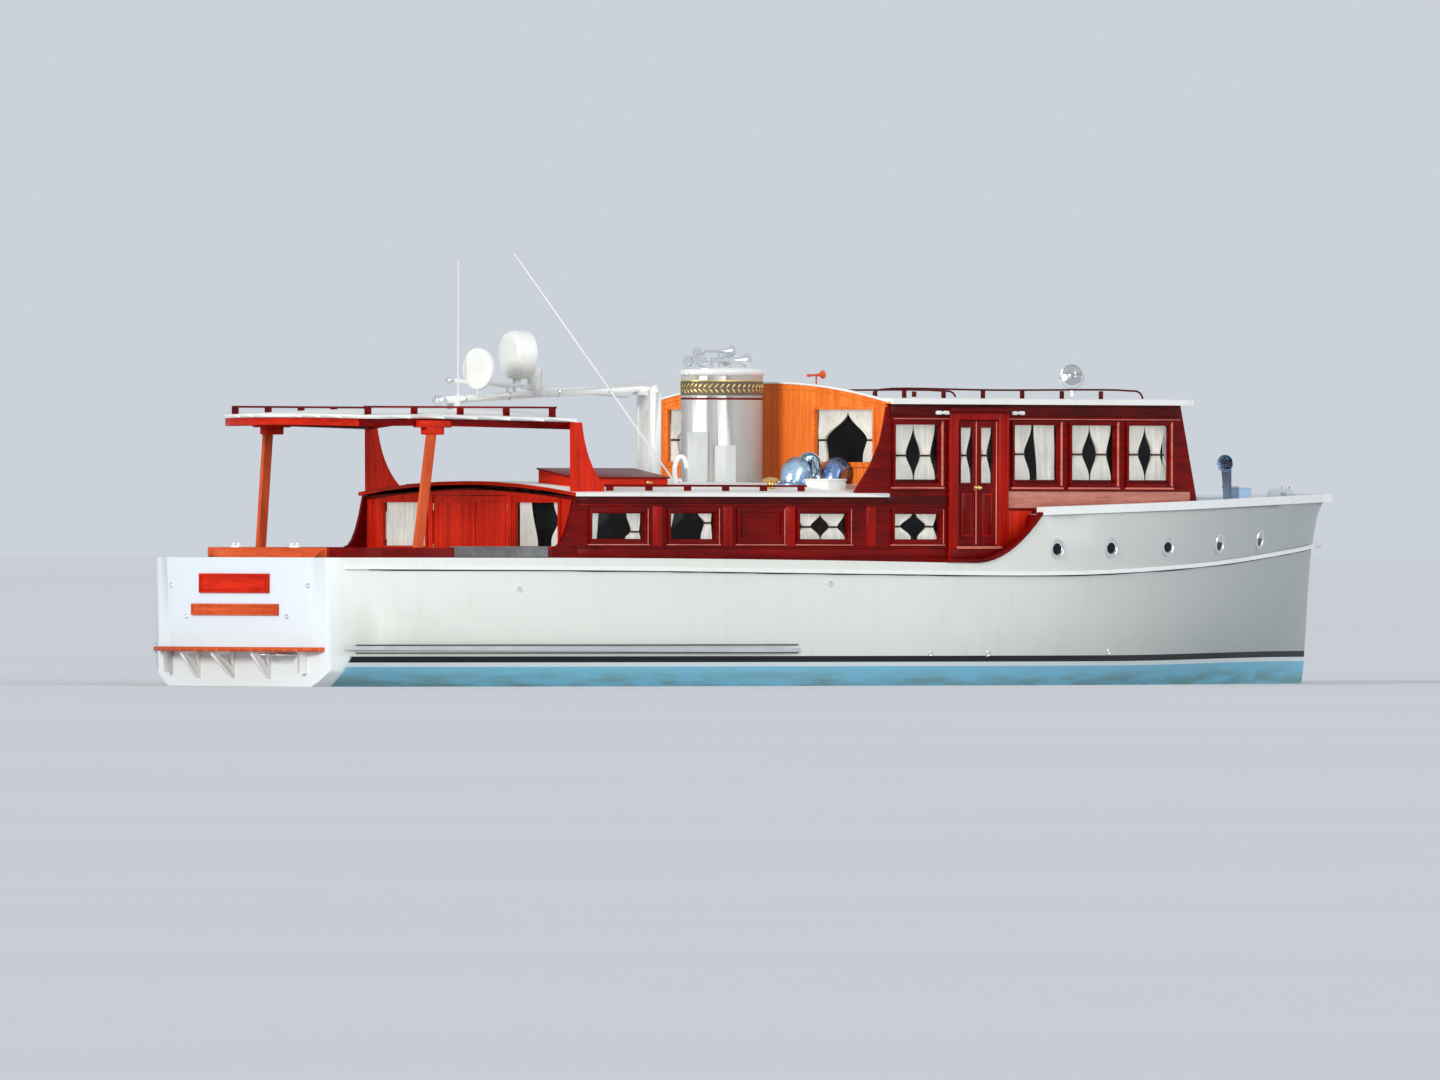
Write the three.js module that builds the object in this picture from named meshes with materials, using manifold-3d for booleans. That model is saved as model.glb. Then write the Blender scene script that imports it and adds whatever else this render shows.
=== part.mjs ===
// A 22 m wooden motor yacht lived aboard as a houseboat: white round-bilged hull with a raised
// foredeck, varnished trunk cabin and wheelhouse, canopy over the aft cockpit, a dummy funnel,
// a mast that folds aft and twin screws. Millimetres, +X forward, +Y port, +Z up.
// Lengths along the boat are written from the transom, and the whole boat is then shifted so
// that its origin is amidships on the waterline.
import * as THREE from 'three';
import { mergeVertices } from 'three/addons/utils/BufferGeometryUtils.js';
import Module from 'manifold-3d';

const wasm = await Module();
wasm.setup();

// Driving dimensions of the hull
const MIDSHIP = 11000; // the origin's distance from the transom
const GAP = 0.3; // clearance between pieces that touch
const SEAM = 4; // clearance along a curved seam
const HULL_TOP = 2900; // the height to which the sides are lofted before the decks are cut
const TRANSOM_CAMBER = 300; // how far the transom's corners lie ahead of its middle
const QUARTER_RADIUS = 420;
const SWEEP_START = 12100; // where the side starts to rise towards the foredeck
const SWEEP_END = 13400; // where it reaches the raised foredeck
const BULWARK = 60; // thickness of the side where it stands above the deck
const CAP_THICK = 120;
const FOREDECK_CROWN = 110;

// Driving dimensions of the cockpit and cabins
const COCKPIT_FLOOR = 1030;
const COCKPIT_AFT = 640;
const COCKPIT_HALF = 1520; // half the width of the cockpit well
const SALOON_FLOOR = 800;
const TRUNK_AFT = 4620; // outer face of the bulkhead with the aft doors
const TRUNK_EDGE = 2650; // underside of the trunk roof at its edge
const TRUNK_ROOF_THICK = 50;
const TRUNK_CROWN = 160;
const HOUSE_AFT = 10550; // outer face of the wheelhouse's aft bulkhead
const HOUSE_FRONT_LOW = 17040; // the raked front at the foredeck
const HOUSE_FRONT_HIGH = 16650; // and at the roof
const HOUSE_FRONT_CAMBER = 420; // how far the front bows out at the centreline
const HOUSE_EDGE = 3960; // underside of the wheelhouse roof at its edge
const HOUSE_ROOF_THICK = 75;
const HOUSE_CROWN = 35;
const PARAPET = { side: 3985, middle: 4250 }; // the arched top of the wheelhouse's aft bulkhead
const HOUSE_FLOOR = 1850;
const HOUSE_FLOOR_THICK = 60;
const WALL = 45; // thickness of a cabin wall
const GLASS = 8;
const DOOR_GAP = 8; // running clearance round a door leaf

// Curves along the boat, each a row of [distance from transom, value]
const MAIN_DECK = curve([[0, 1790], [5000, 1790], [9000, 1762], [12100, 1725], [14000, 1720]]);
const CAP_UNDERSIDE = curve([[13000, 2385], [16000, 2465], [19000, 2550], [22000, 2600]]);
const GUARD_HEIGHT = curve([
  [0, 1660], [5000, 1645], [10000, 1600], [14000, 1585], [17100, 1700], [19500, 1850], [21600, 1975],
]);
const STRAKE_HEIGHT = curve([[300, 545], [9000, 500]]);
const COAMING = { thick: 70, tall: 140, aft: 500, corner: 160, corner_half: 1200 };
const COAMING_SIDE = curve([[640, 1185], [1000, 1390], [1310, 1500], [2045, 1600], [4170, 2085]]);
const CABIN_SIDE = curve([
  [4000, 2080], [4620, 2120], [7000, 2240], [10550, 2320], [13000, 2300], [15000, 2225], [17200, 2095],
]);
const STEM = curve([
  [-620, 20930], [-300, 21180], [0, 21330], [600, 21400], [1200, 21450], [1900, 21520], [2400, 21650],
  [2900, 21920],
]);
const STEM_FOOT = -560; // the lowest point of the stem above the keel
const STEM_FREE = 15500; // stations aft of this one stand upright

// Hull sections. Columns: distance from the transom, keel height, then half-breadth and height of
// the floor turn and of the bilge, then half-breadths on the waterline, 550 mm above it, at the
// main deck and at the top of the raised side.
const SECTIONS = [
  [-400, -110, 700, -90, 1120, -40, 1290, 1870, 1690, 1640],
  [0, -160, 750, -135, 1180, -70, 1400, 1930, 1760, 1700],
  [1200, -290, 780, -250, 1330, -140, 1680, 2080, 1950, 1890],
  [2500, -420, 800, -370, 1470, -220, 1920, 2210, 2120, 2070],
  [5000, -680, 850, -590, 1630, -360, 2190, 2400, 2390, 2350],
  [8000, -850, 900, -740, 1760, -460, 2330, 2500, 2510, 2490],
  [11000, -930, 900, -810, 1760, -500, 2330, 2510, 2560, 2550],
  [14000, -950, 760, -820, 1520, -500, 2090, 2350, 2530, 2560],
  [16500, -940, 480, -810, 1060, -490, 1530, 1860, 2250, 2390],
  [18500, -900, 250, -770, 590, -470, 860, 1120, 1590, 1850],
  [20200, -800, 90, -680, 210, -420, 310, 430, 720, 900],
  [21000, -690, 25, -590, 60, -370, 90, 135, 240, 330],
  [21330, -560, 0, -480, 0, -300, 0, 0, 0, 0],
];
const SECTION_HEIGHTS = { side: 550, deck: 1760, top: HULL_TOP };

// A smooth curve through a few [place, value] rows, as a function of the place.
function curve(rows) {
  const slopes = rows.map((row, i) => {
    const before = rows[Math.max(i - 1, 0)];
    const after = rows[Math.min(i + 1, rows.length - 1)];
    return (after[1] - before[1]) / (after[0] - before[0]);
  });
  return (place) => {
    let i = 0;
    while (i < rows.length - 2 && place > rows[i + 1][0]) i += 1;
    const span = rows[i + 1][0] - rows[i][0];
    const t = (place - rows[i][0]) / span;
    if (t < 0) return rows[i][1] + t * span * slopes[i];
    if (t > 1) return rows[i + 1][1] + (t - 1) * span * slopes[i + 1];
    const a = (1 + 2 * t) * (1 - t) ** 2 * rows[i][1] + t * (1 - t) ** 2 * span * slopes[i];
    const b = t * t * (3 - 2 * t) * rows[i + 1][1] + t * t * (t - 1) * span * slopes[i + 1];
    return a + b;
  };
}

// Even steps from one place to another, both ends included.
function steps(from, to, count) {
  return Array.from({ length: count + 1 }, (_, i) => from + ((to - from) * i) / count);
}

// A closed three.js mesh as a solid that can be joined and cut.
function solid(geometry) {
  const bare = geometry.clone();
  bare.deleteAttribute('normal');
  bare.deleteAttribute('uv');
  const merged = mergeVertices(bare, 1e-3);
  const mesh = new wasm.Mesh({
    numProp: 3,
    vertProperties: new Float32Array(merged.attributes.position.array),
    triVerts: new Uint32Array(merged.index.array),
  });
  return new wasm.Manifold(mesh);
}

// A solid back as a three.js mesh.
function geometryOf(body) {
  const mesh = body.getMesh();
  const geometry = new THREE.BufferGeometry();
  geometry.setAttribute('position', new THREE.BufferAttribute(mesh.vertProperties, 3));
  geometry.setIndex(new THREE.BufferAttribute(mesh.triVerts, 1));
  geometry.computeVertexNormals();
  return geometry;
}

// Several solids joined into one.
function join(...bodies) {
  return bodies.reduce((whole, body) => whole.add(body));
}

// A skin through rings with the same number of points, closed by a fan at each end. Points that
// coincide are one point, so a ring may shrink to a line or a point.
function loft(rings) {
  const points = [];
  const numbers = new Map();
  const faces = [];
  const number = (p) => {
    const key = p.map((c) => Math.round(c * 100)).join();
    if (!numbers.has(key)) {
      numbers.set(key, points.length);
      points.push(p);
    }
    return numbers.get(key);
  };
  const face = (a, b, c) => {
    if (a !== b && b !== c && c !== a) faces.push(a, b, c);
  };
  const grid = rings.map((ring) => ring.map(number));
  const size = rings[0].length;
  for (let r = 0; r + 1 < rings.length; r += 1) {
    for (let k = 0; k < size; k += 1) {
      const next = (k + 1) % size;
      face(grid[r][k], grid[r + 1][k], grid[r + 1][next]);
      face(grid[r][k], grid[r + 1][next], grid[r][next]);
    }
  }
  for (const [ring, ends, flip] of [[rings[0], grid[0], false], [rings.at(-1), grid.at(-1), true]]) {
    if (new Set(ends).size < size) continue;
    const middle = number([0, 1, 2].map((c) => ring.reduce((sum, p) => sum + p[c], 0) / size));
    for (let k = 0; k < size; k += 1) {
      const next = (k + 1) % size;
      if (flip) face(middle, ends[next], ends[k]);
      else face(middle, ends[k], ends[next]);
    }
  }
  const geometry = new THREE.BufferGeometry();
  geometry.setAttribute('position', new THREE.BufferAttribute(new Float32Array(points.flat()), 3));
  geometry.setIndex(faces);
  return outward(geometry);
}

// Turns a closed mesh's faces round where they point inwards.
function outward(geometry) {
  const place = geometry.attributes.position.array;
  const index = geometry.index.array;
  let volume = 0;
  for (let i = 0; i < index.length; i += 3) {
    const [a, b, c] = [0, 1, 2].map((k) => new THREE.Vector3().fromArray(place, 3 * index[i + k]));
    volume += a.dot(b.cross(c));
  }
  if (volume < 0) {
    for (let i = 0; i < index.length; i += 3) [index[i], index[i + 1]] = [index[i + 1], index[i]];
  }
  return solid(geometry);
}

// An outline in one plane, drawn out between two distances along the third axis.
function prism(outline, plane, from, to) {
  const shape = outline instanceof THREE.Shape
    ? outline
    : new THREE.Shape(outline.map(([u, v]) => new THREE.Vector2(u, v)));
  const geometry = new THREE.ExtrudeGeometry(shape, {
    depth: to - from,
    bevelEnabled: false,
    curveSegments: 8,
  });
  if (plane === 'xy') geometry.translate(0, 0, from);
  if (plane === 'xz') geometry.rotateX(Math.PI / 2).translate(0, to, 0);
  if (plane === 'yz') {
    const turn = new THREE.Matrix4().makeBasis(
      new THREE.Vector3(0, 1, 0),
      new THREE.Vector3(0, 0, 1),
      new THREE.Vector3(1, 0, 0),
    );
    geometry.applyMatrix4(turn).translate(from, 0, 0);
  }
  return solid(geometry);
}

// A plain block between two corners.
function block([x0, y0, z0], [x1, y1, z1]) {
  const geometry = new THREE.BoxGeometry(x1 - x0, y1 - y0, z1 - z0);
  return solid(geometry.translate((x0 + x1) / 2, (y0 + y1) / 2, (z0 + z1) / 2));
}

// A round bar between two points, thinner at its end if a second radius is given.
function bar(from, to, radius, endRadius = radius, sides = 16) {
  const start = new THREE.Vector3(...from);
  const end = new THREE.Vector3(...to);
  const way = end.clone().sub(start);
  const geometry = new THREE.CylinderGeometry(endRadius, radius, way.length(), sides);
  const turn = new THREE.Quaternion().setFromUnitVectors(
    new THREE.Vector3(0, 1, 0),
    way.clone().normalize(),
  );
  const middle = start.add(end).multiplyScalar(0.5);
  return solid(geometry.applyQuaternion(turn).translate(middle.x, middle.y, middle.z));
}

// A profile of [radius, height] rows turned about an upright axis through the origin.
function turned(profile, sides = 24) {
  const points = profile.map(([r, z]) => new THREE.Vector2(r, z));
  return solid(new THREE.LatheGeometry(points, sides).rotateX(Math.PI / 2));
}

// The same piece on the other side of the boat.
function mirrored(body) {
  return body.mirror([0, 1, 0]);
}

// A closed outline moved outwards by a small clearance, corner by corner.
function grownOutline(outline, grow) {
  if (grow === 0) return outline;
  return outline.map(([u, v], i) => {
    const [au, av] = outline.at(i - 1);
    const [bu, bv] = outline[(i + 1) % outline.length];
    const length = Math.hypot(bu - au, bv - av) || 1;
    return [u + (grow * (bv - av)) / length, v - (grow * (bu - au)) / length];
  });
}

// Half-breadth and height of the section curve at a station, from keel to top.
function sectionAt(station) {
  const at = (column) => SECTION_CURVES[column](station);
  const sheer = SECTION_HEIGHTS;
  const marks = [
    [0, at(1)], [at(2), at(3)], [at(4), at(5)], [at(6), 0], [at(7), sheer.side], [at(8), sheer.deck],
    [at(9), sheer.top],
  ];
  const path = new THREE.CatmullRomCurve3(
    marks.map(([y, z]) => new THREE.Vector3(Math.max(y, 0), 0, z)),
    false,
    'centripetal',
  );
  return steps(0, 1, SECTION_STEPS).map((t) => {
    const p = path.getPoint(t);
    return [Math.max(p.x, 0), p.z];
  });
}

const SECTION_STEPS = 14;
const STEM_WL = 21330;
const SECTION_CURVES = SECTIONS[0].map((_, column) => curve(SECTIONS.map((row) => [row[0], row[column]])));

// How far forward a point of an upright section lies once the bow's rake is added.
function raked(station, height) {
  const share = THREE.MathUtils.smoothstep(station, STEM_FREE, STEM_WL);
  return station + share * (STEM(Math.max(height, STEM_FOOT)) - STEM_WL);
}

// A piece whose port half is the exact image of its starboard half.
function evened(body) {
  const starboard = body.intersect(block([-1000, -4000, -2000], [24000, 0, 5000]));
  return starboard.add(mirrored(starboard));
}

// Half-breadth of the hull's side at a place along the boat and a height.
function sideAt(x, height) {
  let station = x;
  for (let pass = 0; pass < 8; pass += 1) station -= raked(station, height) - x;
  const section = sectionAt(Math.min(station, STEM_WL));
  for (let i = section.length - 1; i > 0; i -= 1) {
    const [y1, z1] = section[i];
    const [y0, z0] = section[i - 1];
    if (z0 <= height && height <= z1) return y0 + ((y1 - y0) * (height - z0)) / (z1 - z0);
  }
  return 0;
}

// The deck plan's outline, which rounds the transom and its quarters.
function planOutline() {
  const wide = 2900;
  const half = 1925;
  const bow = 23000;
  const bend = new THREE.CurvePath();
  const corner = [TRANSOM_CAMBER * 0.55, -half + QUARTER_RADIUS * 0.7];
  const turn = TRANSOM_CAMBER + QUARTER_RADIUS;
  const point = (x, y) => new THREE.Vector2(x, y);
  bend.add(new THREE.QuadraticBezierCurve(point(0, 0), point(0, -half * 0.5), point(...corner)));
  bend.add(new THREE.QuadraticBezierCurve(
    point(...corner),
    point(TRANSOM_CAMBER * 0.72, -half),
    point(turn, -half - 40),
  ));
  const quarter = bend.getPoints(9).map((p) => [p.x, p.y]);
  const starboard = [...quarter, [2200, -wide], [bow, -wide]];
  const port = starboard.slice(1).reverse().map(([x, y]) => [x, -y]);
  return [...starboard, ...port];
}

// The whole hull form from keel to the highest side, before decks and wells are cut. A form that
// is grown by the clearance cuts the pieces that lie against the planking.
function hullForm(grow) {
  const stations = [...steps(-400, 20200, 22), 20600, 20850, 21050, 21200, STEM_WL];
  const rings = stations.map((station) => {
    const half = sectionAt(station);
    const port = half.slice(1).reverse().map(([y, z]) => [-y, z]);
    const pinched = station === STEM_WL ? 0 : 1;
    return grownOutline([...port, ...half], grow)
      .map(([y, z]) => [raked(station, z) + grow, y * pinched, z]);
  });
  const whole = loft(rings)
    .intersect(prism(grownOutline(planOutline(), grow), 'xy', -1500, HULL_TOP + 100));
  return evened(whole);
}

// A wall, rail or plank that follows a curve along the boat, from its inner to its outer face.
function along(places, outer, thick, low, high) {
  return loft(places.map((x) => [
    [x, outer(x) - thick, low(x)], [x, outer(x), low(x)], [x, outer(x), high(x)],
    [x, outer(x) - thick, high(x)],
  ]));
}

// A block as wide as a curve on both sides of the centreline.
function between(places, half, low, high) {
  return loft(places.map((x) => [
    [x, -half(x), low(x)], [x, half(x), low(x)], [x, half(x), high(x)], [x, -half(x), high(x)],
  ]));
}

// A roof or deck with a crown, from its underside's edge height.
function crowned(places, half, edge, thick, crown, across = 8) {
  return loft(places.map((x) => {
    const rise = (v) => crown * (1 - v * v);
    const top = steps(1, -1, across).map((v) => [x, v * half(x), edge(x) + thick + rise(v)]);
    const under = steps(-1, 1, across).map((v) => [x, v * (half(x) - 1), edge(x) + rise(v)]);
    return [...top, ...under];
  }));
}

const group = new THREE.Group();
group.position.x = -MIDSHIP;

// Finishes: colour, roughness, metalness
const FINISH = {
  topside: [0xe9e7dd, 0.35, 0],
  white: [0xf2f1ea, 0.4, 0],
  mahogany: [0x7d1309, 0.2, 0],
  varnish: [0xc23a0e, 0.18, 0],
  plank: [0x8d4a24, 0.55, 0],
  glass: [0x1c2226, 0.05, 0],
  bronze: [0xa77b3c, 0.35, 1],
  chrome: [0xd7dadd, 0.08, 1],
  grey: [0x6e7173, 0.6, 0],
  iron: [0x4f5a54, 0.6, 0.2],
};

function add(name, body, finish) {
  const [color, roughness, metalness] = FINISH[finish];
  const material = new THREE.MeshStandardMaterial({ color, roughness, metalness });
  const mesh = new THREE.Mesh(geometryOf(body), material);
  mesh.name = name;
  group.add(mesh);
}

// Adds a starboard piece and its port twin.
function addPair(name, body, finish) {
  add(`${name}_starboard`, body, finish);
  add(`${name}_port`, mirrored(body), finish);
}

// Running gear places, used by the hull's bores as well
const SHAFT = { half: 780, forward: [5750, -560], aft: [1830, -830], radius: 32, bore: 42 };
const RUDDER = { x: 830, half: 780, top: -330, low: -960, stock: 34, bore: 42, bore_top: 20 };
const ENGINE = { x: [10750, 12850], half: [340, 1060], z: [-120, 1080] };

function shaftPoint(x, y) {
  const [x0, z0] = SHAFT.forward;
  const [x1, z1] = SHAFT.aft;
  return [x, y, z0 + ((z1 - z0) * (x - x0)) / (x1 - x0)];
}

// Hull
const form = hullForm(0);
const formGrown = hullForm(GAP);

function sweepHeight(x) {
  const share = THREE.MathUtils.clamp((x - SWEEP_START) / (SWEEP_END - SWEEP_START), 0, 1);
  return MAIN_DECK(SWEEP_START) + (CAP_UNDERSIDE(SWEEP_END) - MAIN_DECK(SWEEP_START)) * share ** 2;
}

// The height of the side's top edge along the whole boat.
function sheer(x) {
  if (x < SWEEP_START) return MAIN_DECK(x);
  return x < SWEEP_END ? sweepHeight(x) : CAP_UNDERSIDE(x);
}

function foredeckHalf(x) {
  return Math.max(sideAt(x, sheer(x)), 60);
}

function hull() {
  const wide = 3200;
  const aftPlaces = steps(-500, SWEEP_START, 16);
  const sweepPlaces = steps(SWEEP_START, SWEEP_END, 12).slice(1);
  const above = prism([
    ...[...aftPlaces, ...sweepPlaces].map((x) => [x, sheer(x)]),
    [SWEEP_END, HULL_TOP + 50], [-500, HULL_TOP + 50],
  ], 'xz', -wide, wide);
  const foredeckTop = crowned(steps(SWEEP_END - 1, 22100, 14), () => 2600, CAP_UNDERSIDE, 600, 0);
  const crown = loft(steps(SWEEP_END, 21700, 16).map((x) => {
    const half = Math.max(foredeckHalf(x) - 30, 15);
    const low = CAP_UNDERSIDE(x) - 200;
    const lift = FOREDECK_CROWN * Math.min(half / 1500, 1);
    const arc = steps(1, -1, 8).map((v) => [x, v * half, CAP_UNDERSIDE(x) + lift * (1 - v * v)]);
    return [...arc, [x, -half, low], [x, half, low]];
  }));
  const deckPocket = between(
    steps(SWEEP_START - 400, SWEEP_END - 60, 8),
    (x) => sideAt(x, 2000) - BULWARK,
    (x) => MAIN_DECK(x),
    () => HULL_TOP,
  );
  const cockpit = between(
    steps(COCKPIT_AFT, TRUNK_AFT + 60, 8),
    (x) => Math.min(COAMING_SIDE(Math.min(x, 4170)) - COAMING.thick - 40, COCKPIT_HALF),
    () => COCKPIT_FLOOR,
    () => HULL_TOP,
  );
  const saloon = between(
    steps(TRUNK_AFT + 60, 10450, 8),
    (x) => CABIN_SIDE(x) - WALL - 60,
    () => SALOON_FLOOR,
    () => HULL_TOP,
  );
  const machinery = block([10600, -1650, -260], [13150, 1650, HOUSE_FLOOR + 10]);
  const wheelhouse = between(
    steps(10450, 16500, 10),
    (x) => CABIN_SIDE(x) - WALL - 60,
    () => HOUSE_FLOOR - HOUSE_FLOOR_THICK,
    () => HULL_TOP,
  );
  const bores = [1, -1].flatMap((side) => {
    const y = side * RUDDER.half;
    return [
      bar(shaftPoint(4600, side * SHAFT.half), shaftPoint(6300, side * SHAFT.half), SHAFT.bore),
      bar([RUDDER.x, y, -600], [RUDDER.x, y, RUDDER.bore_top], RUDDER.bore),
    ];
  });
  const logs = [1, -1].map((side) => bar(
    shaftPoint(5150, side * SHAFT.half),
    shaftPoint(6600, side * SHAFT.half),
    85,
    85,
  ));
  return [above, foredeckTop].reduce((body, cut) => body.subtract(cut), form)
    .add(evened(crown).intersect(form))
    .add(logs[0]).add(logs[1])
    .subtract(deckPocket)
    .subtract(cockpit)
    .subtract(saloon)
    .subtract(wheelhouse)
    .subtract(machinery)
    .subtract(join(...bores));
}
add('hull', hull(), 'topside');

// Keel and deadwood under the hull
function keel() {
  const profile = new THREE.Shape();
  profile.moveTo(1500, -300);
  profile.lineTo(1750, -1120);
  profile.quadraticCurveTo(1800, -1200, 1950, -1205);
  profile.lineTo(17500, -1130);
  profile.quadraticCurveTo(19600, -1080, 20500, -760);
  profile.lineTo(21000, -300);
  profile.lineTo(1500, -300);
  return prism(profile, 'xz', -70, 70).subtract(form.translate(0, 0, -GAP));
}
add('keel', keel(), 'iron');

// Guard rail round both sides, the lower rub strakes and the caps
function guardRail() {
  const places = [...steps(340, 20200, 30), 20700, 21100, 21400, 21620];
  const side = along(
    places,
    (x) => Math.max(sideAt(x, GUARD_HEIGHT(x)), 0) + 42,
    160,
    (x) => GUARD_HEIGHT(x) - 28,
    (x) => GUARD_HEIGHT(x) + 28,
  );
  const nose = between(
    places.filter((x) => x > 20900),
    (x) => Math.max(sideAt(x, GUARD_HEIGHT(x)), 0) + 42,
    (x) => GUARD_HEIGHT(x) - 28,
    (x) => GUARD_HEIGHT(x) + 28,
  );
  return join(side, mirrored(side), nose).subtract(formGrown);
}
add('guard_rail', guardRail(), 'topside');

function strake() {
  const places = steps(330, 8650, 14);
  const outer = (x) => sideAt(x, STRAKE_HEIGHT(x)) + 40 * Math.min(1, (8650 - x) / 500 + 0.1);
  return mirrored(along(places, outer, 130, (x) => STRAKE_HEIGHT(x) - 32, (x) => STRAKE_HEIGHT(x) + 32)
    .subtract(formGrown));
}
addPair('rub_strake', strake(), 'topside');

function foredeckCap() {
  const places = [...steps(SWEEP_END + 10, 20200, 16), 20700, 21100, 21450, 21700];
  const half = (x) => sideAt(x, CAP_UNDERSIDE(x) + 60);
  const outer = along(
    places,
    (x) => half(x) + 30,
    140,
    (x) => CAP_UNDERSIDE(x) + SEAM,
    (x) => CAP_UNDERSIDE(x) + CAP_THICK,
  );
  const nose = prism([
    [21300, -430], [21650, -290], [21830, -130], [21880, 0], [21830, 130], [21650, 290], [21300, 430],
  ], 'xy', CAP_UNDERSIDE(21600) + SEAM, CAP_UNDERSIDE(21600) + CAP_THICK);
  return outer.add(mirrored(outer)).add(nose);
}

function sweepCap() {
  const places = steps(11500, SWEEP_END, 14);
  const lift = (x) => Math.max(sheer(x), MAIN_DECK(x)) + SEAM;
  return mirrored(along(places, (x) => sideAt(x, sheer(x)) + 22, 105, lift, (x) => lift(x) + 45));
}
const cap = foredeckCap();
const hullSolid = hull();
add('foredeck_cap_rail', cap.subtract(hullSolid.translate(0, 0, GAP)), 'white');
addPair('sweep_cap', sweepCap(), 'mahogany');

// Cockpit coaming: a varnished rail round the well, which meets the trunk cabin's sides
function coaming() {
  const low = MAIN_DECK(0) - 10;
  const high = MAIN_DECK(0) + COAMING.tall;
  const side = along(steps(645, 4170, 14), COAMING_SIDE, COAMING.thick, () => low, () => high);
  const stern = loft(steps(-1, 1, 12).map((v) => {
    const x = COAMING.aft + COAMING.corner * v ** 4;
    const y = COAMING.corner_half * v;
    const inner = x + COAMING.thick;
    return [[x, y, low], [inner, y, low], [inner, y, high], [x, y, high]];
  }));
  return join(side, mirrored(side), stern).subtract(hullSolid.translate(0, 0, GAP));
}
add('cockpit_coaming', coaming(), 'mahogany');

// Blank boards on the transom, bent to its curve
function transomBoard(half, low, high) {
  return block([-60, -half, low], [300, half, high])
    .intersect(hullForm(22))
    .subtract(formGrown);
}
add('upper_transom_board', transomBoard(690, 1295, 1565), 'mahogany');
add('lower_transom_board', transomBoard(860, 985, 1145), 'mahogany');

// Swim platform of planks on knees against the transom
const PLATFORM = { half: 1640, depth: 520, corner: [-150, 1420], top: 545, thick: 60 };

function platform() {
  const [cx, cy] = PLATFORM.corner;
  const shape = new THREE.Shape();
  shape.moveTo(320, -PLATFORM.half);
  shape.lineTo(180, -PLATFORM.half);
  shape.quadraticCurveTo(-60, -PLATFORM.half + 30, cx, -cy);
  shape.quadraticCurveTo(-PLATFORM.depth + 20, -cy * 0.6, -PLATFORM.depth, 0);
  shape.quadraticCurveTo(-PLATFORM.depth + 20, cy * 0.6, cx, cy);
  shape.quadraticCurveTo(-60, PLATFORM.half - 30, 180, PLATFORM.half);
  shape.lineTo(320, PLATFORM.half);
  shape.lineTo(320, -PLATFORM.half);
  const plank = prism(shape, 'xy', PLATFORM.top - PLATFORM.thick, PLATFORM.top);
  const knee = (y) => {
    const end = cx + (PLATFORM.depth + cx) * ((y / cy) ** 2 - 1) + 90;
    return prism([
      [end, PLATFORM.top - PLATFORM.thick + 5], [end, 440], [-60, 130], [250, 60],
      [250, PLATFORM.top - PLATFORM.thick + 5],
    ], 'xz', y - 22, y + 22).subtract(prism([
      [end + 110, 445], [-30, 270], [-30, 445],
    ], 'xz', y - 30, y + 30));
  };
  const knees = [-700, 0, 700].map(knee);
  const ends = [-1, 1].map((side) => block([-40, side * 1330 - 22, 180], [300, side * 1330 + 22, 490]));
  return join(plank, ...knees, ...ends).subtract(formGrown);
}
add('swim_platform', platform(), 'plank');

// Swim ladder, stowed flat under the starboard half of the platform and hinged at its edge
const LADDER = { x: -320, y: [-1180, -820], z: 445, length: 350 };

function swimLadder() {
  const [y0, y1] = LADDER.y;
  const rail = (y) => bar([LADDER.x, y, LADDER.z], [LADDER.x + LADDER.length, y, LADDER.z], 14);
  const rung = (x) => bar([x, y0 - 5, LADDER.z], [x, y1 + 5, LADDER.z], 16);
  return join(rail(y0), rail(y1), ...[20, 180, 330].map((d) => rung(LADDER.x + d)));
}
add('swim_ladder', swimLadder(), 'chrome');

// Trunk cabin
const TRUNK_WINDOWS = [ // columns: aft edge, forward edge
  [4880, 5860], [6350, 7210], [8830, 9770], [10690, 11600],
];
const TRUNK_GLASS = { low: 2040, high: 2430 };
const DOORWAY = { aft: 11950, forward: 12770, low: 1970, high: 3740 };
const HOUSE_WINDOWS = [ // columns: aft edge, forward edge
  [10700, 11580], [13110, 14030], [14310, 15230], [15520, 16390],
];
const HOUSE_GLASS = { low: 2850, high: 3670 };
const ROOF_JOIN = 10560; // the trunk roof meets the wheelhouse here

// A window hole through a wall on the starboard side, with small round corners.
function sideHole(aft, forward, low, high, radius = 50) {
  const shape = new THREE.Shape();
  shape.moveTo(aft + radius, low);
  shape.lineTo(forward - radius, low);
  shape.quadraticCurveTo(forward, low, forward, low + radius);
  shape.lineTo(forward, high - radius);
  shape.quadraticCurveTo(forward, high, forward - radius, high);
  shape.lineTo(aft + radius, high);
  shape.quadraticCurveTo(aft, high, aft, high - radius);
  shape.lineTo(aft, low + radius);
  shape.quadraticCurveTo(aft, low, aft + radius, low);
  return prism(shape, 'xz', -2700, -1500);
}

function cabinWall(from, to, low, high, count) {
  return mirrored(along(steps(from, to, count), CABIN_SIDE, WALL, low, high));
}

function trunkSide() {
  const low = (x) => MAIN_DECK(x) + GAP;
  const wall = cabinWall(4560, 11780, low, () => TRUNK_EDGE - GAP, 14);
  const wing = mirrored(along(steps(4180, 4560, 5), CABIN_SIDE, WALL, low, (x) => {
    const share = (x - 4180) / 380;
    return MAIN_DECK(x) + 150 + (TRUNK_EDGE - 150 - MAIN_DECK(x) - GAP) * share ** 2.2;
  }));
  const holes = TRUNK_WINDOWS.map(([aft, forward]) => (
    sideHole(aft, forward, TRUNK_GLASS.low, TRUNK_GLASS.high)));
  return join(wall, wing).subtract(join(...holes));
}
addPair('trunk_side', trunkSide(), 'mahogany');

const AFT_DOORS = { half: 740, low: COCKPIT_FLOOR + 80, high: 2660 };

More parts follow.
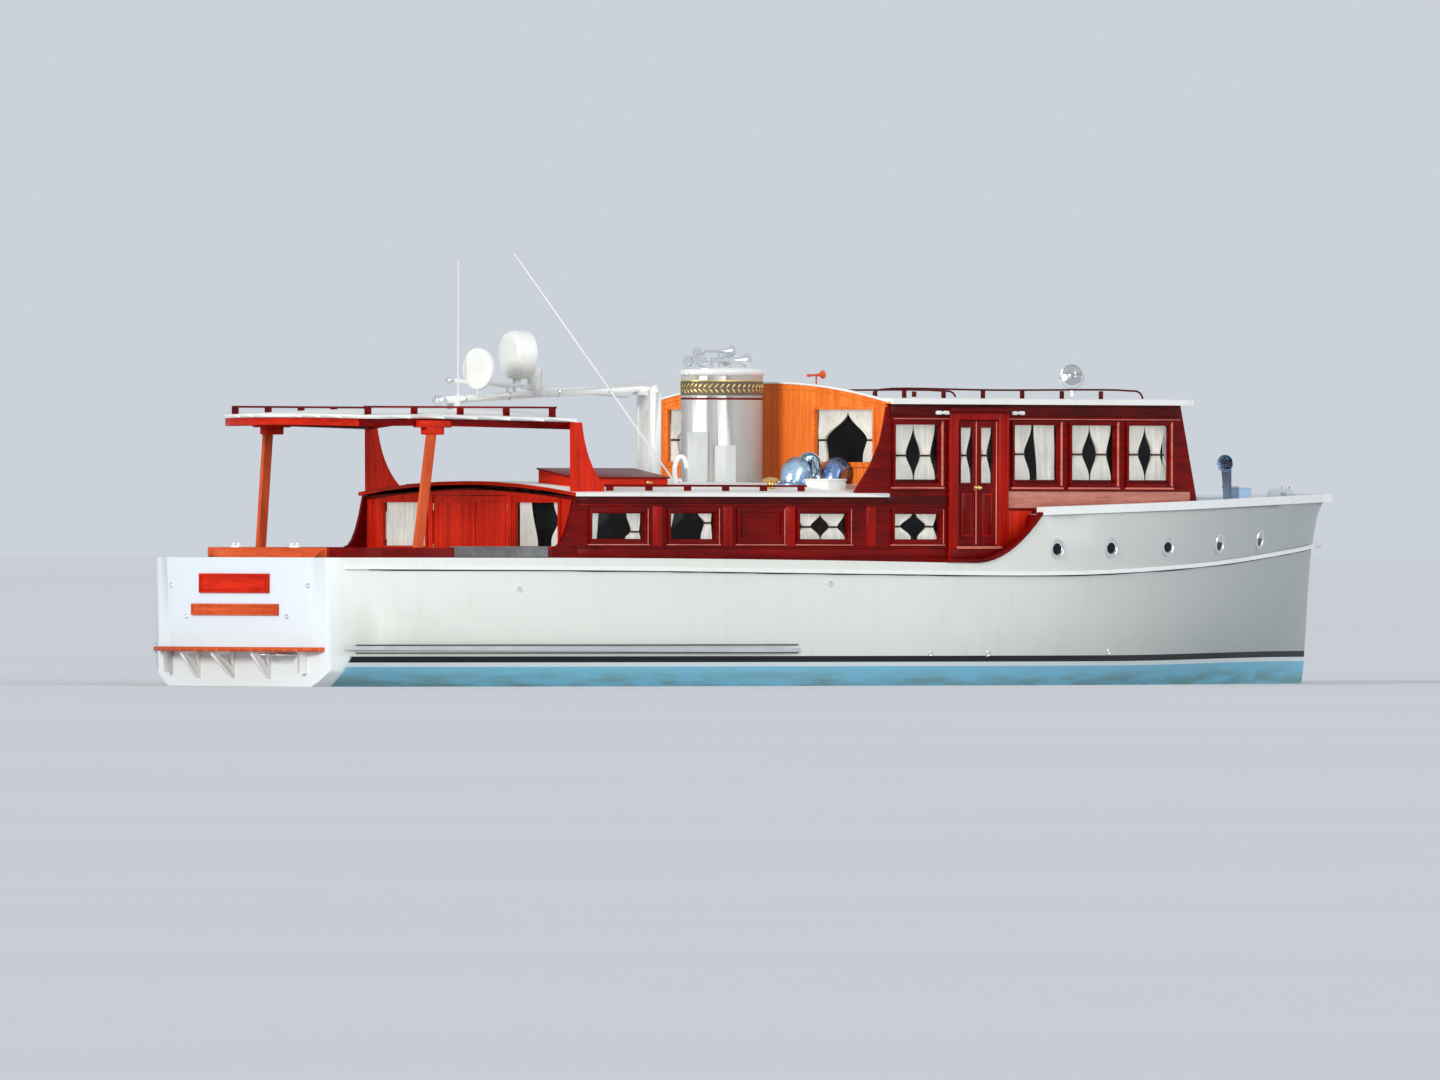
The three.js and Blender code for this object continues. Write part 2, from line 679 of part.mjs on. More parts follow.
function trunkAftBulkhead() {
  const half = CABIN_SIDE(TRUNK_AFT) - WALL - GAP;
  const roofHalf = 2150;
  const top = steps(1, -1, 8).map((v) => [
    v * half,
    TRUNK_EDGE - GAP + TRUNK_CROWN * (1 - (v * half / roofHalf) ** 2) - 1,
  ]);
  const deck = MAIN_DECK(TRUNK_AFT);
  const upper = prism([[-half, deck + GAP], [half, deck + GAP], ...top], 'yz', TRUNK_AFT, TRUNK_AFT + WALL);
  const low = COCKPIT_HALF - 2;
  const lower = block([TRUNK_AFT, -low, COCKPIT_FLOOR + GAP], [TRUNK_AFT + WALL, low, deck + 5]);
  const doors = block(
    [TRUNK_AFT - 50, -AFT_DOORS.half, AFT_DOORS.low],
    [TRUNK_AFT + 100, AFT_DOORS.half, AFT_DOORS.high],
  );
  const windows = [-1, 1].map((side) => {
    const [a, b] = [900 * side, 1740 * side].sort((p, q) => p - q);
    return block([TRUNK_AFT - 50, a, 1950], [TRUNK_AFT + 100, b, 2560]);
  });
  return join(upper, lower).subtract(join(doors, ...windows));
}
add('trunk_aft_bulkhead', trunkAftBulkhead(), 'mahogany');

function aftDoor() {
  return block(
    [TRUNK_AFT + 4, -AFT_DOORS.half + DOOR_GAP, AFT_DOORS.low + DOOR_GAP],
    [TRUNK_AFT + 4 + 36, -DOOR_GAP / 2, AFT_DOORS.high - DOOR_GAP],
  );
}
addPair('aft_door', aftDoor(), 'mahogany');

function trunkRoof() {
  const half = (x) => CABIN_SIDE(x) + 55;
  const places = steps(4540, HOUSE_AFT - GAP, 10);
  return crowned(places, half, () => TRUNK_EDGE, TRUNK_ROOF_THICK, TRUNK_CROWN);
}
add('trunk_roof', trunkRoof(), 'white');

// A piece that stands on the trunk roof, cut to the roof's crown.
function onRoof(body) {
  const half = (x) => CABIN_SIDE(x) + 55;
  const places = steps(4540, HOUSE_AFT - GAP, 10);
  const below = 700;
  return body.subtract(
    crowned(places, half, () => TRUNK_EDGE - below, TRUNK_ROOF_THICK + below + GAP, TRUNK_CROWN),
  );
}

// Wheelhouse
function frontAt(height) {
  const share = (height - 2500) / (HOUSE_EDGE - 2500);
  return HOUSE_FRONT_LOW + (HOUSE_FRONT_HIGH - HOUSE_FRONT_LOW) * share;
}

// The foot of the wheelhouse side: on the trunk roof's edge, on the main deck or on the foredeck.
function houseSide() {
  const outline = [
    [9900, 2690], [9980, 2790], [10230, 3080], [10430, 3430], [10520, 3750], [10560, HOUSE_EDGE - GAP],
    [frontAt(HOUSE_EDGE), HOUSE_EDGE - GAP], [frontAt(2300), 2300], [13500, 2300], [13500, 1700],
    [11781, 1700], [11781, TRUNK_EDGE], [HOUSE_AFT, TRUNK_EDGE], [HOUSE_AFT, 2690],
  ];
  const wall = cabinWall(9850, 17300, () => 1760, () => HOUSE_EDGE, 16);
  const profile = prism(outline, 'xz', -2700, -1500);
  const holes = HOUSE_WINDOWS.map(([aft, forward]) => (
    sideHole(aft, forward, HOUSE_GLASS.low, HOUSE_GLASS.high)));
  const doorway = sideHole(DOORWAY.aft, DOORWAY.forward, DOORWAY.low, DOORWAY.high, 5);
  return onRoof(wall.intersect(profile))
    .subtract(hullSolid.translate(0, 0, GAP))
    .subtract(join(...holes, doorway));
}
addPair('wheelhouse_side', houseSide(), 'mahogany');

function houseDoor(aft, forward) {
  const y = -CABIN_SIDE(12360);
  const leaf = block(
    [aft, y + 6, DOORWAY.low + DOOR_GAP],
    [forward, y + 6 + 34, DOORWAY.high - DOOR_GAP],
  );
  const light = block([aft + 75, y - 20, 2850], [forward - 75, y + 60, 3630]);
  return leaf.subtract(light);
}
const DOOR_MIDDLE = (DOORWAY.aft + DOORWAY.forward) / 2;
addPair('side_door_aft', houseDoor(DOORWAY.aft + DOOR_GAP, DOOR_MIDDLE - DOOR_GAP / 2), 'mahogany');
addPair('side_door_forward', houseDoor(DOOR_MIDDLE + DOOR_GAP / 2, DOORWAY.forward - DOOR_GAP), 'mahogany');

// The bowed front, as a band across the boat that leans aft.
function frontBand(inset, low, high) {
  const places = steps(-1, 1, 12);
  const x = (v, z) => frontAt(z) + HOUSE_FRONT_CAMBER * (1 - v * v) - inset;
  return (thick, half) => loft(places.map((v) => [
    [x(v, low), v * half, low], [x(v, low) - thick, v * half, low],
    [x(v, high) - thick, v * half, high], [x(v, high), v * half, high],
  ]));
}

const FRONT_HALF = 2045;

function houseFront() {
  const wall = frontBand(0, 2300, HOUSE_EDGE + HOUSE_CROWN)(WALL + 15, FRONT_HALF);
  const panes = [-1620, -820, 0, 820, 1620].map((y) => (
    block([15800, y - 350, HOUSE_GLASS.low], [17900, y + 350, HOUSE_GLASS.high])));
  return wall.subtract(houseRoof(GAP, 900))
    .subtract(hullSolid.translate(0, 0, GAP))
    .subtract(join(...panes));
}
add('wheelhouse_front', houseFront(), 'mahogany');
const PANE = { low: HOUSE_GLASS.low - 60, high: HOUSE_GLASS.high + 60 };
const frontPane = frontBand(WALL + 15 + GAP + 1, PANE.low, PANE.high)(GLASS, FRONT_HALF - 20);
add('wheelhouse_front_glass', frontPane, 'glass');

function houseGlass() {
  const inner = (x) => CABIN_SIDE(x) - WALL - SEAM;
  return mirrored(along(steps(13050, 16480, 8), inner, GLASS, () => PANE.low, () => PANE.high));
}
addPair('wheelhouse_glass', houseGlass(), 'glass');

// The bulkhead stands between the sides, and its arched top stands above the roof.
function houseAftBulkhead() {
  const half = CABIN_SIDE(HOUSE_AFT) - WALL - SEAM;
  const wall = block([HOUSE_AFT, -half, HOUSE_FLOOR], [HOUSE_AFT + WALL, half, HOUSE_EDGE + 1]);
  const windows = [-1, 1].map((side) => {
    const [a, b] = [905 * side, 2040 * side].sort((p, q) => p - q);
    return block([HOUSE_AFT - 50, a, 3140], [HOUSE_AFT + 100, b, 3880]);
  });
  const wide = CABIN_SIDE(HOUSE_AFT) + 20;
  const arch = steps(1, -1, 16).map((v) => [
    v * wide,
    PARAPET.side + (PARAPET.middle - PARAPET.side) * (1 - v * v),
  ]);
  const parapet = prism([[-wide, HOUSE_EDGE], [wide, HOUSE_EDGE], ...arch], 'yz', HOUSE_AFT, HOUSE_AFT + WALL);
  return join(wall, parapet).subtract(join(...windows));
}
add('wheelhouse_aft_bulkhead', houseAftBulkhead(), 'varnish');

function houseFloor() {
  return between(
    steps(HOUSE_AFT + WALL + 10, 16490, 10),
    (x) => CABIN_SIDE(x) - WALL - 60 - SEAM,
    () => HOUSE_FLOOR - HOUSE_FLOOR_THICK + GAP,
    () => HOUSE_FLOOR,
  );
}
add('wheelhouse_floor', houseFloor(), 'plank');

function houseRoof(drop = 0, thick = HOUSE_ROOF_THICK) {
  const front = HOUSE_FRONT_HIGH + 200;
  const places = [...steps(HOUSE_AFT + WALL + GAP, front, 8), front + 150, front + 290, front + 370];
  const half = (x) => {
    const side = CABIN_SIDE(Math.min(x, front)) + 75;
    return x <= front ? side : side * (1 - ((x - front) / 420) ** 2) ** 0.5;
  };
  return crowned(places, half, () => HOUSE_EDGE - drop, thick, HOUSE_CROWN);
}
add('wheelhouse_roof', houseRoof(), 'white');

// Canopy over the cockpit, on raked posts
const CANOPY = {
  aft: 800, corner: [1310, 1510], forward: [4660, 2060], under: 3680, thick: 50, crown: 130, flat: 0.45,
};
const FASCIA = { inset: 30, thick: 35, low: 3575 }; // the board under the canopy's edge
const CANOPY_RAIL = { aft: [1240, 1310], forward: [4450, 1860], top: 3900, thick: 28, blocks: 5 };
const CHOCK = { x: 4300, long: 70, half: 120, top: 3944 }; // carries the lowered mast
const CANOPY_WHIP = { x: 4200, y: -165, tip: 5950 }; // upright whip aerial
const ROOF_WHIP = { foot: [7940, -700], tip: [4770, 6040] }; // whip aerial that leans aft

function canopyHalf(x) {
  const [cx, cy] = CANOPY.corner;
  const [fx, fy] = CANOPY.forward;
  if (x >= cx) return cy + ((fy - cy) * (x - cx)) / (fx - cx);
  return cy * Math.max(1 - ((cx - x) / (cx - CANOPY.aft)) ** 1.7, 0.02) ** 0.5;
}

const CANOPY_PLACES = [
  CANOPY.aft, 830, 890, 990, 1120, ...steps(CANOPY.corner[0], CANOPY.forward[0], 6),
];

// How far the canopy's roof rises above its lowest edge. It flattens towards the aft end.
function canopyRise(x, y) {
  const share = THREE.MathUtils.clamp((x - CANOPY.aft) / 1400, 0, 1);
  const crown = CANOPY.crown * (CANOPY.flat + (1 - CANOPY.flat) * share);
  return crown * (1 - (y / CANOPY.forward[1]) ** 2);
}

// A layer of the canopy between two heights above its lowest edge, inset from its outline.
function canopyLayer(inset, low, high) {
  const places = CANOPY_PLACES.map((x) => Math.min(Math.max(x, CANOPY.aft + inset), CANOPY.forward[0] - inset));
  return loft([...new Set(places)].map((x) => {
    const half = Math.max(canopyHalf(x) - inset, 5);
    const top = steps(1, -1, 8).map((v) => [x, v * half, CANOPY.under + high + canopyRise(x, v * half)]);
    const under = steps(-1, 1, 8).map((v) => [
      x, v * (half - 1), CANOPY.under + low + canopyRise(x, v * (half - 1)),
    ]);
    return [...top, ...under];
  }));
}

// The handrail on the starboard half of the canopy, on blocks.
function canopyRail() {
  const { aft: [x0, y0], forward: [x1, y1], top, thick, blocks } = CANOPY_RAIL;
  const at = (share) => [x0 + (x1 - x0) * share, -y0 - (y1 - y0) * share];
  const rail = loft([0, 1].map((share) => {
    const [x, y] = at(share);
    return [[x, y - 16, top - thick], [x, y + 16, top - thick], [x, y + 16, top], [x, y - 16, top]];
  }));
  const feet = steps(0.02, 0.98, blocks - 1).map((share) => {
    const [x, y] = at(share);
    return block([x - 55, y - 15, CANOPY.under + 20], [x + 55, y + 15, top - thick + 3]);
  });
  return join(rail, ...feet);
}

function canopy() {
  const roof = canopyLayer(0, 0, CANOPY.thick);
  const drop = CANOPY.under - FASCIA.low;
  const ring = canopyLayer(FASCIA.inset, -drop, 25)
    .subtract(canopyLayer(FASCIA.inset + FASCIA.thick, -drop - 20, 60));
  const notches = join(
    block([2165, -1720, FASCIA.low - 50], [2350, -1595, CANOPY.under]),
    block([4555, -2100, FASCIA.low - 50], [4775, -2005, CANOPY.under]),
  );
  const fascia = ring.subtract(notches).subtract(mirrored(notches));
  const [aft, forward] = [CHOCK.x - CHOCK.long / 2, CHOCK.x + CHOCK.long / 2];
  const foot = CANOPY.under + CANOPY.crown + 10;
  const chock = block([aft, -CHOCK.half, foot], [forward, CHOCK.half, CHOCK.top]);
  const { x, y, tip } = CANOPY_WHIP;
  const socket = bar([x, y, foot], [x, y, foot + 260], 24);
  const whip = bar([x, y, foot + 250], [x, y, tip], 12, 5, 10);
  const rail = canopyRail();
  return join(roof, fascia, chock, socket, whip, rail, mirrored(rail));
}
add('canopy', canopy(), 'white');

const AFT_POST = { foot: [2045, 1595], top: [2260, 1665], width: 150, thick: 60 };
const FORWARD_POST_X = 4575;

function aftPost() {
  const [x0, y0] = AFT_POST.foot;
  const [x1, y1] = AFT_POST.top;
  const ring = (x, y, z) => [
    [x - AFT_POST.width / 2, -y, z], [x + AFT_POST.width / 2, -y, z],
    [x + AFT_POST.width / 2, -y + AFT_POST.thick, z], [x - AFT_POST.width / 2, -y + AFT_POST.thick, z],
  ];
  return loft([
    ring(x0, y0, MAIN_DECK(0) + COAMING.tall + GAP),
    ring(x1, y1, CANOPY.under - GAP),
  ]);
}
addPair('canopy_aft_post', aftPost(), 'varnish');

function forwardPost() {
  const x = FORWARD_POST_X;
  const foot = TRUNK_EDGE + TRUNK_ROOF_THICK - 20;
  const shape = new THREE.Shape();
  shape.moveTo(x, foot);
  shape.lineTo(x - 10, CANOPY.under - GAP);
  shape.lineTo(x + 180, CANOPY.under - GAP);
  shape.quadraticCurveTo(x + 260, 3100, x + 620, foot + 120);
  shape.lineTo(x + 620, foot);
  shape.lineTo(x, foot);
  return onRoof(prism(shape, 'xz', -2070, -2015));
}
addPair('canopy_forward_post', forwardPost(), 'mahogany');

// A low slope-lidded deck box on the trunk roof
const ROOF_BOX = { aft: 5100, forward: 6980, outer: -1530, inner: -860, outer_top: 2900, inner_top: 3020 };

function roofBox() {
  const { outer, inner } = ROOF_BOX;
  return onRoof(prism([
    [outer, TRUNK_EDGE], [inner, TRUNK_EDGE], [inner, ROOF_BOX.inner_top], [outer, ROOF_BOX.outer_top],
  ], 'yz', ROOF_BOX.aft, ROOF_BOX.forward));
}
add('roof_box', roofBox(), 'mahogany');

// Funnel on the trunk roof, with a cap and trumpet horns
const FUNNEL = { x: 9580, long: 700, wide: 420, top: 4360, cap: 80 };
const ROOF_TOP = TRUNK_EDGE + TRUNK_ROOF_THICK + TRUNK_CROWN;

function ovalRing(x, z, scale, sides = 28) {
  return steps(0, 2 * Math.PI, sides).slice(0, sides).map((a) => [
    x + FUNNEL.long * scale * Math.cos(a), FUNNEL.wide * scale * Math.sin(a), z,
  ]);
}

// The funnel, with the vent trunk and the box that stand against its foot.
function funnel() {
  const foot = ROOF_TOP - 160;
  const body = loft([foot, FUNNEL.top].map((z) => ovalRing(FUNNEL.x, z, 1)));
  const trunk = block([8800, -290, foot], [9010, -100, 3560]);
  const box = block([9100, -560, foot], [9300, -340, 3370]);
  const cap = loft([
    ovalRing(FUNNEL.x, FUNNEL.top - 1, 1.04), ovalRing(FUNNEL.x, FUNNEL.top + 50, 1.05),
    ovalRing(FUNNEL.x, FUNNEL.top + FUNNEL.cap, 1.0), ovalRing(FUNNEL.x, FUNNEL.top + FUNNEL.cap + 25, 0.6),
  ]);
  return onRoof(join(body, cap, trunk, box));
}
add('funnel', funnel(), 'white');

function airHorns() {
  const z = FUNNEL.top + FUNNEL.cap + 25 + GAP;
  const base = block([9350, -130, z], [9750, 130, z + 30]);
  const horn = (y, length) => join(
    bar([9450, y, z + 90], [9450 + length * 0.7, y, z + 90], 26, 34),
    bar([9450 + length * 0.7 - 1, y, z + 90], [9450 + length, y, z + 90], 34, 80),
    bar([9480, y, z + 20], [9480, y, z + 95], 18),
  );
  return join(base, horn(-90, 520), horn(90, 420));
}
add('air_horns', airHorns(), 'chrome');

// Tabernacle and the mast that folds aft over the canopy
const MAST = { pivot: [8130, 4130], tip: 4180, cheek: 130, head: 88, radius: 48 };

function tabernacle() {
  const [x, z] = MAST.pivot;
  const cheek = (y) => join(
    block([x - MAST.head, y - 25, ROOF_TOP - 60], [x + MAST.head, y + 25, z]),
    bar([x, y - 25, z], [x, y + 25, z], MAST.head, MAST.head, 24),
  );
  const base = block([x - 230, -260, ROOF_TOP - 60], [x + 230, 260, ROOF_TOP + 45]);
  const web = block([x + 60, -MAST.cheek, ROOF_TOP], [x + 88, MAST.cheek, z - 260]);
  const pin = bar([x, -MAST.cheek - 60, z], [x, MAST.cheek + 60, z], 20);
  const [wx, wy] = ROOF_WHIP.foot;
  const [tipX, tipZ] = ROOF_WHIP.tip;
  const shelf = block([wx - 90, wy - 60, ROOF_TOP - 60], [wx + 90, -200, ROOF_TOP + 45]);
  const whip = bar([wx, wy, ROOF_TOP], [tipX, wy, tipZ], 15, 5, 10);
  return onRoof(join(cheek(-MAST.cheek), cheek(MAST.cheek), base, web, pin, shelf, whip));
}
add('tabernacle', tabernacle(), 'white');

// The mast and, above it, the boom, which cross where they lie over the canopy
const SPARS = { mast_end: [4000, 3985], mast_heel: [8030, 4190], boom_end: [4200, 4265], boom_fork: [7700, 4075] };
const RADAR = { x: 5520, z: 4630, radius: 340, depth: 360, turn: -19 };
const AERIAL = { x: 4430, y: -340, z: 4430, radius: 290, depth: 95 };

function mast() {
  const [x, z] = MAST.pivot;
  const point = ([px, pz]) => [px, 0, pz];
  const pole = bar(point(SPARS.mast_end), point(SPARS.mast_heel), MAST.radius, MAST.radius * 1.35);
  const boom = bar(point(SPARS.boom_end), point(SPARS.boom_fork), 28, 44);
  const heel = block([x - 240, -85, z - 55], [x + 60, 85, z + 60])
    .subtract(bar([x, -150, z], [x, 150, z], 26));
  const brace = block([5320, -18, 4000], [5360, 18, 4230]);
  const bracket = block([5790, -65, 4060], [5950, 65, 4440]);
  const saddle = block([5470, -30, 4100], [5570, 30, 4320]);
  const arm = bar([AERIAL.x + 300, -15, 4020], [AERIAL.x + AERIAL.depth / 2 + GAP + 5, AERIAL.y, 4330], 20);
  const plate = block(
    [AERIAL.x + AERIAL.depth / 2 + GAP, AERIAL.y - 60, 4290],
    [AERIAL.x + AERIAL.depth / 2 + 30, AERIAL.y + 60, 4410],
  );
  const body = join(heel, pole, boom, brace, bracket, saddle, arm, plate);
  return body.subtract(radarDome(GAP)).subtract(aerialDome(GAP));
}

// A dome turned about the line along the boat, which lies on its side while the mast is down
function dome(radius, depth, grow) {
  const r = radius + grow;
  const d = depth + 2 * grow;
  const profile = [
    [0, -grow], [r * 0.86, -grow], [r, 0.12 * d], [r, 0.72 * d], [r * 0.9, 0.93 * d], [r * 0.6, d - grow],
    [0, d - grow],
  ];
  return turned(profile).translate(0, 0, -depth / 2).rotate([0, -90, 0]);
}

function radarDome(grow = 0) {
  return dome(RADAR.radius, RADAR.depth, grow).rotate([0, 0, RADAR.turn]).translate(RADAR.x, 0, RADAR.z);
}

function aerialDome(grow = 0) {
  return dome(AERIAL.radius, AERIAL.depth, grow).translate(AERIAL.x, AERIAL.y, AERIAL.z);
}
add('mast', mast(), 'white');
add('radar_dome', radarDome(), 'white');
add('aerial_dome', aerialDome(), 'white');

// Handrails on blocks along the trunk roof
function handrail() {
  const y = (x) => -(CABIN_SIDE(x) - 190);
  const z = (x) => TRUNK_EDGE + TRUNK_ROOF_THICK + TRUNK_CROWN * (1 - (y(x) / (CABIN_SIDE(x) + 55)) ** 2);
  const places = steps(5300, 9150, 8);
  const [wide, low, high] = [16, 55, 85];
  const rail = loft(places.map((x) => [
    [x, y(x) - wide, z(x) + low], [x, y(x) + wide, z(x) + low],
    [x, y(x) + wide, z(x) + high], [x, y(x) - wide, z(x) + high],
  ]));
  const feet = steps(5400, 9050, 5).map((x) => (
    block([x - 60, y(x) - wide + 1, z(x) - 40], [x + 60, y(x) + wide - 1, z(x) + low + 5])));
  return onRoof(join(rail, ...feet));
}
addPair('roof_handrail', handrail(), 'mahogany');

// Things on the roofs and the foredeck
add('roof_locker', onRoof(block([9750, -1950, 2650], [10100, -1500, 2900])), 'white');

function searchlight() {
  const [x, y, z] = [15700, -900, HOUSE_EDGE + HOUSE_ROOF_THICK + 110];
  return join(
    bar([x, y, z - 100], [x, y, z + 150], 22),
    bar([x - 110, y, z + 240], [x + 110, y, z + 240], 120, 105),
    bar([x, y, z + 120], [x, y, z + 200], 30),
  ).subtract(houseRoof().translate(0, 0, GAP));
}
add('searchlight', searchlight(), 'chrome');

const FOREDECK_Z = CAP_UNDERSIDE(19500) + FOREDECK_CROWN * 0.6;

function foredeckBox() {
  return block([19400, -620, 2500], [19650, -300, FOREDECK_Z + 190])
    .subtract(hullSolid.translate(0, 0, GAP));
}
add('foredeck_locker', foredeckBox(), 'white');

function windlass() {
  return join(
    block([20780, -110, 2500], [21060, 110, FOREDECK_Z + 110]),
    bar([20880, -190, FOREDECK_Z + 100], [20880, 190, FOREDECK_Z + 100], 62),
    bar([21010, -75, FOREDECK_Z + 60], [21010, -75, FOREDECK_Z + 190], 22),
    bar([21010, 75, FOREDECK_Z + 60], [21010, 75, FOREDECK_Z + 190], 22),
  ).subtract(hullSolid.translate(0, 0, GAP));
}
add('windlass', windlass(), 'chrome');

// A cowl vent with its mouth towards a heading in degrees from the bow. The mouth is an open cup.
function cowlVent({ x, y, foot, top, mouth, pipe, heading }) {
  const bend = [x - mouth * 0.25, y, top - mouth];
  const lip = [x + mouth * 0.95, y, top - mouth * 0.98];
  const cowl = join(
    bar([x, y, foot], [x, y, top - mouth], pipe),
    bar(bend, lip, mouth * 0.72, mouth),
    turned([[0, -mouth * 0.72], [mouth * 0.5, -mouth * 0.5], [mouth * 0.72, 0], [mouth * 0.5, mouth * 0.5],
      [0, mouth * 0.72]], 16).translate(...bend),
  ).subtract(bar([x + mouth * 0.3, y, lip[2]], [x + mouth, y, lip[2]], mouth * 0.5, mouth * 0.86));
  return cowl.translate(-x, -y, 0).rotate([0, 0, heading]).translate(x, y, 0);
}

const ROOF_COWLS = [
  { x: 9850, y: -1140, foot: 2650, top: 3225, mouth: 170, pipe: 90, heading: 20 },
  { x: 10200, y: -1300, foot: 2650, top: 3280, mouth: 160, pipe: 85, heading: 200 },
  { x: 10330, y: -1660, foot: 2650, top: 3195, mouth: 150, pipe: 80, heading: 25 },
];
const FOREDECK_COWL = { x: 18980, y: -800, foot: 2450, top: 3270, mouth: 125, pipe: 45, heading: 200 };

// The cowls on the trunk roof stand on one low pad.
function roofVents() {
  const pad = prism([
    [9720, -1300], [9720, -980], [10100, -980], [10490, -1180], [10490, -1810], [10190, -1810],
    [10130, -1460],
  ], 'xy', 2650, ROOF_TOP - 5);
  return onRoof(join(pad, ...ROOF_COWLS.map(cowlVent)));
}
add('foredeck_vent', cowlVent(FOREDECK_COWL).subtract(hullSolid.translate(0, 0, GAP)), 'chrome');
add('roof_vents', roofVents(), 'chrome');

// Engines under the wheelhouse floor
function engine() {
  const [x0, x1] = ENGINE.x;
  const [y0, y1] = ENGINE.half;
  const [z0, z1] = ENGINE.z;
  return block([x0, -y1, -260 + GAP], [x1, -y0, z1])
    .subtract(block([x0 - 10, -y1 + 150, -300], [x1 + 10, -y0 - 150, z0]));
}
addPair('engine', engine(), 'grey');

// Shafts, screws and rudders
function strut() {
  const y = -SHAFT.half;
  const at = (x) => shaftPoint(x, y);
  const [, , z] = at(2150);
  const foil = (middle, height) => [
    [2080, middle, height], [2150, middle - 12, height], [2220, middle, height], [2150, middle + 12, height],
  ];
  const leg = (side) => loft([foil(y + side * 40, z), foil(y + side * 260, -150)]);
  const barrel = bar(at(2030), at(2270), 62);
  return join(barrel, leg(1), leg(-1))
    .subtract(bar(at(1950), at(2350), SHAFT.bore))
    .subtract(form.translate(0, 0, -GAP));
}
addPair('shaft_strut', strut(), 'bronze');

// Screw blade. Columns: distance from the shaft's axis, half the chord, pitch angle in degrees.
const BLADE = [[55, 60, 58], [150, 120, 44], [260, 135, 33], [330, 95, 28], [360, 40, 26]];

function propeller() {
  const y = -SHAFT.half;
  const at = (x) => shaftPoint(x, y);
  const shaft = bar(at(1700), at(6250), SHAFT.radius);
  const hub = bar(at(1960), at(1720), 75, 58);
  const blade = (turn) => {
    const chord = curve(BLADE.map((row) => [row[0], row[1]]));
    const pitch = curve(BLADE.map((row) => [row[0], row[2]]));
    const rings = steps(55, 360, 8).map((r) => {
      const a = THREE.MathUtils.degToRad(pitch(r));
      const thick = 11 - r / 50;
      const lens = [[-1, 0], [-0.5, -0.8], [0, -1], [0.5, -0.8], [1, 0], [0.5, 0.8], [0, 1], [-0.5, 0.8]];
      return lens.map(([u, w]) => [
        chord(r) * u * Math.sin(a) - thick * w * Math.cos(a),
        chord(r) * u * Math.cos(a) + thick * w * Math.sin(a),
        r,
      ]);
    });
    return loft(rings).rotate([turn, 0, 0]);
  };
  const dip = THREE.MathUtils.radToDeg(Math.atan2(at(2300)[2] - at(1800)[2], 500));
  const wheel = join(...[0, 90, 180, 270].map(blade)).rotate([0, -dip, 0]);
  return join(shaft, hub, wheel.translate(...at(1840)));
}
addPair('propeller', propeller(), 'bronze');

function rudder() {
  const y = -RUDDER.half;
  const outline = [
    [RUDDER.x - 420, RUDDER.top - 60], [RUDDER.x - 330, RUDDER.top], [RUDDER.x + 120, RUDDER.top],
    [RUDDER.x + 150, RUDDER.top - 80], [RUDDER.x + 130, RUDDER.low], [RUDDER.x - 380, RUDDER.low],
  ];
  return prism(outline, 'xz', y - 22, y + 22)
    .add(bar([RUDDER.x, y, RUDDER.low + 100], [RUDDER.x, y, -60], RUDDER.stock));
}
addPair('rudder', rudder(), 'bronze');

export default group;
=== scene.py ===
"""A 22 m wooden motor yacht lived aboard as a houseboat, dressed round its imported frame.

Metres, +X forward, +Y port, +Z up, with the origin amidships on the waterline. Places along the
boat are written from the transom, which lies 11 m aft of the origin.
"""

import logging
import math
from collections.abc import Callable, Iterable, Sequence
from dataclasses import dataclass
from enum import Enum

import bpy
from mathutils import Matrix, Vector
from mathutils.bvhtree import BVHTree


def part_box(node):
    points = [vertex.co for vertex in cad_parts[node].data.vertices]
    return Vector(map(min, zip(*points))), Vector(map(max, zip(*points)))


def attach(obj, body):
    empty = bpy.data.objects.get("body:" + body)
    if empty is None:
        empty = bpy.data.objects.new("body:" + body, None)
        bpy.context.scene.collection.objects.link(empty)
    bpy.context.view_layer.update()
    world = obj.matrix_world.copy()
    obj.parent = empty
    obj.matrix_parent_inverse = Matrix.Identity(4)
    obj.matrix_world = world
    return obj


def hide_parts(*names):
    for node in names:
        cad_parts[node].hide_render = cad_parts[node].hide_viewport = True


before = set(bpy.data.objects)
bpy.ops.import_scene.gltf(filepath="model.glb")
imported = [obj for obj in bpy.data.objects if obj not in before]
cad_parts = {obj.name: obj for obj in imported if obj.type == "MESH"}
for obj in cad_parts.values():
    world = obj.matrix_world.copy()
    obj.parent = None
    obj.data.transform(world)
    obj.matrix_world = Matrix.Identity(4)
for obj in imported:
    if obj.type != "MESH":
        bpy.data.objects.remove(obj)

log = logging.getLogger("houseboat")
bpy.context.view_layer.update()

MIDSHIP = 11.0
PORT = 1
STARBOARD = -1
SIDES = {STARBOARD: "starboard", PORT: "port"}

Piece = bpy.types.Object
Pair = tuple[float, float]
Point = tuple[float, float, float]
Box = tuple[float, float, float, float]
Colour = Point
Pairs = Sequence[Pair]


def station(from_transom: float) -> float:
    """Turn a distance from the transom into the frame's X."""
    return from_transom - MIDSHIP


def steps(start: float, end: float, count: int) -> list[float]:
    """Spread even steps between two values."""
    return [start + (end - start) * i / count for i in range(count + 1)]


class Grain(Enum):
    """Which way the grain of a wood runs."""

    ALONG = (0.9, 14.0, 14.0)
    UPRIGHT = (14.0, 14.0, 0.9)
    ACROSS = (14.0, 0.9, 14.0)


